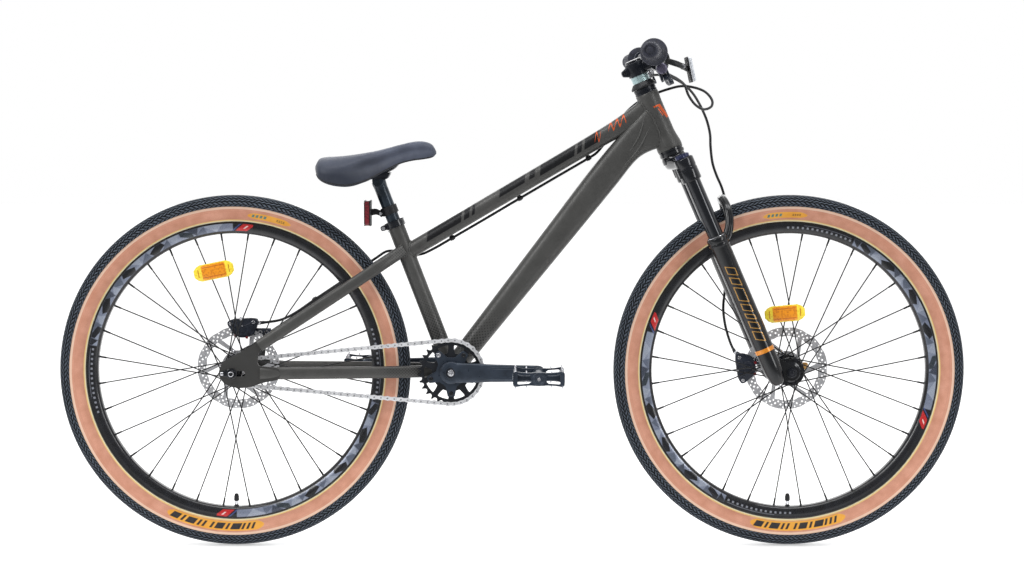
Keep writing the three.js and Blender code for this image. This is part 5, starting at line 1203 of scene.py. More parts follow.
def add_frame():
    # Head tube, turned round the steering axis
    head = Shape()
    head.stack(HEAD, UP, [(0, 23.9), (0.8, 24.5), (7, 24.5), (13, 23.9), (20, 22.7), (28, 21.5), (36, 21.1),
                          (92, 21.1),
                          (100, 21.5), (107, 21.9), (114.3, 21.9), (HEAD_TUBE, 21.4)], 56, caps=False)
    head.stack(HEAD, UP, [(0, 17.8), (HEAD_TUBE, 17.8)], 40, caps=False)
    for t, r in ((0, 23.9), (HEAD_TUBE, 21.4)):
        head.stack(HEAD + UP * t, UP, [(0, 17.8), (0.01, r)], 56, caps=False)
    top_table = [(0, 15, 14, 0.86), (0.2, 15, 15.2, 0.82), (0.45, 15, 16, 0.8), (0.68, 15.2, 16, 0.78),
                 (0.84, 16.6, 16, 0.76),
                 (0.93, 20.5, 15.8, 0.74), (1.0, 26, 15, 0.74)]
    top_rings = blended(tube_rings(TOP_LINE, top_table, 40), 8)
    top = Shape().loft(top_rings)
    seat_tube = Shape().stack(BRACKET, SEAT_UP,
                              [(0, 15.9), (180, 15.9), (292, 16.0), (296, 16.9), (303.4, 16.9),
                               (SEAT_TUBE, 16.4),
                                                 (SEAT_TUBE, 13.2), (92, 13.2)], 48)
    for side in (-1, 1):
        seat_tube.stack(seat(SEAT_TUBE - 14, -16.4), -SEAT_AHEAD, [(0, 0.9), (0.3, 1.3), (0.9, 1.3)], 10,
                        mat=1)
    # Down tube, full and square near the head, with the gusset running under it
    down_to = steer(0, 0, 75.9)
    down_up = Vector((-down_dir.z, 0, down_dir.x))
    lower = steer(-61, 0, 8.4)
    middle = lower + down_up * 28
    rings = tube_rings((BRACKET, down_to), [(0, 19.5, 19, 0.92), (0.18, 21.4, 20, 0.84),
                                            (0.42, 24.3, 21.6, 0.74),
                                            (0.62, 26.8, 22.6, 0.66), (0.752, 28, 23, 0.62)], 48)
    rings.append(ring(middle, down_up * 28, Y * 23, 48, 0.6))
    low, high = steer(-8, 0, 10), steer(-8, 0, 95)
    rings.append(ring((low + high) / 2, (high - low) / 2, Y * 20, 48, 0.62))
    down_rings = blended(rings, 9)
    down = Shape().loft(down_rings)
    # Raised edges pressed into the side of the down tube by the head
    for sgn in (-1, 1):
        for a, b, c, w in (((-98, 4), (-56, 24), (-20, 54), 2.0), ((-74, 26), (-46, 46), (-22, 76), 1.6)):
            pts = smooth([steer(a[0], 0, a[1]), steer(b[0], 0, b[1]), steer(c[0], 0, c[1])], 22)
            side_points = [v for row in down_rings for v in row if v.y * sgn > 0]
            on_side = []
            for p in pts:
                near = min(side_points, key=lambda v: (v.x - p.x) ** 2 + (v.z - p.z) ** 2)
                on_side.append(p + Y * sgn * (abs(near.y) - 0.5))
            down.sweep(on_side, lambda k: 0.5 + w * math.sin(math.pi * min(max(k, 0.04), 0.96)), 10)
    # Bottom bracket shell
    shell = Shape().turned([(17.4, -36.5), (20.4, -36.5), (21, -35.9), (21, 35.9), (20.4, 36.5),
                            (17.4, 36.5)], 56,
                           centre=BRACKET)
    # Stays
    stay_rows = [[0, 0], [0.16, 0.2], [0.26, 0.4], [0.46, 0.65], [0.72, 0.88], [0.87, 1]]
    stays = Shape()
    beads = Shape()
    seat_hit = from_axis(BRACKET, SEAT_UP, 16.1)
    for side in (-1, 1):
        rows = []
        for share, wide in stay_rows:
            centre = Vector((mix(BRACKET.x, REAR.x, share), side * mix(26, 70.5, wide), mix(336.0, R, share)))
            rows.append(ring(centre, Z * 11.5, Y * 7.5, 32, 0.78))
        rings = blended(rows, 10)
        stays.loft(rings)
        bead(beads, meet(rings, from_axis(BRACKET, Y, 21.2)), 1.9)
        spread = [[0, 1], [0.2, 0.94], [0.53, 0.75], [0.78, 0.58], [0.91, 0.32], [1, 0]]
        table = [(k, 11.2, 8, 0.78) for k, _ in spread]
        upper = blended(tube_rings(STAY_LINE, table, 32,
                                   side_shift=lambda s, side=side: side * mix(12, 70.5,
                                           table_at(spread, s))), 10)
        stays.loft(upper)
        bead(beads, meet(upper, seat_hit, True), 1.9)
    # Dropout plates with their slot
    shares = [(-0.266, -0.025), (-0.239, 0.13), (-0.173, 0.252), (0.385, 0.554), (0.57, 0.685),
              (0.685, 0.565),
              (0.558, 0.445), (0.526, 0.155), (1, 0.12), (1, -0.12), (0.672, -0.178), (0.385, -0.279),
              (0.182, -0.3),
              (-0.045, -0.267), (-0.196, -0.163)]
    outline = rounded([Vector((x * DROPOUT, 0, z * DROPOUT)) for x, z in shares], 9, 6)
    slot = arc(26 - 5.3, 0, 5.3, -90, 180, 9) + arc(-13 + 5.3, 0, 5.3, 90, 180, 9)
    drops = Shape()
    for side in (-1, 1):
        low, high = (67.8, 74.8) if side > 0 else (-74.8, -67.8)
        place = Matrix.Translation(REAR)
        drops.plate(outline, [slot], low, high, matrix=place)
    # Joints
    bead(beads, meet(top_rings, seat_hit), 2.2)
    bead(beads, meet(top_rings, from_axis(HEAD, UP, 21.4), True), 2.3)
    bead(beads, meet(down_rings, from_axis(HEAD, UP, 21.4), True), 2.3)
    bead(beads, meet(down_rings, from_axis(BRACKET, Y, 21.3)), 2.2)
    seat_rings = [ring(seat(t), SEAT_AHEAD * 15.9, Y * 15.9, 40) for t in (0, 15, 18, 20, 22, 24, 30)]
    bead(beads, meet(seat_rings, from_axis(BRACKET, Y, 21.3)), 2.0)
    for name, shape, mats, sharp, bevel in (
            ("head_tube", head, paint_head, 40, 0), ("top_tube", top, paint_top, 50, 0),
            ("seat_tube", seat_tube, [paint_seat, black_alloy], 40, 0),
            ("down_tube", down, paint_down, 50, 0),
            ("bracket_shell", shell, paint_plain, 40, 0), ("stays", stays, paint_stay, 50, 0),
            ("dropouts", drops, paint_drop_shaded, 30, 0.9), ("welds", beads, paint_plain, 60, 0)):
        shape.build("frame_" + name, "frame", mats, "frame_paint", "frame", sharp=sharp, bevel=bevel)
    # Hose clips
    clips = Shape()
    for line, entries in ((TOP_LINE, ((0.718, 5, -20.9), (0.44, 4, -20.4), (0.165, 4, -20.2))),
                          (STAY_LINE, ((0.377, 60, 13.7),))):
        d = (line[1] - line[0]).normalized()
        up = Vector((-d.z, 0, d.x))
        for share, aside, high in entries:
            c = line[0].lerp(line[1], share) + up * high + Y * aside
            rows = [ring(c + d * k, up * 4.3 * w, Y * 4.3 * w, 20) for k,
                    w in ((-5, 0.86), (-4.2, 1), (4.2, 1), (5, 0.86))]
            clips.loft(rows)
            clips.stack(c, up * (-1 if high > 0 else 1), [(0, 3.6), (7.0, 3.6)], 14)
            rows = [ring(c + d * k, up * 4.9, Y * 4.9, 20) for k in (-1.3, 1.3)]
            clips.loft(rows)
    clips.build("frame_hose_clips", "frame", plastic, "black_alloy", "frame", sharp=35)


add_frame()


# headset and cockpit, in the steering frame (s, y, t)
STEER = Matrix(((AHEAD.x, 0, UP.x, HEAD.x), (0, 1, 0, 0), (AHEAD.z, 0, UP.z, HEAD.z), (0, 0, 0, 1)))


def in_steering(shape):
    return Shape().merge(shape, STEER)


def bar_at(y):
    near, far = clamp((abs(y) - 86) / 64), clamp((abs(y) - 150) / 228)
    return Vector((REACH - near * 7 - far * 23.6, y, RISE + near * 11 + far * 8.4))


def socket_screw(shape, at, out, radius=3.4, tall=3.4, mat=0):
    """Cap screw: a round head with a hexagon pressed into it."""
    shape.stack(at, out, [(0, radius), (tall * 0.82, radius), (tall, radius * 0.88), (tall, radius * 0.52)],
                20, mat,
                caps=False)
    out = Vector(out).normalized()
    shape.stack(Vector(at) + out * tall, -out,
                [(0, radius * 0.52), (tall * 0.55, radius * 0.5), (tall * 0.56, 0.01)],
                6, mat,
                caps=False)


bar_mat = Mat("bar_finish", rgb(28, 30, 34), 0.4, 0.3)
yb = bar_mat.coords()[1].abs()
bar_base = bar_mat.cloud(18, rgb(24, 26, 30), rgb(34, 36, 41))
bar_base = bar_mat.blend(yb.between(25.6, 26.4, 0.15) + yb.between(29.6, 30.2, 0.15), bar_base,
                         rgb(150, 152, 156))
bar_mat.drive("Base Color", bar_base)
bar_mat.gloss(3, 0.34, 0.48)
bar_mat.bump(bar_mat.noise(0.5, 2), 0.012, 0.5)


def add_headset():
    for name, body, mat, slot, profile in (
            ("headset_lower_cup", "frame", black_gloss, "black_alloy",
             [(15.2, -12), (23.6, -12), (24.5, -11.1), (24.5, -5.6), (23.5, -4.9), (23.5, -3.8), (24.4, -3.0),
              (24.4, -0.3),
              (15.2, -0.3)]),
            ("headset_upper_cup", "frame", black_alloy, "black_alloy",
             [(15.2, 115.3), (21.5, 115.3), (21.5, 118.6), (20.7, 119.4), (20.7, 120.4), (21.5, 121.2),
              (21.5, 126.2),
              (20.8, 127), (15.2, 127)]),
            ("headset_top_cover", "steering", plastic, "black_alloy",
             [(15.2, 127.3), (24.0, 127.3), (24.5, 127.9), (24.5, 130.1), (23.9, 131.2), (20.6, 135.4),
              (18.9, 137.2),
              (18.5, 138), (15.2, 138)]),
            ("headset_spacer", "steering", ice_alloy, "ice_alloy",
             [(15.2, 138.3), (16.5, 138.3), (17, 138.8), (17, 144.5), (16.6, 144.9), (16.6, 145.3),
              (17, 145.7),
              (17, 151.5),
              (16.5, 152), (15.2, 152)])):
        in_steering(Shape().turned(profile, 56, axis="z")).build(name, body, mat, slot, name)
    cap = Shape().turned([(3.6, 178.4), (16, 178.4), (16, 181.2), (15.2, 182.6), (12.4, 183.4), (8.2, 183.7),
                          (7.0, 183.0),
                          (6.6, 181.2), (3.6, 181.0)], 48, axis="z")
    socket_screw(cap, (0, 0, 179.6), (0, 0, 1), 5.4, 3.6, 1)
    in_steering(cap).build("steerer_top_cap", "steering", [black_gloss, steel], "black_alloy",
                           "steerer_top_cap",
                           sharp=28)


def add_stem():
    body = Shape()
    body.turned([(15.0, 152.3), (18.3, 152.3), (19, 153), (19, 177.3), (18.3, 178), (15.0, 178)], 56,
                axis="z")
    rows = []
    for s, hy, ht, q in ((12, 14.5, 11.5, 0.7), (18, 13.0, 10.8, 0.62), (24, 13.6, 10.6, 0.55),
                         (29, 17.5, 12.0, 0.5),
                         (33, 22.5, 14.5, 0.5)):
        rows.append(ring(Vector((s, 0, RISE)), Z * ht, Y * hy, 36, q))
    body.loft(blended(rows, 5))
    # Rear half of the bar clamp
    clamp_arc = arc(REACH, RISE, 20.9, 92, 176, 25) + arc(REACH, RISE, 16.2, 268, -176, 25)
    body.plate(clamp_arc, [], -25, 25)
    # Tapered ears of the steerer clamp, on the rider's side
    for sgn in (-1, 1):
        rows = []
        for st, h in ((-14, 10.4), (-18, 9.6), (-23, 7.6), (-27, 6.0), (-28.8, 4.6), (-29.6, 2.6)):
            rows.append(ring(Vector((st, sgn * 6.1, RISE)), Z * h, Y * 4.9, 28, 0.62))
        body.loft(blended(rows, 3))
    for t in (161.6, 168.4):
        body.stack((-22.6, -10.6, t), -Y, [(0, 2.9), (1.4, 2.9), (1.8, 2.4), (1.8, 1.5), (0.8, 1.4),
                                           (0.8, 0.01)], 20,
                   caps=False)
    in_steering(body).build("stem", "steering", [black_alloy, steel], "crank_alloy", "stem", sharp=30,
                            bevel=0.7)
    face = Shape()
    outside, inside = arc(REACH, RISE, 20.9, -87, 174, 25), arc(REACH, RISE, 16.2, 87, -174, 25)
    for low, high in ((-25, -9), (9, 25)):
        face.plate(outside + inside, [], low, high)
    # Between the two straps only the top and bottom edges run through
    for sgn in (1, -1):
        face.plate([p for p in outside + inside if (p[1] - RISE) * sgn > 9.0], [], -9.2, 9.2)
    for y in (-17, 17):
        for t in (148.9, 181.1):
            face.stack((REACH + 1.2, y, t), (1, 0, 0), [(0, 5.4), (9.4, 5.4), (10, 4.8)], 24)
            socket_screw(face, (REACH + 10.8, y, t), (1, 0, 0), 3.2, 2.4, 1)
    in_steering(face).build("stem_faceplate", "steering", [black_alloy, steel], "crank_alloy",
                            "stem_faceplate",
                            sharp=30,
                            bevel=0.5)


def add_bar():
    pts = smooth([bar_at(y) for y in (-378, -150, -118, -86, -56, 0, 56, 86, 118, 150, 378)], 160)
    def radius(k):
        y = abs(-378 + 756 * k)
        return 15.9 if y < 34 else mix(15.9, 11.1, ease((y - 34) / 24)) if y < 58 else 11.1
    shape = Shape().sweep(pts, radius, 32)
    in_steering(shape).build("handlebar", "steering", bar_mat, "black_alloy", "handlebar", sharp=50)


grip_mat = Mat("grip_finish", rgb(40, 42, 52), 0.52)
speckle(grip_mat, rgb(36, 38, 47), rgb(50, 52, 66), 6, (0.42, 0.58), 0.6, 0.05)


def add_grip(name, side):
    start, end = bar_at(side * 250), bar_at(side * 378)
    along = (end - start).normalized()
    shape = Shape()
    stations = [(0.0, 11.6), (0.0, 22.6), (0.8, 24.4), (2.0, 25), (4.0, 25), (5.2, 24.2), (6.0, 22.2),
                (7.6, 16.6),
                (9.2, 15.0)]

    def ribs(first, count, low):
        return [(first + 3.5 * k + d, low + lift) for k in range(count) for d,
                lift in ((0, 0), (0.5, 1.2), (1.9, 1.2), (2.4, 0))]
    stations += ribs(11.0, 18, 14.3) + [(76, 14.4), (77.5, 15.2), (112, 15.2), (113, 14.4)] + ribs(114.5, 3,
            14.2)
    stations += [(125, 14.6), (128.4, 15.4), (131.5, 15.2), (133.6, 13.8), (134.6, 11.6), (134.6, 9.6),
                 (133.4, 9.2),
                 (133.4, 0.01)]
    shape.stack(start, along, stations, 64, caps=False)
    # Ring of small teeth round the flange and a raised pattern on the palm
    rough = Z
    up = (rough - along * along.z).normalized()
    out = along.cross(up)
    for k in range(36):
        a = TURN * k / 36
        r = up * math.cos(a) + out * math.sin(a)
        shape.rod(start + along * 1.6 + r * 24.2, start + along * 4.4 + r * 24.2, 1.0, 6)
    for i in range(9):
        for k in range(14):
            a = TURN * (k + 0.5 * (i % 2)) / 14
            r = up * math.cos(a) + out * math.sin(a)
            at = start + along * (80.5 + i * 3.7) + r * 14.9
            shape.stack(at, r, [(0, 1.9), (0.45, 1.7), (0.7, 1.1)], 6)
    shape.stack(start + along * 133.4, along, [(0, 6.6), (0.9, 6.4), (1.2, 5.6)], 32)
    in_steering(shape).build(name, "steering", grip_mat, "soft_rubber", name, sharp=34)


# From the centre plane to the lever's pivot, and how far the pivot and the master cylinder hang below the bar
PIVOT_OUT, PIVOT_DOWN, CYLINDER = 226, -47.5, -32


def add_lever(tag, side, lever_body):
    base = bar_at(side * 227)
    def at(s, y, t):
        return Vector((base.x + s, side * y, base.z + t))
    body = Shape()
    a, b = bar_at(side * 219), bar_at(side * 235)
    body.stack(a, b - a, [(0, 15.0), (0.8, 15.6), (15.2, 15.6), (16, 15.0), (16, 11.3), (0, 11.3)], 48,
               caps=False)
    for end in (a, b):
        body.loft([ring(end, Z * 15.0, X * 15.0, 48), ring(end, Z * 11.3, X * 11.3, 48)], caps=False)
    # Clamp lug with its screw, ahead of the bar
    lug = [ring(at(13.5, y, -1), Z * h, X * 6.4, 20, 0.6) for y, h in
           ((220, 5), (221, 6.2), (233, 6.2), (234, 5))]
    body.loft(lug)
    socket_screw(body, at(15.5, 227, 4.6), (0.25, 0, 1), 3.2, 2.8, 1)
    # Web down to the cylinder
    rows = [ring(at(0, 227, t), X * w, Y * 8, 28, 0.7) for t,
            w in ((-10, 8.5), (-16, 7.2), (-24, 7.0), (-33, 7.4))]
    body.loft(rows)
    # Cylinder with the reservoir on its back
    rows = []
    for y, s, t in ((164.5, 3.2, 3.2), (166, 4.6, 4.6), (170, 6.4, 6.6), (175, 7.8, 8), (182, 8.2, 8.6),
                    (212, 8.2, 8.6),
                    (222, 7.8, 8), (234, 7.6, 7.8), (237, 6.6, 6.8), (238, 4.5, 4.5)):
        rows.append(ring(at(0, y, CYLINDER), Z * t, X * s, 28, 0.88))
    body.loft(rows)
    body.stack(at(0, 236.6, CYLINDER), Y * side,
               [(0, 9.6), (1.0, 10.2), (3.2, 10.2), (4.6, 9.2), (5.6, 6.8), (6.0, 3.4)],
               36, mat=2)
    tank = [ring(at(3.0, y, CYLINDER + 0.8), Z * t, X * s, 24, 0.6) for y, s, t in
            ((181, 5.0, 6.0), (183, 6.6, 7.6), (211, 6.6, 7.6), (213, 5.0, 6.0))]
    body.loft(tank)
    for y in (186, 208):
        socket_screw(body, at(9.2, y, -31), (1, 0, 0), 1.9, 1.4, 1)
    body.stack(at(0, 170, CYLINDER), Y * -side, [(0, 6.0), (3.0, 6.0), (3.2, 5.2), (9.0, 5.2), (9.6, 4.2)],
               6, mat=1)
    # Lugs that hold the blade
    for sgn in (-1, 1):
        outline = [(side * (PIVOT_OUT + 1.05 * x), z) for x, z in arc(0, PIVOT_DOWN, 8.0, 195, 150, 12)]
        outline = [(side * 217.6, -33)] + outline + [(side * 235, -33)]
        flat = Shape()
        flat.plate(outline, [], -2.0, 2.0)
        body.merge(flat, facing_x(base.x + sgn * 7.0, base.z))
        pin = at(sgn * 9.0, PIVOT_OUT, PIVOT_DOWN)
        body.stack(pin, (sgn, 0, 0), [(-1.4, 3.9), (0.1, 3.9), (0.6, 3.3)], 20, mat=1)
    body.rod(at(-8.4, PIVOT_OUT, PIVOT_DOWN), at(8.4, PIVOT_OUT, PIVOT_DOWN), 2.3, 16, mat=1)
    name = "brake_lever_body_" + tag
    in_steering(body).build(name, "steering", [brake_alloy, steel, lilac_alloy], "brake_body", name, sharp=32)
    # Blade, rounded and hooked at its tip, with three long holes
    shares = [(-0.05, -0.04), (-0.05, 0.035), (0.035, 0.045), (0.14, -0.03), (0.5, -0.065), (0.88, -0.055),
              (0.98, -0.075),
              (1, -0.12), (0.94, -0.16), (0.5, -0.155), (0.14, -0.13), (0, -0.06)]
    outline = rounded([Vector((x * BLADE, 0, z * BLADE)) for x, z in shares], 11, 6, 0.48)

    def slot_hole(x0, x1, z0, z1, r):
        return arc(x1, z1, r, -90, 180, 7) + arc(x0, z0, r, 90, 180, 7)
    blade = Shape()
    holes = [circle(2.8, 20), slot_hole(36, 46, -10.2, -11.6, 2.4), slot_hole(54, 64, -12.3, -12.3, 2.2),
             slot_hole(72, 80, -12.2, -12.0, 1.9)]
    blade.plate(outline, holes, -3.9, 3.9)
    pivot = at(0, PIVOT_OUT, PIVOT_DOWN)
    turn_by = Matrix(((0, -1, 0, pivot.x), (side, 0, 0, pivot.y), (0, 0, 1, pivot.z), (0, 0, 0, 1)))
    whole = Shape().merge(blade, turn_by)
    name = "brake_lever_blade_" + tag
    in_steering(whole).build(name, lever_body, brake_alloy, "crank_alloy", name, sharp=30, bevel=1.3,
                             segments=3)


def add_front_reflector():
    base = bar_at(-70)
    centre = Vector((base.x + 48.7, 0, base.z - 41.5))
    band = Shape()
    axis = (bar_at(-64) - bar_at(-76)).normalized()
    band.stack(base - axis * 6, axis, [(0, 14.9), (0.6, 15.5), (11.4, 15.5), (12, 14.9), (12, 11.7),
                                       (0, 11.7)], 40,
               caps=False)
    for d in (0, 12):
        band.stack(base - axis * (6 - d), axis, [(0, 11.7), (0.01, 14.9)], 40, caps=False)
    socket_screw(band, (base.x - 15.0, -70, base.z - 5.5), (-0.3, 0, 1), 3.0, 2.8, 1)
    elbow = base.lerp(centre, 0.55)
    elbow.y = -63
    end = Vector((centre.x - 3.0, -18, centre.z))
    root = base.lerp(elbow, 0.42)
    path = smooth([root, elbow, end], 24)
    rows = []
    for i, p in enumerate(path):
        ahead = heading(path, i)
        side = Z - ahead * ahead.z
        side.normalize()
        rows.append(ring(p, side * 5.6, ahead.cross(side) * 3.6, 16, 0.6))
    band.loft(rows)
    # Knuckle half way along the arm, with a bright bolt
    knee = path[13]
    band.stack(knee - Y * 6.5, Y, [(0, 5.0), (0.6, 5.7), (12.4, 5.7), (13, 5.0)], 32)
    band.stack(knee - Y * 6.4, -Y, [(0, 4.2), (1.0, 4.2), (1.4, 3.8), (1.4, 2.2), (0.6, 2.0), (0.6, 0.01)],
               28, mat=1,
               caps=False)
    tilt = Matrix.Translation(centre) @ Matrix.Rotation(math.radians(11.3), 4, "Y")
    panel = Shape()
    outline = rounded_box(36, 24.5, 5)

    for wide, tall, low, high, mat in ((1, 1, -4.4, -1.6, 0), (0.97, 0.96, -1.8, 4.0, 2),
                                       (0.92, 0.9, 3.8, 4.7, 2),
                                       (0.985, 0.975, 0.7, 1.3, 1)):
        panel.merge(Shape().plate([(x * wide, z * tall) for x, z in outline], [], low, high, mat), facing_x())
    for z in (-11.5, 11.5):
        panel.box((3.8, -32, z - 0.4), (4.9, 32, z + 0.4), 1)
    panel.stack((-4.2, 0, 0), (-1, 0, 0), [(0, 6.5), (1.6, 6.2), (2.2, 5.0)], 24)
    for y in (-24, 24):
        panel.box((-5.2, y - 1.2, -20), (-4.2, y + 1.2, 20), 0)
    panel.stack((-5.6, 0, 0), (-1, 0, 0), [(0, 2.8), (1.4, 2.6)], 6, mat=1)
    band.merge(panel, tilt)
    in_steering(band).build("front_reflector", "reflector_front", [plastic, steel, clear_lens], "clear_lens",
                            "front_reflector",
                            sharp=30)


REAR_COCKPIT = [
    (32.2, -0.993, -25), (39.3, -0.916, -29.3), (48.4, -0.819, -38.7), (57.2, -0.711, -48.5),
    (65.9, -0.566, -63.7),
    (66.9, -0.434, -84.2), (73.2, -0.313, -106), (86.2, -0.181, -120.7), (102.8, -0.072, -121.5),
    (109.5, 0.012, -111.6),
    (104.8, 0.096, -92.3), (88.8, 0.169, -75.7), (68.1, 0.217, -64.1), (43.7, 0.241, -59.6),
    (14.1, 0.241, -57.7),
    (-19.4, 0.217, -59.6)]
FRONT_COCKPIT = [
    (30, 0.993, -23.6), (36, 0.904, -24.5), (50, 0.795, -31), (64, 0.687, -43), (79.6, 0.554, -65.6),
    (86.6, 0.446, -88.4),
    (88.8, 0.367, -108.9), (89.3, 0.319, -125.8), (88.2, 0.277, -146.9), (83.3, 0.247, -171.4)]
TOP_HOSE = [
    (0.912, 33, 16.7), (0.85, 31, 2.8), (0.791, 22, -12.9), (0.749, 10, -20.3), (0.718, 5, -20.9),
    (0.578, 4, -20.6),
    (0.44, 4, -20.4), (0.301, 4, -20.6), (0.165, 4, -20.2), (0.089, 8, -19.8), (0.041, 19, -17.1),
    (0.012, 27, -8.8)]
STAY_HOSE = [
    (0.972, 35, -4.2), (0.939, 41.5, 6.6), (0.894, 45, 15.1), (0.8215, 47, 15.7), (0.605, 54.5, 14.2),
    (0.377, 60, 13.7),
    (0.235, 64, 12.9), (0.147, 64, 16.4)]
FORK_HOSE = [
    (74.8, 38, 0.059), (66, 37.5, 0.123), (64, 40, 0.175), (64.5, 45, 0.224), (62, 54, 0.276),
    (54, 66, 0.334),
    (42, 80, 0.397), (27, 91, 0.463), (12, 94, 0.539), (-4, 91, 0.618), (-21, 84, 0.681), (-31, 76, 0.743),
    (-36, 66, 0.806), (-37, 55, 0.839), (-36.5, 46, 0.86)]


def beside(line, row):
    share, aside, high = row
    d = (line[1] - line[0]).normalized()
    return line[0].lerp(line[1], share) + Vector((-d.z * high, aside, d.x * high))


def add_hoses():
    for name, body, points in (
            ("rear_brake_hose", "frame",
             [STEER @ Vector((s, y * HOSE_OUT, RISE + t)) for s, y, t in REAR_COCKPIT]
             + [beside(TOP_LINE, row) for row in TOP_HOSE] + [beside(STAY_LINE, row) for row in STAY_HOSE]
             + [REAR + Vector((59.5, 60, 88)), REAR + Vector((42.5, 58, 86.5))]),
            ("front_brake_hose", "steering",
             [STEER @ Vector((s, y * HOSE_OUT, RISE + t)) for s, y, t in FRONT_COCKPIT]
             + [STEER @ Vector((s, y, -FORK_LENGTH * k)) for s, y, k in FORK_HOSE])):
        path = smooth(points, 420 if name.startswith("rear") else 240)
        shape = Shape().sweep(path, 2.5, 14)
        for a, b in ((path[0], path[6]), (path[-1], path[-7])):
            d = (b - a).normalized()
            shape.stack(a, d, [(0, 2.9), (0.4, 3.3), (5.5, 3.3), (6.2, 2.9), (9.5, 2.7), (9.8, 2.5)], 16,
                        mat=1)
        shape.build(name, body, [hose_plastic, black_alloy], "hose_jacket", name, sharp=60)


add_headset()
add_stem()
add_bar()
for tag, side, lever_body in (("right", -1, "lever_r"), ("left", 1, "lever_l")):
    add_grip("grip_" + tag, side)
    add_lever(tag, side, lever_body)
add_front_reflector()
add_hoses()


# fork, in the steering frame
LEG_TOP, LEG_BOTTOM = -186.0, -489.0
GOLD = rgb(176, 132, 62)


def leg(side, t, s=0.0, y=0.0):
    return Vector((LEG_AHEAD + s, side * LEG_SIDE + y, t))


crown_mat = Mat("crown_black", rgb(20, 22, 28), 0.18, 0.3, Coat_Weight=0.4, Specular_IOR_Level=0.4)
speckle(crown_mat, rgb(16, 18, 23), rgb(24, 27, 34), 16, (0.14, 0.24), 0.5, 0.01)
stanchion_mat = Mat("stanchion_black", rgb(22, 25, 31), 0.12, 0.4, Coat_Weight=0.5, Specular_IOR_Level=0.4)
rings_fine = stanchion_mat.noise(0.6, 2,
                                 stanchion_mat.combine(0.0, 0.0, stanchion_mat.along((0, 0, 0), UP * 2.4)))
stanchion_mat.drive("Base Color", stanchion_mat.blend(rings_fine.to(0, 1, 0.3, 0.7), rgb(18, 21, 27),
                                                      rgb(27, 30, 38)))
stanchion_mat.drive("Roughness", rings_fine.to(0.1, 0.2, 0.3, 0.7))
stanchion_mat.bump(rings_fine, 0.006, 0.4)


def lowers_material():
    """Satin black legs with plain gold bars outside each leg and a gold band below them."""
    mat = Mat("lowers_finish", rgb(20, 22, 25), 0.22, 0.25, Coat_Weight=0.35, Specular_IOR_Level=0.4)
    _, y, _ = mat.coords()
    t, s = mat.along(HEAD, UP), mat.along(HEAD, AHEAD)
    base = mat.cloud(20, rgb(16, 18, 21), rgb(24, 26, 30))
    outside = y.abs().step(66.5, 0.4)
    lean = t + (s - LEG_AHEAD) * 0.55
    wide = (s - LEG_AHEAD).abs()
    for low, high, half in ((-262, -246, 9), (-282, -268, 9), (-316, -288, 9), (-336, -322, 9),
                            (-352, -342, 9),
                            (-372, -358, 9), (-396, -378, 9)):
        inside = lean.between(low, high, 0.4) * (1 - wide.step(half, 0.4))
        core = lean.between(low + 1.8, high - 1.8, 0.4) * (1 - wide.step(half - 1.8, 0.4))
        base = mat.blend(outside * inside * (1 - core), base, GOLD)
        base = mat.blend(outside * core, base, rgb(12, 13, 15))
    base = mat.blend(outside * t.between(-421.5, -413.5, 0.5), base, rgb(226, 142, 44))
    mat.drive("Base Color", base)
    mat.gloss(4, 0.18, 0.27)
    mat.bump(mat.noise(0.6, 2), 0.01, 0.5)
    return mat


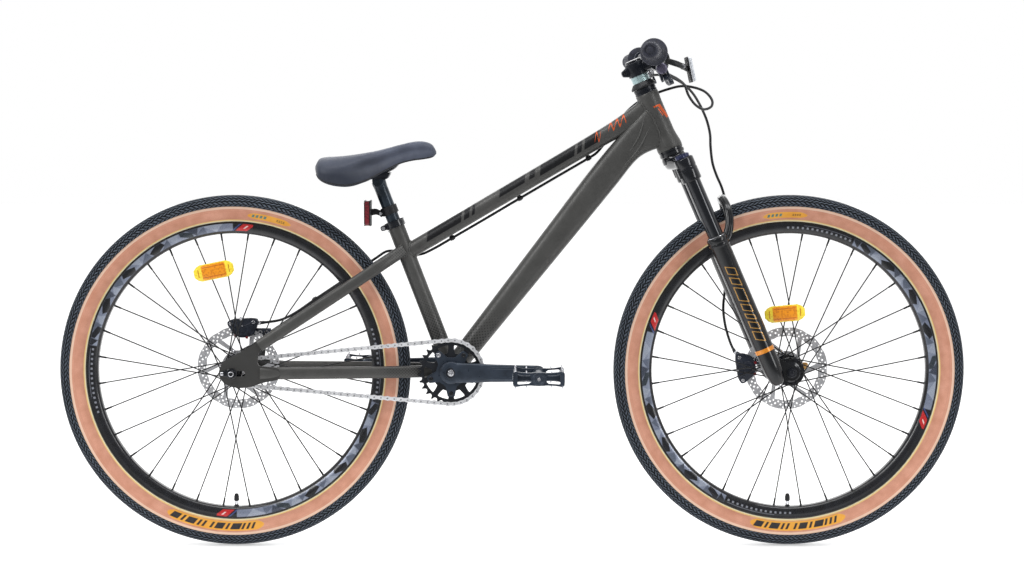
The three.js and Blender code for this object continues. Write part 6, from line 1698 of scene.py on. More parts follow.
def add_fork():
    crown = Shape()
    rows = []
    for k in range(17):
        share = -1 + k / 8
        away = abs(share)
        centre = Vector((LEG_AHEAD * away, share * LEG_SIDE, -25.15 - 12.85 * 0.6 * away))
        rows.append(ring(centre, Vector((0, 0, 12.85 * (1 - 0.42 * away ** 1.5))),
                         Vector((mix(22, 15.2, ease(away)), 0, 0)), 36, 0.62))
    crown.loft(rows)
    crown.stack((0, 0, -25), (0, 0, 1), [(0, 24), (8.5, 24), (9.4, 23.2), (12.7, 22.6)], 48)
    crown.stack((0, 0, -25), (0, 0, 1), [(0, 14.3), (201, 14.3), (201.5, 13.8)], 40)
    for side in (-1, 1):
        top = -24
        stations = [(0, 17.6), (0.8, 18.6), (2, 19), (17, 19), (18.6, 18.3), (20.4, 18.3), (22, 19),
                    (43.6, 19),
                    (45.4, 18.2), (46, 17.0), (46, 15.2)]
        crown.stack(leg(side, top), (0, 0, -1), stations, 48, caps=False)
        crown.stack(leg(side, -23.6), (0, 0, -1), [(0, 0.01), (0.01, 17.8)], 48, caps=False)
        # Clamp bolt at the back of each socket
        crown.loft([ring(leg(side, t, -15, side * 4), X * 5.5, Y * 6.5, 20, 0.6) for t in (-58, -57, -40,
                -39)])
    crown.stack(leg(1, -24), (0, 0, 1), [(0, 13), (3.6, 13), (5, 11.6), (5, 8.4), (3.8, 8.0), (3.8, 0.01)],
                32,
                caps=False, mat=0)
    stanchions = Shape()
    for side in (-1, 1):
        stanchions.stack(leg(side, -60), (0, 0, -1),
                         [(0, 15), (269, 15), (270, 14.4), (270, 12.4), (30, 12.4)], 48,
                         caps=False)
    in_steering(crown).build("fork_crown", "steering", crown_mat, "black_alloy", "fork_crown", sharp=34)
    in_steering(stanchions).build("fork_stanchions", "steering", stanchion_mat, "black_alloy", "fork_crown",
                                  sharp=40)
    spring = Shape()
    low, high = -433.0, -92.0
    coil = []
    steps = 34 * 18
    for k in range(steps + 1):
        a = TURN * k / 18
        coil.append(leg(-1, mix(low + 1.6, high - 1.6, k / steps), 9.1 * math.cos(a), 9.1 * math.sin(a)))
    spring.sweep(coil, 1.4, 7)
    in_steering(spring).build("fork_spring", "steering", steel, "bare_steel", "fork_spring", sharp=60)
    knob = Shape()
    outline = []
    for k in range(72):
        a = TURN * k / 72
        r = 13.1 + 0.8 * (0.5 + 0.5 * math.cos(12 * a)) ** 0.6
        outline.append((r * math.cos(a), r * math.sin(a)))
    rows = [[leg(-1, t, x * w, z * w) for x, z in outline] for t, w in
            ((-23.7, 0.96), (-23.2, 1), (-18.2, 1), (-17.0, 0.97), (-16.0, 0.86))]
    knob.loft(rows)
    knob.stack(leg(-1, -16.6), (0, 0, 1), [(0, 9.2), (1.5, 9.0), (1.9, 8.4), (1.9, 4.2), (1.2, 4.0),
                                           (1.2, 0.01)], 32,
               mat=1, caps=False)
    in_steering(knob).build("fork_preload_knob", "preload_knob", [knob_alloy, brake_alloy], "crank_alloy",
                            "fork_preload_knob",
                            sharp=30)
    # Lowers: legs, arch, feet and the hose guide
    lowers = Shape()
    for side in (-1, 1):
        stations = [(-0.6, 15.4), (-0.6, 18.6), (0.4, 20), (1.4, 20.5), (9.5, 20.5), (10.4, 19.9),
                    (11.2, 19.9),
                    (12.1, 20.5),
                    (15.6, 20.5), (17.6, 19.8), (20.4, 18.7), (246, 18.7), (262, 18.6), (276, 17.8),
                    (288, 15.6),
                    (296, 13.4),
                    (301, 10.6), (303, 7.0)]
        lowers.stack(leg(side, LEG_TOP), (0, 0, -1), stations, 56, caps=False)
        lowers.stack(leg(side, LEG_BOTTOM + 0.1), (0, 0, -1), [(0, 7.0), (0.01, 0.01)], 56, caps=False)
        lowers.stack(leg(side, LEG_TOP - 20), (0, 0, -1), [(0, 15.4), (220, 15.4)], 24, caps=False)
        socket_screw(lowers, leg(side, LEG_BOTTOM + 0.6), (0, 0, -1), 5.6, 2.8, 2)
        # Dust seal lip round the stanchion
        lowers.stack(leg(side, LEG_TOP + 0.2), (0, 0, 1),
                     [(0, 18.4), (1.6, 18.0), (3.2, 16.6), (3.6, 15.2), (0, 15.2)], 48, mat=1,
                     caps=False)
        lowers.stack(leg(side, LEG_TOP + 0.9), (0, 0, 1), [(0, 17.6), (0.5, 18.5), (1.2, 18.5), (1.6, 17.6)],
                     48,
                     mat=2, caps=False)
        # Rib down the back of the leg
        lowers.loft([ring(leg(side, t, -16.7), X * w, Y * 4.2, 16, 0.7) for t, w in
                     ((-222, 0.6), (-236, 2.2), (-400, 2.2), (-416, 0.6))])
        # Foot that holds the axle
        hub_at = Vector((FORK_OFFSET, 0, -FORK_LENGTH))
        # It starts ahead of the bore that the spring runs in; a thin web inside the leg wall carries it
        outline = [(21.2, LEG_BOTTOM + 54), (24.2, LEG_BOTTOM + 54)]
        for k in range(18):
            a = TURN * (0.17 - 0.54 * k / 17)
            outline.append((hub_at.x + 15 * math.cos(a), hub_at.z + 15 * math.sin(a)))
        outline += [(21.2, LEG_BOTTOM - 0.5)]
        low, high = (50.2, 58.8) if side > 0 else (-58.8, -50.2)
        lowers.plate(outline, [circle(4.9, 24, hub_at.x, hub_at.z)], low, high)
        web = [(4.2, LEG_BOTTOM + 7), (4.2, LEG_BOTTOM + 54), (23.2, LEG_BOTTOM + 53.4),
               (23.2, LEG_BOTTOM + 0.5),
               (15.2, LEG_BOTTOM - 0.4)]
        low, high = (50.2, 53.9) if side > 0 else (-53.9, -50.2)
        lowers.plate(web, [], low, high)
        lowers.stack(hub_at + Y * side * 58.6, Y * side, [(0, 11.4), (0.9, 11.2), (0.9, 5.0)], 36, caps=False)
    base, rise = LEG_TOP - 9, (R + 16.5 - FORK_LENGTH) - (LEG_TOP - 9)
    half = [(0.30, 1.0, -0.05), (0.5, 1, 0.02), (0.72, 0.95, 0.18), (0.9, 0.82, 0.42), (1, 0.62, 0.74),
            (1.01, 0.32, 0.95), (1.01, 0, 1.0)]
    path = [Vector((53 * a, 60 * y, base + rise * t)) for a, y, t in half]
    path = path + [Vector((p.x, -p.y, p.z)) for p in reversed(path[:-1])]
    path = smooth(path, 64)
    for thick, deep in ((7.6, 8.2), (8.6, 4.2)):
        rows = []
        for i, p in enumerate(path):
            ahead = heading(path, i)
            level = X - ahead * ahead.x
            level.normalize()
            rows.append(ring(p, ahead.cross(level) * thick, level * deep, 20, 0.6))
        lowers.loft(rows)
    # Hose guide beside the arch, holding the hose
    hose_path = smooth([Vector((s, y * HOSE_OUT, RISE + t)) for s, y, t in FRONT_COCKPIT]
                       + [Vector((s, y, -FORK_LENGTH * k)) for s, y, k in FORK_HOSE], 300)
    near = min(range(len(hose_path)), key=lambda i: (hose_path[i] - Vector((45, 54,
                                                                            base + rise * 0.28))).length)
    at = hose_path[near]
    d = (hose_path[near + 2] - hose_path[near - 2]).normalized()
    lowers.stack(at - d * 5, d, [(0, 4.2), (0.6, 4.8), (9.4, 4.8), (10, 4.2)], 20, mat=1)
    target = min(path, key=lambda p: (p - at).length)
    lowers.rod(target, at, 3.6, 14, mat=1)
    in_steering(lowers).build("fork_lowers", "fork_slider", [lowers_material(), plastic, bright],
                              "fork_paint",
                              "fork_lowers",
                              sharp=36)


add_fork()


# axles and brakes, round the wheels' centres
def hexagon(shape, at, out, flats, tall, mat=0):
    """Flanged hexagon nut or head with chamfered corners."""
    at, out = Vector(at), Vector(out).normalized()
    r = flats / math.sqrt(3)
    shape.stack(at, out, [(0, r * 1.02), (tall * 0.8, r * 1.02), (tall, r * 0.9)], 6, mat)
    shape.stack(at, out, [(0, r * 1.18), (tall * 0.18, r * 1.18), (tall * 0.26, r * 1.0)], 32, mat)


def add_axles():
    front = Shape()
    front.stack((0, -67.3, 0), Y, [(0, 3.6), (0.6, 4.5), (8, 4.5)], 24, mat=1)
    front.stack((0, -59.5, 0), Y, [(0, 4.5), (124.2, 4.5)], 24)
    hexagon(front, (0, -59.5, 0), -Y, 15, 7.2, mat=1)
    front.stack((0, -59.4, 0), -Y, [(0, 8.9), (1.6, 8.9)], 32, mat=1)
    front.stack((0, -66.6, 0), -Y, [(0, 3.9), (0.5, 3.7)], 20)
    cam = [(-6, 4.4), (-5.4, 5), (5.4, 5), (6, 4.4)]
    front.stack((0, 68, 0), (0, 0, 1), cam, 28)
    front.stack((0, 59.4, 0), Y, [(0, 8.6), (2.6, 8.6), (3.0, 7.6), (5.0, 7.4)], 32, mat=1)
    front.build("front_axle", "fork_slider", [steel, black_alloy], "bare_steel", "front_axle", local=FRONT,
                sharp=34)
    lever = Shape()
    for sgn in (-1, 1):
        lever.stack((0, 68, sgn * 6.3), (0, 0, sgn), [(0, 6.6), (0.4, 7), (2.6, 7), (3, 6.5)], 32)
        lever.stack((0, 68, sgn * 9.2), (0, 0, sgn), [(0, 3.8), (0.8, 3.4)], 20, mat=1)
    rows = []
    for x, half, thick, y in ((6.6, 9.1, 2.6, 68), (10, 9.2, 2.7, 68), (16, 8.8, 2.7, 68.4),
                              (28, 7.6, 2.6, 69.2),
                              (38, 8.2, 2.4, 69.6), (43, 8.0, 2.2, 69.4),
                              (45.6, 5.8, 1.4, 69.2)):
        rows.append(ring(Vector((x, y, 0)), Z * half, Y * thick, 28, 0.5))
    lever.loft(blended(rows, 4))
    for sgn in (-1, 1):
        lever.loft([ring(Vector((x, 68, sgn * 7.75)), Z * 1.45, Y * 2.7, 12, 0.5) for x in (0, 8)])
    lever.build("axle_lever", "quick_release", [brass_alloy, steel], "grey_alloy", "axle_lever", local=FRONT,
                sharp=34)
    rear = Shape()
    rear.stack((0, -87, 0), Y, [(0, 3.8), (1, 4.9), (173, 4.9), (174, 3.8)], 28)
    for side in (-1, 1):
        rear.stack((0, side * 86.9, 0), Y * side, [(0, 3.7), (0.3, 3.5), (0.3, 1.6)], 24, mat=2)
    for side in (-1, 1):
        rear.stack((0, side * 75.1, 0), Y * side, [(0, 10.4), (1.6, 10.4), (1.9, 9.8)], 36, mat=2)
        hexagon(rear, (0, side * 76.6, 0), Y * side, 15, 6.6, mat=2)
        for k in range(7):
            d = 83.4 + k * 0.5
            rear.stack((0, side * d, 0), Y * side, [(0, 4.6), (0.25, 5.1), (0.5, 4.6)], 24)
        # Tensioner eye behind the nut, with the bright end of its screw
        rear.loft([ring(Vector((x, side * 76.3, 0)), Z * h, Y * 1.1, 16, 0.6) for x,
                   h in ((-6, 7.0), (-12, 6.4), (-17, 5.4))], mat=2)
        rear.loft([ring(Vector((x, side * 77.6, 0)), Z * h, Y * h * 0.55, 20) for x, h in
                   ((-14.4, 1.4), (-15.2, 3.2), (-17.4, 3.8), (-20.2, 3.2), (-21.0, 1.4))], mat=0)
    rear.build("rear_axle", "frame", [steel, bright, black_gloss], "bare_steel", "rear_axle", local=REAR,
               sharp=34)


def add_caliper(name, body, centre, plane, angle, foot, hose_end):
    shape = Shape()
    place = round_y(angle)
    local = Shape()
    # Two halves with stepped faces and piston caps, joined over the disc
    body_at = [(97.6, -27.5), (98, -21), (97.8, -11), (94.6, 7), (92.6, 19), (87, 30), (80.4, 29),
               (72.6, 22.4),
               (63.6, 14.2),
               (58.6, 3), (60.2, -11), (68, -24), (84, -28)]
    middle = Vector((80, 0, -2))

    def face(grow):
        return rounded([middle + (Vector((u, 0, v)) - middle) * grow for u, v in body_at], 3.2, 4)
    for sgn, out in ((-1, 10.4), (1, 14.3)):
        levels = ((5.3, out - 3.2, 1.0), (out - 3.2, out - 1.7, 0.9), (out - 1.7, out - 0.7, 0.74))
        for low, high, grow in levels:
            a, b = sorted((plane + sgn * low, plane + sgn * high))
            local.plate(face(grow), [], a, b)
        # Piston cap with a hexagon pressed into it, and a rib from it to the hose end
        local.stack((74, plane + sgn * (out - 1.9), -3), Y * sgn,
                    [(0, 10.6), (1.2, 10.6), (1.9, 9.8), (1.9, 6.2), (1.2, 5.8)], 36, caps=False)
        local.stack((74, plane + sgn * (out - 0.8), -3), Y * sgn, [(0, 5.9), (0.5, 5.7)], 6, mat=0)
        for u0, v0, u1, v1 in ((84, -8, 93, -22), (80, 6, 85, 20)):
            local.rod((u0, plane + sgn * (out - 1.2), v0), (u1, plane + sgn * (out - 1.2), v1), 1.5, 12)
        for u, v in ((91.5, -20.5), (83.6, 23)):
            local.stack((u, plane + sgn * (out - 2.6), v), Y * sgn, [(0, 4.4), (1.5, 4.4)], 24)
            socket_screw(local, (u, plane + sgn * (out - 1.2), v), Y * sgn, 3.1, 2.0 if sgn > 0 else 1.1, 1)
    bridge = [(85.4, -24), (96.6, -25), (97.4, -10), (94, 8), (91, 19), (84.4, 22)]
    local.plate(bridge, [[(86.4, -7), (91.5, -7), (91.5, 7), (86.4, 7)]], plane - 8.6, plane + 9.6)
    for v in (-5.4, -2.4, 0.6, 3.6):
        local.box((91.5, plane - 9.3, v), (96.4, plane + 10.2, v + 1.1))
    # Pad pin with its clip, red tabs of the pad spring, bleed screw and hose fitting
    local.rod((82, plane - 10.6, 0), (82, plane + 13.2, 0), 1.5, 12, mat=1)
    for v in (-13, 9):
        local.box((58.2, plane - 8.4, v), (63, plane - 5.6, v + 4.6), mat=2)
    local.stack((93.4, plane - 6.5, 4), Vector((1, -0.5, 0.2)),
                [(0, 3.4), (2.4, 3.4), (2.6, 2.4), (5.0, 2.4), (5.6, 1.6)], 6, mat=1)
    end = place.inverted() @ hose_end
    away = (Vector((90, plane + 3, -24)) - end).normalized()
    local.stack(end - away * 1.0, away, [(0, 3.2), (1.4, 3.7), (5.4, 3.7), (5.8, 4.6), (10, 4.6), (14, 5.2),
                                         (18, 5.2)], 24, mat=0)
    local.stack(end + away * 1.2, away, [(0, 4.3), (3.4, 4.3)], 6, mat=1)
    shape.merge(local, place)
    # Mount foot with its screws
    (back, ahead), (near, far), (low, high) = foot
    rows = []
    mid = Vector(((back + ahead) / 2, (near + far) / 2, (low + high) / 2))
    for k, w in ((-1, 0.9), (-0.94, 1), (0.94, 1), (1, 0.9)):
        rows.append(ring(mid + Vector((k * (ahead - back) / 2, 0, 0)), Vector((0, 0, (high - low) / 2 * w)),
                         Y * ((far - near) / 2 * w), 24, 0.5))
    shape.loft(rows)
    for k in (0.2, 0.5, 0.8):
        at = Vector((mix(back, ahead, k), near + 0.4, mid.z))
        shape.stack(at, -Y, [(0, 4.4), (0.6, 4.2), (0.6, 2.4), (-0.6, 2.2), (-0.6, 0.01)], 20, mat=1,
                    caps=False)
    for k in (0.2, 0.8):
        at = Vector((mix(back, ahead, k), far - 0.4, mid.z))
        shape.stack(at, Y, [(0, 5.2), (0.8, 5.2)], 24, mat=2)
        socket_screw(shape, at + Y * 0.8, Y, 3.8, 3.4, 1)
    shape.build(name, body, [brake_alloy, steel, red_alloy], "brake_body", name, local=centre, sharp=32,
                bevel=0.35)


def add_pads(tag, bodies, centre, plane, angle):
    for part, sgn in (("inner", -1), ("outer", 1)):
        local = Shape()
        near = plane + sgn * 1.25
        outline = [(60.8, -9), (62.5, -11.5), (66, -12), (76, -12), (79.4, -10.5), (80.4, -6), (80.4, 6),
                   (79.4, 10.5), (76, 12),
                   (66, 12), (62.5, 11.5), (60.8, 9)]
        a, b = sorted((near, near + sgn * 1.7))
        local.plate([(70.6 + (x - 70.6) * 0.94, z * 0.94) for x, z in outline], [], a, b, mat=0)
        a, b = sorted((near + sgn * 1.7, near + sgn * 3.5))
        local.plate(outline, [circle(1.2, 12, 77.6, 0)], a, b, mat=1)
        whole = Shape().merge(local, round_y(angle))
        name = tag + "_pad_" + part
        whole.build(name, bodies + part, [pad_block, steel], "pad_metal", name, local=centre, sharp=30,
                    bevel=0.25)


# Each brake's angle round its axle, from ahead of it over the top
FRONT_BRAKE, REAR_BRAKE = math.radians(179.6), math.radians(84)
pad_block = speckle(Mat("pad_block", rgb(96, 82, 66), 0.8), rgb(74, 64, 54), rgb(128, 108, 84), 1.6,
                    (0.7, 0.9), 0.4,
                    0.05)
add_axles()
add_caliper("front_caliper", "fork_slider", FRONT, FRONT_DISC, FRONT_BRAKE, ((-92, -44), (44, 56), (6, 26)),
            STEER @ Vector((FORK_HOSE[-1][0], FORK_HOSE[-1][1], -FORK_LENGTH * FORK_HOSE[-1][2])) - FRONT)
add_caliper("rear_caliper", "frame", REAR, REAR_DISC, REAR_BRAKE, ((22, 62), (54, 67.4), (60, 76)),
            Vector((42.5, 58, 86.5)))
add_pads("front", "pad_front_", FRONT, FRONT_DISC, FRONT_BRAKE)
add_pads("rear", "pad_rear_", REAR, REAR_DISC, REAR_BRAKE)


# chain drive
LINKS, DISTANCE = 86, 414.143
LARGE, SMALL = PITCH / 2 / math.sin(math.pi / TEETH), PITCH / 2 / math.sin(math.pi / COG_TEETH)
LEAN = math.asin((LARGE - SMALL) / DISTANCE)
WRAP = (math.pi + 2 * LEAN) / TURN * TEETH
STRAIGHT = DISTANCE * math.cos(LEAN) / PITCH
CHAIN_TILT = math.asin(0.5 / DISTANCE)
START = math.pi / 2 + LEAN


def chain_point(u):
    if u < WRAP:
        x, r, a = DISTANCE, LARGE, START - u * TURN / TEETH
    elif u < WRAP + STRAIGHT:
        k = (u - WRAP) / STRAIGHT
        x, r, a = mix(DISTANCE, 0, k), mix(LARGE, SMALL, k), -START
    elif u < LINKS - STRAIGHT:
        x, r, a = 0, SMALL, -START - (u - WRAP - STRAIGHT) * TURN / COG_TEETH
    else:
        k = (u - LINKS + STRAIGHT) / STRAIGHT
        x, r, a = mix(0, DISTANCE, k), mix(SMALL, LARGE, k), START
    return Vector((x + r * math.cos(a), 0, r * math.sin(a)))


def toothed(teeth, gap_angle, tip, tip_half):
    pitch = PITCH / 2 / math.sin(math.pi / teeth)
    step = TURN / teeth
    out = []
    for k in range(teeth):
        g = gap_angle + step * k
        for i in range(7):
            a = math.radians(-62 + 124 * i / 6)
            # round seat of the roller, open outwards
            x, z = -4.0 * math.cos(a), 4.0 * math.sin(a)
            r = pitch + x
            out.append((r * math.cos(g) - z * math.sin(g), r * math.sin(g) + z * math.cos(g)))
        t = g + step / 2
        for z, up in ((-tip_half * 1.5, tip - 0.9), (-tip_half, tip - 0.1), (tip_half, tip - 0.1),
                      (tip_half * 1.5, tip - 0.9)):
            r = pitch + up
            out.append((r * math.cos(t) - z * math.sin(t), r * math.sin(t) + z * math.cos(t)))
    return out


def rounded_window(middle, half, inner, outer, cut):
    """Ring segment with rounded corners."""
    arc_out = [(outer, middle - half + 2 * half * k / 6) for k in range(7)]
    arc_in = [(inner, middle + half * 0.62 - 2 * half * 0.62 * k / 4) for k in range(5)]
    loop = [spot(r, a) for r, a in arc_out + arc_in]
    return rounded(loop, cut, 5, 0.48, blunt=2.4)


ring_black = anodised("chainring_black", rgb(26, 29, 35), 0.36, 0.2, 0.4)
crank_mat = Mat("crank_finish", rgb(45, 53, 65), 0.32, 0.35)
speckle(crank_mat, rgb(41, 49, 60), rgb(54, 63, 76), 22, (0.26, 0.38), 0.5, 0.014)
chain_steel = anodised("chain_steel", rgb(228, 229, 232), 0.3, 0.1, 0.45, 0.4)
chain_dark = anodised("chain_pin", rgb(150, 151, 156), 0.28, 0.1, 0.5, 0.4)


def add_chain():
    shape = Shape()
    pins = [chain_point(u) for u in range(LINKS)]

    def link_outline(end, waist):
        return [*arc(PITCH / 2, 0, end, -100, 200, 9), (0, waist), *arc(-PITCH / 2, 0, end, 80, 200, 9),
                (0, -waist)]
    outer, inner = link_outline(4.15, 3.0), link_outline(4.1, 2.9)
    for k in range(LINKS):
        a, b = pins[k], pins[(k + 1) % LINKS]
        d = (b - a).normalized()
        mid = (a + b) / 2
        place = Matrix(((d.x, 0, -d.z, mid.x), (0, 1, 0, -CHAIN_LINE), (d.z, 0, d.x, mid.z), (0, 0, 0, 1)))
        plain = Shape()
        if k % 2:
            plain.plate(outer, [], 2.5, 3.25)
            plain.plate(outer, [], -3.25, -2.5)
        else:
            plain.plate(inner, [], 1.72, 2.42)
            plain.plate(inner, [], -2.42, -1.72)
        shape.merge(plain, place)
        at = a - Y * CHAIN_LINE
        shape.stack(at - Y * 1.66, Y, [(0, 3.3), (0.3, 3.75), (3.02, 3.75), (3.32, 3.3)], 14)
        shape.stack(at - Y * 3.3, Y, [(-0.1, 1.2), (0.1, 1.75), (6.5, 1.75), (6.7, 1.2)], 12, mat=1)
    tilt = Matrix.Translation(REAR) @ round_y(CHAIN_TILT)
    Shape().merge(shape, tilt).build("chain", "frame", [chain_steel, chain_dark], "bare_steel", "chain",
                                     sharp=34)


def add_rings():
    gap_angle = START + CHAIN_TILT
    step = TURN / 5
    shape = Shape()
    windows = [rounded_window(step * (k + 0.75) / 2 + step * 0.125, step * 0.175, 36.5, 51.6,
                              6.0) for k in range(10)]
    shape.plate(toothed(TEETH, gap_angle, 2.6, 0.9), [circle(17.4, 40), *windows], -48.2, -45.8)
    # A raised rib round the windows and a chamfered rim under the teeth
    shape.turned([(52.6, -48.8), (53.8, -48.8), (54.3, -48.1), (52.0, -48.1)], 96)
    shape.turned([(24.4, -48.65), (26.6, -48.65), (27.2, -48.1), (23.8, -48.1)], 64)
    shape.build("chainring", "cranks", [ring_black, steel], "crank_alloy", "chainring", local=BRACKET,
                sharp=30,
                bevel=0.3,
                segments=1)
    cog = Shape()
    first = math.ceil(WRAP + STRAIGHT)
    phase = -START - (first - WRAP - STRAIGHT) * TURN / COG_TEETH + CHAIN_TILT
    cog.plate(toothed(COG_TEETH, phase, 2.4, 0.8), [circle(15.4, 32)], -48.1, -45.9)
    cog.turned([(15.35, -54), (16.6, -54), (17.2, -53.4), (17.2, -48.9), (16.4, -48.4), (16.4, -45.6),
                (17.2, -45.0),
                (17.2, -41.1),
                (16.6, -40.5), (15.35, -40.5)], 48, mat=1)
    for k in range(12):
        a = TURN * k / 12
        cog.rod(spot(16.2, a, -54.3), spot(16.2, a, -53.0), 0.7, 6, mat=1)
    cog.build("rear_sprocket", "sprocket", [chain_steel, black_alloy], "bare_steel", "rear_sprocket",
              local=REAR,
              sharp=30,
              bevel=0.2, segments=1)


def arm_inside(share):
    """From the centre plane to the inner face of a crank arm, at a share of its length."""
    return mix(52, 70, clamp(share))


def add_cranks():
    for name, side, ahead in (("crank_right", -1, 1), ("crank_left", 1, -1)):
        shape = Shape()
        rows = []
        for share, half, thick, q in ((-0.118, 5.0, 9, 0.9), (-0.095, 12.5, 12.4, 0.75),
                                      (-0.045, 17.2, 14.4, 0.62),
                                            (0.0, 19.0, 15, 0.56), (0.12, 18.9, 15.2, 0.52),
                                            (0.25, 18.4, 15, 0.5),
                                            (0.45, 16.9, 14.2, 0.48), (0.7, 16.1, 13.4, 0.46),
                                            (0.94, 15.6, 13, 0.48), (1.0, 15.4, 13, 0.52),
                                            (1.045, 13.0, 12.6, 0.6),
                                            (1.066, 8.0, 10.6, 0.8)):
            rows.append(ring(Vector((ahead * CRANK * share, side * (arm_inside(share) + 7.2), 0)), Z * half,
                             Y * (thick / 2), 40,
                             q))
        shape.loft(blended(rows, 4))
        # Two ridges down the outside of the arm
        for sgn in (-1, 1):
            ridge = []
            for k in range(25):
                share = mix(0.16, 0.9, k / 24)
                half = mix(18.6, 15.4, ease(share * 2.2)) * 0.62
                lift = 0.4 + 0.9 * math.sin(math.pi * k / 24) ** 0.5
                ridge.append(Vector((ahead * CRANK * share, side * (arm_inside(share) + 13.1 + lift),
                                     sgn * half)))
            rows = []
            for k, p in enumerate(ridge):
                w = 0.3 + 2.3 * math.sin(math.pi * k / 24) ** 0.6
                rows.append(ring(p - Y * side * 1.0, Z * w, Y * 1.0, 14, 0.9))
            shape.loft(rows)
        shape.turned([(13.0, side * 52.2), (21.0, side * 52.2), (21.0, side * 64.8), (19.6, side * 66.6),
                      (13.0, side * 66.9)], 56)
        if side < 0:
            shape.stack((0, -66, 0), Y, [(0, 12), (133.2, 12), (134, 11.2)], 36, mat=2)
            # Spider under the chainring, with its screws
            step = TURN / 5
            star = []
            for k in range(5):
                m = step * (k + 0.75)
                for r, a in ((28.0, m - step * 0.5), (29, m - step * 0.30), (40.5, m - step * 0.16),
                             (45.6, m - step * 0.12), (47, m - step * 0.07),
                             (47, m + step * 0.07), (45.6, m + step * 0.12), (40.5, m + step * 0.16),
                             (29, m + step * 0.30)):
                    star.append((r * math.cos(a), r * math.sin(a)))
            shape.plate(star, [circle(12.2, 32)], -52.4, -48.95)
            for k in range(5):
                m = step * (k + 0.75)
                at = spot(40.5, m, -52.3)
                shape.stack(at, -Y, [(0, 4.4), (0.7, 4.4), (1.2, 3.9), (1.2, 2.4), (0.2, 2.2), (0.2, 0.01)],
                            24,
                            mat=1 if k == 1 else 2, caps=False)
            shape.stack((0, -66.4, 0), -Y, [(0, 9.8), (0.5, 9.8), (0.7, 8.6), (0.3, 8.3)], 40, mat=2,
                        caps=False)
            shape.stack((0, -66.3, 0), -Y, [(0, 7.5), (1.6, 7.5), (2.2, 6.9), (2.2, 5.8)], 36, mat=2,
                        caps=False)
            shape.stack((0, -66.3, 0), -Y, [(1.2, 5.9), (2.7, 5.8), (3.0, 5.3), (3.0, 3.2), (1.4, 3.0),
                                            (1.4, 0.01)],
                        36, mat=1, caps=False)
            for k in range(4):
                a = TURN * (k + 0.5) / 4
                shape.rod(spot(1.6, a, -68.2), spot(4.0, a, -68.9), 0.7, 8, mat=1)
        else:
            shape.stack((0, 66.2, 0), Y, [(0, 17), (0.5, 16.8), (0.9, 16), (0.9, 13)], 48, caps=False)
            for s2 in (-1, 1):
                socket_screw(shape, (ahead * 22, 59.5, s2 * 15.0), (0, 0, s2), 3.8, 3.0, 1)
        # Pedal axle with wrench flats
        shape.stack((ahead * CRANK, side * 76, 0), Y * side,
                    [(0, 9.4), (7.6, 9.4), (8.2, 8.8), (8.2, 7.6), (11.5, 7.6), (12, 7.0), (13, 7.0),
                     (13, 5.0),
                                                          (107, 5.0), (108, 4.4)], 30, mat=1)
        shape.stack((ahead * CRANK, side * 69.6, 0), Y * side,
                    [(0, 8.6), (0.6, 8.2), (0.6, 4.2), (2.0, 4.0), (2.0, 0.01)], 28, mat=1, caps=False)
        shape.build(name, "cranks", [crank_mat, steel, black_gloss], "crank_alloy", name, local=BRACKET,
                    sharp=32,
                    bevel=0.25,
                    segments=1)
    cups = Shape()
    for side in (-1, 1):
        cups.turned([(12.6, side * 36.8), (21, side * 36.8), (21, side * 42.9), (20.3, side * 43.6),
                     (12.6, side * 43.6)], 56)
        for k in range(16):
            a = TURN * k / 16
            cups.rod(spot(20.6, a, side * 37.6), spot(20.6, a, side * 42.8), 1.1, 8)
        cups.turned([(12.5, side * 43.5), (18.5, side * 43.5), (18.5, side * 44.0), (12.5, side * 44.0)], 48,
                    mat=1)
    cups.turned([(14.6, -36.9), (16.7, -36.9), (16.7, 36.9), (14.6, 36.9)], 40, mat=1)
    cups.build("bottom_bracket", "frame", [black_alloy, plastic], "black_alloy", "bottom_bracket",
               local=BRACKET,
               sharp=32)


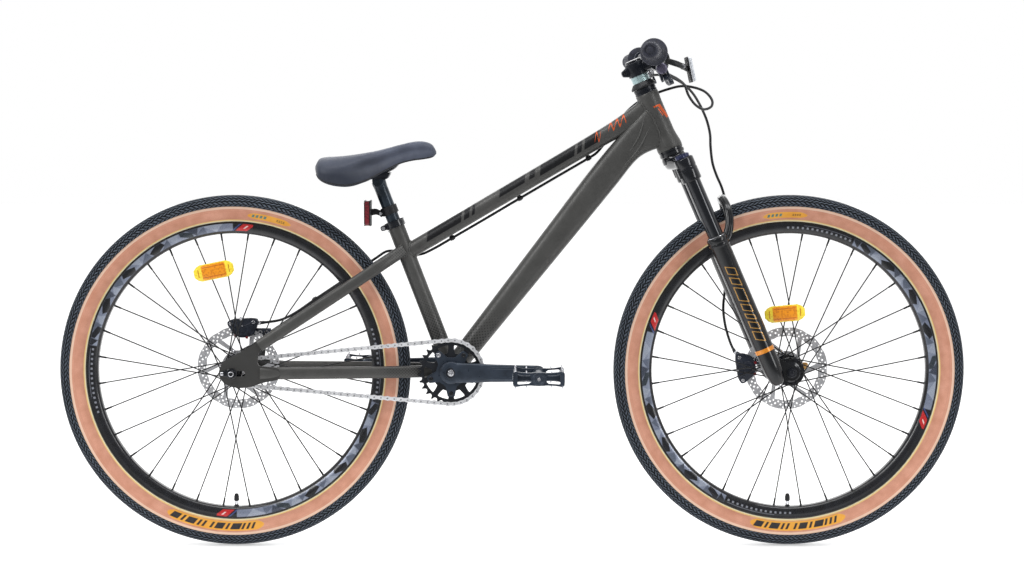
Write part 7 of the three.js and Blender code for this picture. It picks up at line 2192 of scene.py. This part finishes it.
def add_pedal(name, body, ahead, side):
    shape = Shape()

    def at(x, y, z):
        return Vector((x, side * y, z))

    def plate(points, holes, low, high, mat=0):
        a, b = sorted((side * low, side * high))
        shape.plate(points, holes, a, b, mat)
    quarter = [(48, 7.5), (47.4, 11.6), (45, 13.6), (41, 14.0), (30, 12.2), (16, 11.6), (0, 12.6)]
    outline = quarter + [(-x, z) for x, z in reversed(quarter[:-1])] + [(-x, -z) for x, z in quarter[:-1]] + [
        (x, -z) for x, z in reversed(quarter)]
    outline = outline[:-1]
    windows = []
    for s in (1, -1):
        windows.append([(s * x, z) for x, z in ((14.5, -5.0), (18, -8.2), (37, -9.6), (42, -8.0), (42, 8.0),
                                                (37, 9.6), (18, 8.2), (14.5, 5.0))])
    plate(outline, windows, 91.2, 95.4)
    plate(outline, windows, 182.6, 186.8)
    plate([(x * 0.93, z * 0.66) for x, z in outline], [[(x * 0.95, z * 0.6) for x, z in w] for w in windows],
          136, 141)
    for s in (1, -1):
        # End bar with a shallow waist
        rows = [ring(at(s * 43.6, y, 0), Z * h, Vector((4.3 * k, 0, 0)), 24, 0.45) for y, h, k in
                ((91.4, 11.0, 0.96), (92.4, 11.8, 1), (112, 10.2, 0.94), (139, 9.4, 0.9), (166, 10.2, 0.94),
                 (185.6, 11.8, 1), (186.7, 11.0, 0.96))]
        shape.loft(blended(rows, 3))
        for y in (112, 166):
            rows = [ring(at(s * x, y, 0), Z * h, Y * 2.6, 16, 0.5) for x,
                    h in ((8, 7.0), (16, 5.2), (30, 5.0), (41, 7.6))]
            shape.loft(blended(rows, 3))
        rows = [ring(at(s * 47.5, y, 0), Z * 4.6, X * 0.9, 16, 0.4) for y in (122, 156)]
        shape.loft(rows, mat=2)
    # Barrel with its end cap, and the axle's locknut under it
    shape.stack(at(0, 91, 0), Y * side, [(0, 5.6), (0, 10.4), (0.8, 12.0), (6, 12.2), (10, 9.8), (80, 9.4),
                                         (86, 11.8), (95.6, 12.6), (97, 11.8),
                                          (97.4, 8.8), (96.6, 8.4), (96.6, 6.2), (97.2, 5.8), (97.2, 0.01)],
                40,
                caps=False)
    shape.stack(at(0, 188.0, 0), Y * side, [(0, 3.4), (0.5, 3.2)], 6, mat=1)
    for s in (1, -1):
        for z in (1, -1):
            for y in (94.6, 112, 130, 148, 166, 183.4):
                shape.stack(at(s * 43.4, y, z * 10.4), (0, 0, z),
                            [(0, 1.9), (1.6, 1.9), (1.9, 1.5), (6.8, 1.4), (7.4, 1.1)], 10, mat=1)
            for y in (93.6, 184.4):
                shape.stack(at(s * 23, y, z * 10.6), (0, 0, z),
                            [(0, 1.9), (1.4, 1.9), (1.7, 1.4), (4.6, 1.4), (5.2, 1.1)], 10, mat=1)
    centre = BRACKET + Vector((ahead * CRANK, 0, 0))
    shape.build(name, body, [crank_mat, steel, clear_lens], "crank_alloy", name, local=centre, sharp=30,
                bevel=0.4,
                segments=1)


add_chain()
add_rings()
add_cranks()
add_pedal("pedal_right", "pedal_r", 1, -1)
add_pedal("pedal_left", "pedal_l", -1, 1)


# seat
POST_FOOT = 139                 # up the seat tube's line from the bracket
SEAT_HEAD = seat(POST_FOOT + 249)
BAND_AT = 328                   # rear reflector's band on the post


def saddle_material():
    mat = Mat("saddle_cover", rgb(72, 76, 89), 0.5, 0.0, Specular_IOR_Level=0.24)
    cloud = mat.noise(40, 3).to(0, 1, 0.35, 0.65)
    base = mat.blend(cloud, rgb(76, 81, 95), rgb(90, 96, 112))
    z = mat.coords()[2]
    # Painted shade: the cover is darkened towards the bottom of its sides, below the crease, where they turn away from
    # the light
    skirt = (z - SEAT_HEAD.z).to(1.0, 0.0, 14, 56)
    base = mat.blend(skirt * 0.75, base, rgb(36, 40, 50))
    grain = mat.cells(1.1)
    base = mat.blend(grain.to(0.22, 0, 0.0, 0.5), base, rgb(40, 43, 52))
    mat.drive("Base Color", base)
    mat.gloss(7, 0.42, 0.56)
    mat.bump(grain, 0.05, 0.5)
    mat.bump(mat.noise(9, 2), 0.15, 0.3)
    return mat


# Share of the length, crown, skirt, half width, hollow below, and how far the side is drawn in under the ridge
SADDLE = [(0, 0.521, 0.317, 0.62, 0, 0), (0.035, 0.611, 0.162, 0.86, 0.4, 0), (0.1, 0.647, 0.06, 0.97, 1, 0),
          (0.2, 0.677, 0, 1, 1, 0.05),
          (0.3, 0.707, 0, 0.96, 1, 0.35), (0.4, 0.749, 0.078, 0.84, 1, 0.85), (0.5, 0.796, 0.206, 0.66, 1, 1),
          (0.6, 0.862, 0.357, 0.48, 1, 1),
          (0.7, 0.934, 0.488, 0.35, 1, 1), (0.8, 0.988, 0.561, 0.29, 1, 0.9),
          (0.89, 1, 0.593, 0.265, 0.6, 0.6),
          (0.96, 0.94, 0.629, 0.235, 0.2, 0.2),
          (1, 0.808, 0.695, 0.14, 0, 0)]


def add_saddle():
    base, length = SEAT_HEAD.z - 8.5, 229.0
    rows = []
    for share, top, skirt, half, hollow, drawn in SADDLE:
        x = SEAT_HEAD.x - 118.3 + length * share
        wide, low, deep = 71 * half, base + 83.5 * skirt, 83.5 * (top - skirt)
        under = max(deep - 19, deep * 0.1) * hollow
        shape_of = [(mix(a, a2, drawn), mix(b, b2, drawn)) for (a, b), (a2, b2) in zip(
            ((0.93, 0), (1, 0.3), (0.97, 0.5), (0.88, 0.68), (0.64, 0.87), (0.32, 0.97)),
            ((1.0, 0), (0.9, 0.22), (0.7, 0.5), (0.74, 0.74), (0.6, 0.9), (0.3, 0.975)))]
        side = [Vector((x, wide * a, low + deep * b)) for a, b in shape_of]
        groove = 0.965 if 0.15 < share < 0.75 else 1.0
        belly = [Vector((x, wide * 0.78, low + deep * 0.06)),
                 Vector((x, wide * 0.45, low + under * 0.8 + deep * 0.02))]
        loop = side + [Vector((x, 0, low + deep * groove))]
        loop += [Vector((p.x, -p.y, p.z)) for p in [*reversed(side), *belly]]
        loop += [Vector((x, 0, low + under + deep * 0.02))] + list(reversed(belly))
        rows.append(loop_smooth(loop, 5))
    rings = blended(rows, 7)
    first, last = rings[0][0].x, rings[-1][0].x
    shaped = []
    for r in rings:
        d = min((r[0].x - first) / 9.0, (last - r[0].x) / 7.0)
        k = math.sqrt(max(1 - (1 - clamp(d)) ** 2, 0.02)) if d < 1 else 1
        middle = sum(r, Vector()) / len(r)
        shaped.append([Vector((p.x, middle.y + (p.y - middle.y) * mix(0.5, 1, k),
                               middle.z + (p.z - middle.z) * mix(0.35, 1, k))) for p in r])
    cover = Shape().loft(shaped)
    ob = cover.build("saddle", "seat", saddle_material(), "saddle_cover", "saddle", sharp=60)
    # Moulded base under the cover, with a welt along its edge
    trim = Shape()
    for index in (1, 12 * 5 - 1):
        trim.sweep([r[index] + Z * 0.4 for r in shaped[4:-6]], 1.1, 8)
    trim.build("saddle_welt", "seat", plastic, "black_alloy", "saddle", sharp=60)
    rails = Shape()
    shares = [(0.58, 0.2, 0.55), (0.44, 0.55, 0.42), (0.27, 0.96, 0.24), (0, 1, 0.15), (-0.32, 1, 0.14),
              (-0.66, 1, 0.17), (-0.93, 1, 0.31)]
    for sgn in (-1, 1):
        path = smooth([Vector((SEAT_HEAD.x + x * 100, sgn * y * 21, SEAT_HEAD.z + z * 100)) for x, y,
                       z in shares], 60)
        rails.sweep(path, 3.5, 18)
    # Two-piece clamp: cradle under the rails, cap over them, one screw through the middle
    cradle = [(-23, -4.4), (-19, -6.2), (14, -6.2), (18, -3.8), (21, 1.4), (23, 6.4), (19, 7.0), (12, 4.8),
              (-12, 4.4),
              (-22, 1.6), (-24, -1.4)]
    cap = [(-17, -2.4), (17, -2.4), (19, 0), (16, 2.6), (-16, 2.6), (-18, 0)]
    for outline, shift, lift in ((cradle, 1, 9.2), (cap, 0, 18.8)):
        rails.loft([[SEAT_HEAD + Vector((shift + x * w, y, lift + z * w)) for x, z in outline]
                    for y, w in ((-27, 0.86), (-25.4, 1), (25.4, 1), (27, 0.86))], mat=1)
    for y in (-21, 21):
        rows = [ring(SEAT_HEAD + Vector((x, y, 15.0)), Z * 5.4, Y * 5.6, 20, 0.8) for x in (-17, -16, 16, 17)]
        rails.loft(rows, mat=1)
    rails.stack(SEAT_HEAD + Z * 20, (0, 0, 1), [(0, 6.4), (2.2, 6.4), (2.8, 5.6)], 24, mat=2)
    rails.stack(SEAT_HEAD + Z * 3, (0, 0, -1), [(-2, 5), (0.5, 5)], 20, mat=1)
    rails.build("saddle_rails", "seat", [black_gloss, black_alloy, steel], "black_alloy", "saddle_rails",
                sharp=40)


def add_post():
    mat = Mat("post_finish", rgb(40, 50, 60), 0.3, 0.4)
    t = mat.along(BRACKET, SEAT_UP)
    base = mat.cloud(24, rgb(32, 41, 50), rgb(46, 57, 68))
    brushing = mat.noise(0.7, 2, mat.combine(t * 3.0, 0.0, 0.0))
    mat.drive("Base Color", base)
    mat.drive("Roughness", brushing.to(0.22, 0.36, 0.3, 0.7))
    mat.bump(brushing, 0.006, 0.4)
    shape = Shape()
    shape.stack(seat(POST_FOOT), SEAT_UP, [(0, 12.0), (0.6, 12.7), (232, 12.7), (238, 12.9), (244, 13.6),
                                           (249, 13.4)], 48)
    # Forged head: a neck that widens into the cross barrel
    rows = []
    for t2, s, y in ((232, 12.6, 12.6), (238, 12.2, 13.4), (243, 11.6, 15.2), (248, 10.8, 17.0),
                     (251, 9.0, 17.4)):
        rows.append(ring(seat(POST_FOOT + t2), SEAT_AHEAD * s, Y * y, 36, 0.8))
    shape.loft(rows)
    shape.stack(SEAT_HEAD - Y * 18, Y, [(0, 9.8), (1, 10.9), (35, 10.9), (36, 9.8)], 40)
    for y in (-1, 1):
        shape.stack(SEAT_HEAD + Y * y * 17.8, Y * y,
                    [(0, 7.4), (0.5, 7.2), (0.5, 6.2), (0.1, 6.0), (0.1, 0.01)], 28,
                    caps=False)
    shape.build("seatpost", "seat_post", [mat, steel], "crank_alloy", "seatpost", sharp=36)
    collar = Shape()
    top = 306.5
    stations = [(-13, 16.5), (-13, 18.9), (-12.3, 19.6), (-10.6, 19.6), (-10, 19.0), (-3, 19.0), (-2.4, 19.6),
                (-0.7, 19.6), (0, 18.9), (0, 16.5)]
    collar.stack(seat(top), SEAT_UP, stations + [(-13, 16.5)], 56, caps=False)

    def bolt_at(y):
        return seat(top - 6.5, -23.6, y)
    for sgn in (-1, 1):
        a, b = (1.1, 6.4) if sgn > 0 else (-6.4, -1.1)
        rows = []
        for y, w in ((a, 0.94), (a + 0.6, 1), (b - 0.6, 1), (b, 0.94)):
            rows.append(ring(seat(top - 6.5, -22.6, y), SEAT_AHEAD * (6.4 * w), SEAT_UP * (5.2 * w), 28, 0.7))
        collar.loft(rows)
    socket_screw(collar, bolt_at(-6.2), (0, -1, 0), 3.9, 3.6, 1)
    collar.rod(bolt_at(-6.0), bolt_at(8.4), 2.2, 14, mat=1)
    collar.stack(bolt_at(6.2), Y, [(0, 4.0), (2.6, 4.0), (3.0, 3.4)], 6, mat=1)
    collar.build("seat_collar", "frame", [black_gloss, bright], "black_alloy", "seat_collar", sharp=34)


def add_rear_reflector():
    shape = Shape()
    centre = seat(BAND_AT)
    band = [(-8, 12.95), (-8, 15.2), (-7.4, 15.8), (7.4, 15.8), (8, 15.2), (8, 12.95), (-8, 12.95)]
    shape.stack(centre, SEAT_UP, band, 48, caps=False)
    shape.loft([ring(seat(BAND_AT + t, -17.2, 0), SEAT_AHEAD * 3.8, Y * 6.8, 20, 0.6) for t in (-6.6, -6, 6,
            6.6)])
    socket_screw(shape, seat(BAND_AT, -18.4, -6.4), (0, -1, 0), 3.2, 2.6, 1)
    shape.rod(seat(BAND_AT, -18.4, -6.0), seat(BAND_AT, -18.4, 8.2), 1.9, 12, mat=1)
    front = centre.x - 35
    root = seat(BAND_AT, -18, 0)
    path = smooth([root, Vector((mix(root.x, front, 0.5), 0, centre.z - 3)),
                   Vector((front - 2, 0, centre.z - 4.5))],
                  12)
    rows = [ring(p, Vector((0, 0, mix(5.2, 6.6, k / 12))), Y * 4.3, 20, 0.6) for k, p in enumerate(path)]
    shape.loft(rows)
    mid = Vector((front, 0, centre.z - 5.5))
    outline = rounded_box(28, 24.5, 5)
    panel = Shape()
    for wide, tall, low, high, mat in ((1, 1, -2.4, -0.2, 0), (0.965, 0.965, -12.4, -2.2, 2),
                                       (1, 1, -12.0, -11.0, 0),
                                       (0.86, 0.84, -13.0, -12.2, 2)):
        panel.plate([(x * wide, z * tall) for x, z in outline], [], low, high, mat)
    for z in (-11.0, 11.0):
        panel.box((-23.5, -13.15, z - 0.5), (23.5, -12.3, z + 0.5))
    shape.merge(panel, facing_x(mid.x, mid.z))
    shape.build("rear_reflector", "reflector_rear", [plastic, steel, red_lens], "red_lens", "rear_reflector",
                sharp=32, bevel=0.35)


add_saddle()
add_post()
add_rear_reflector()
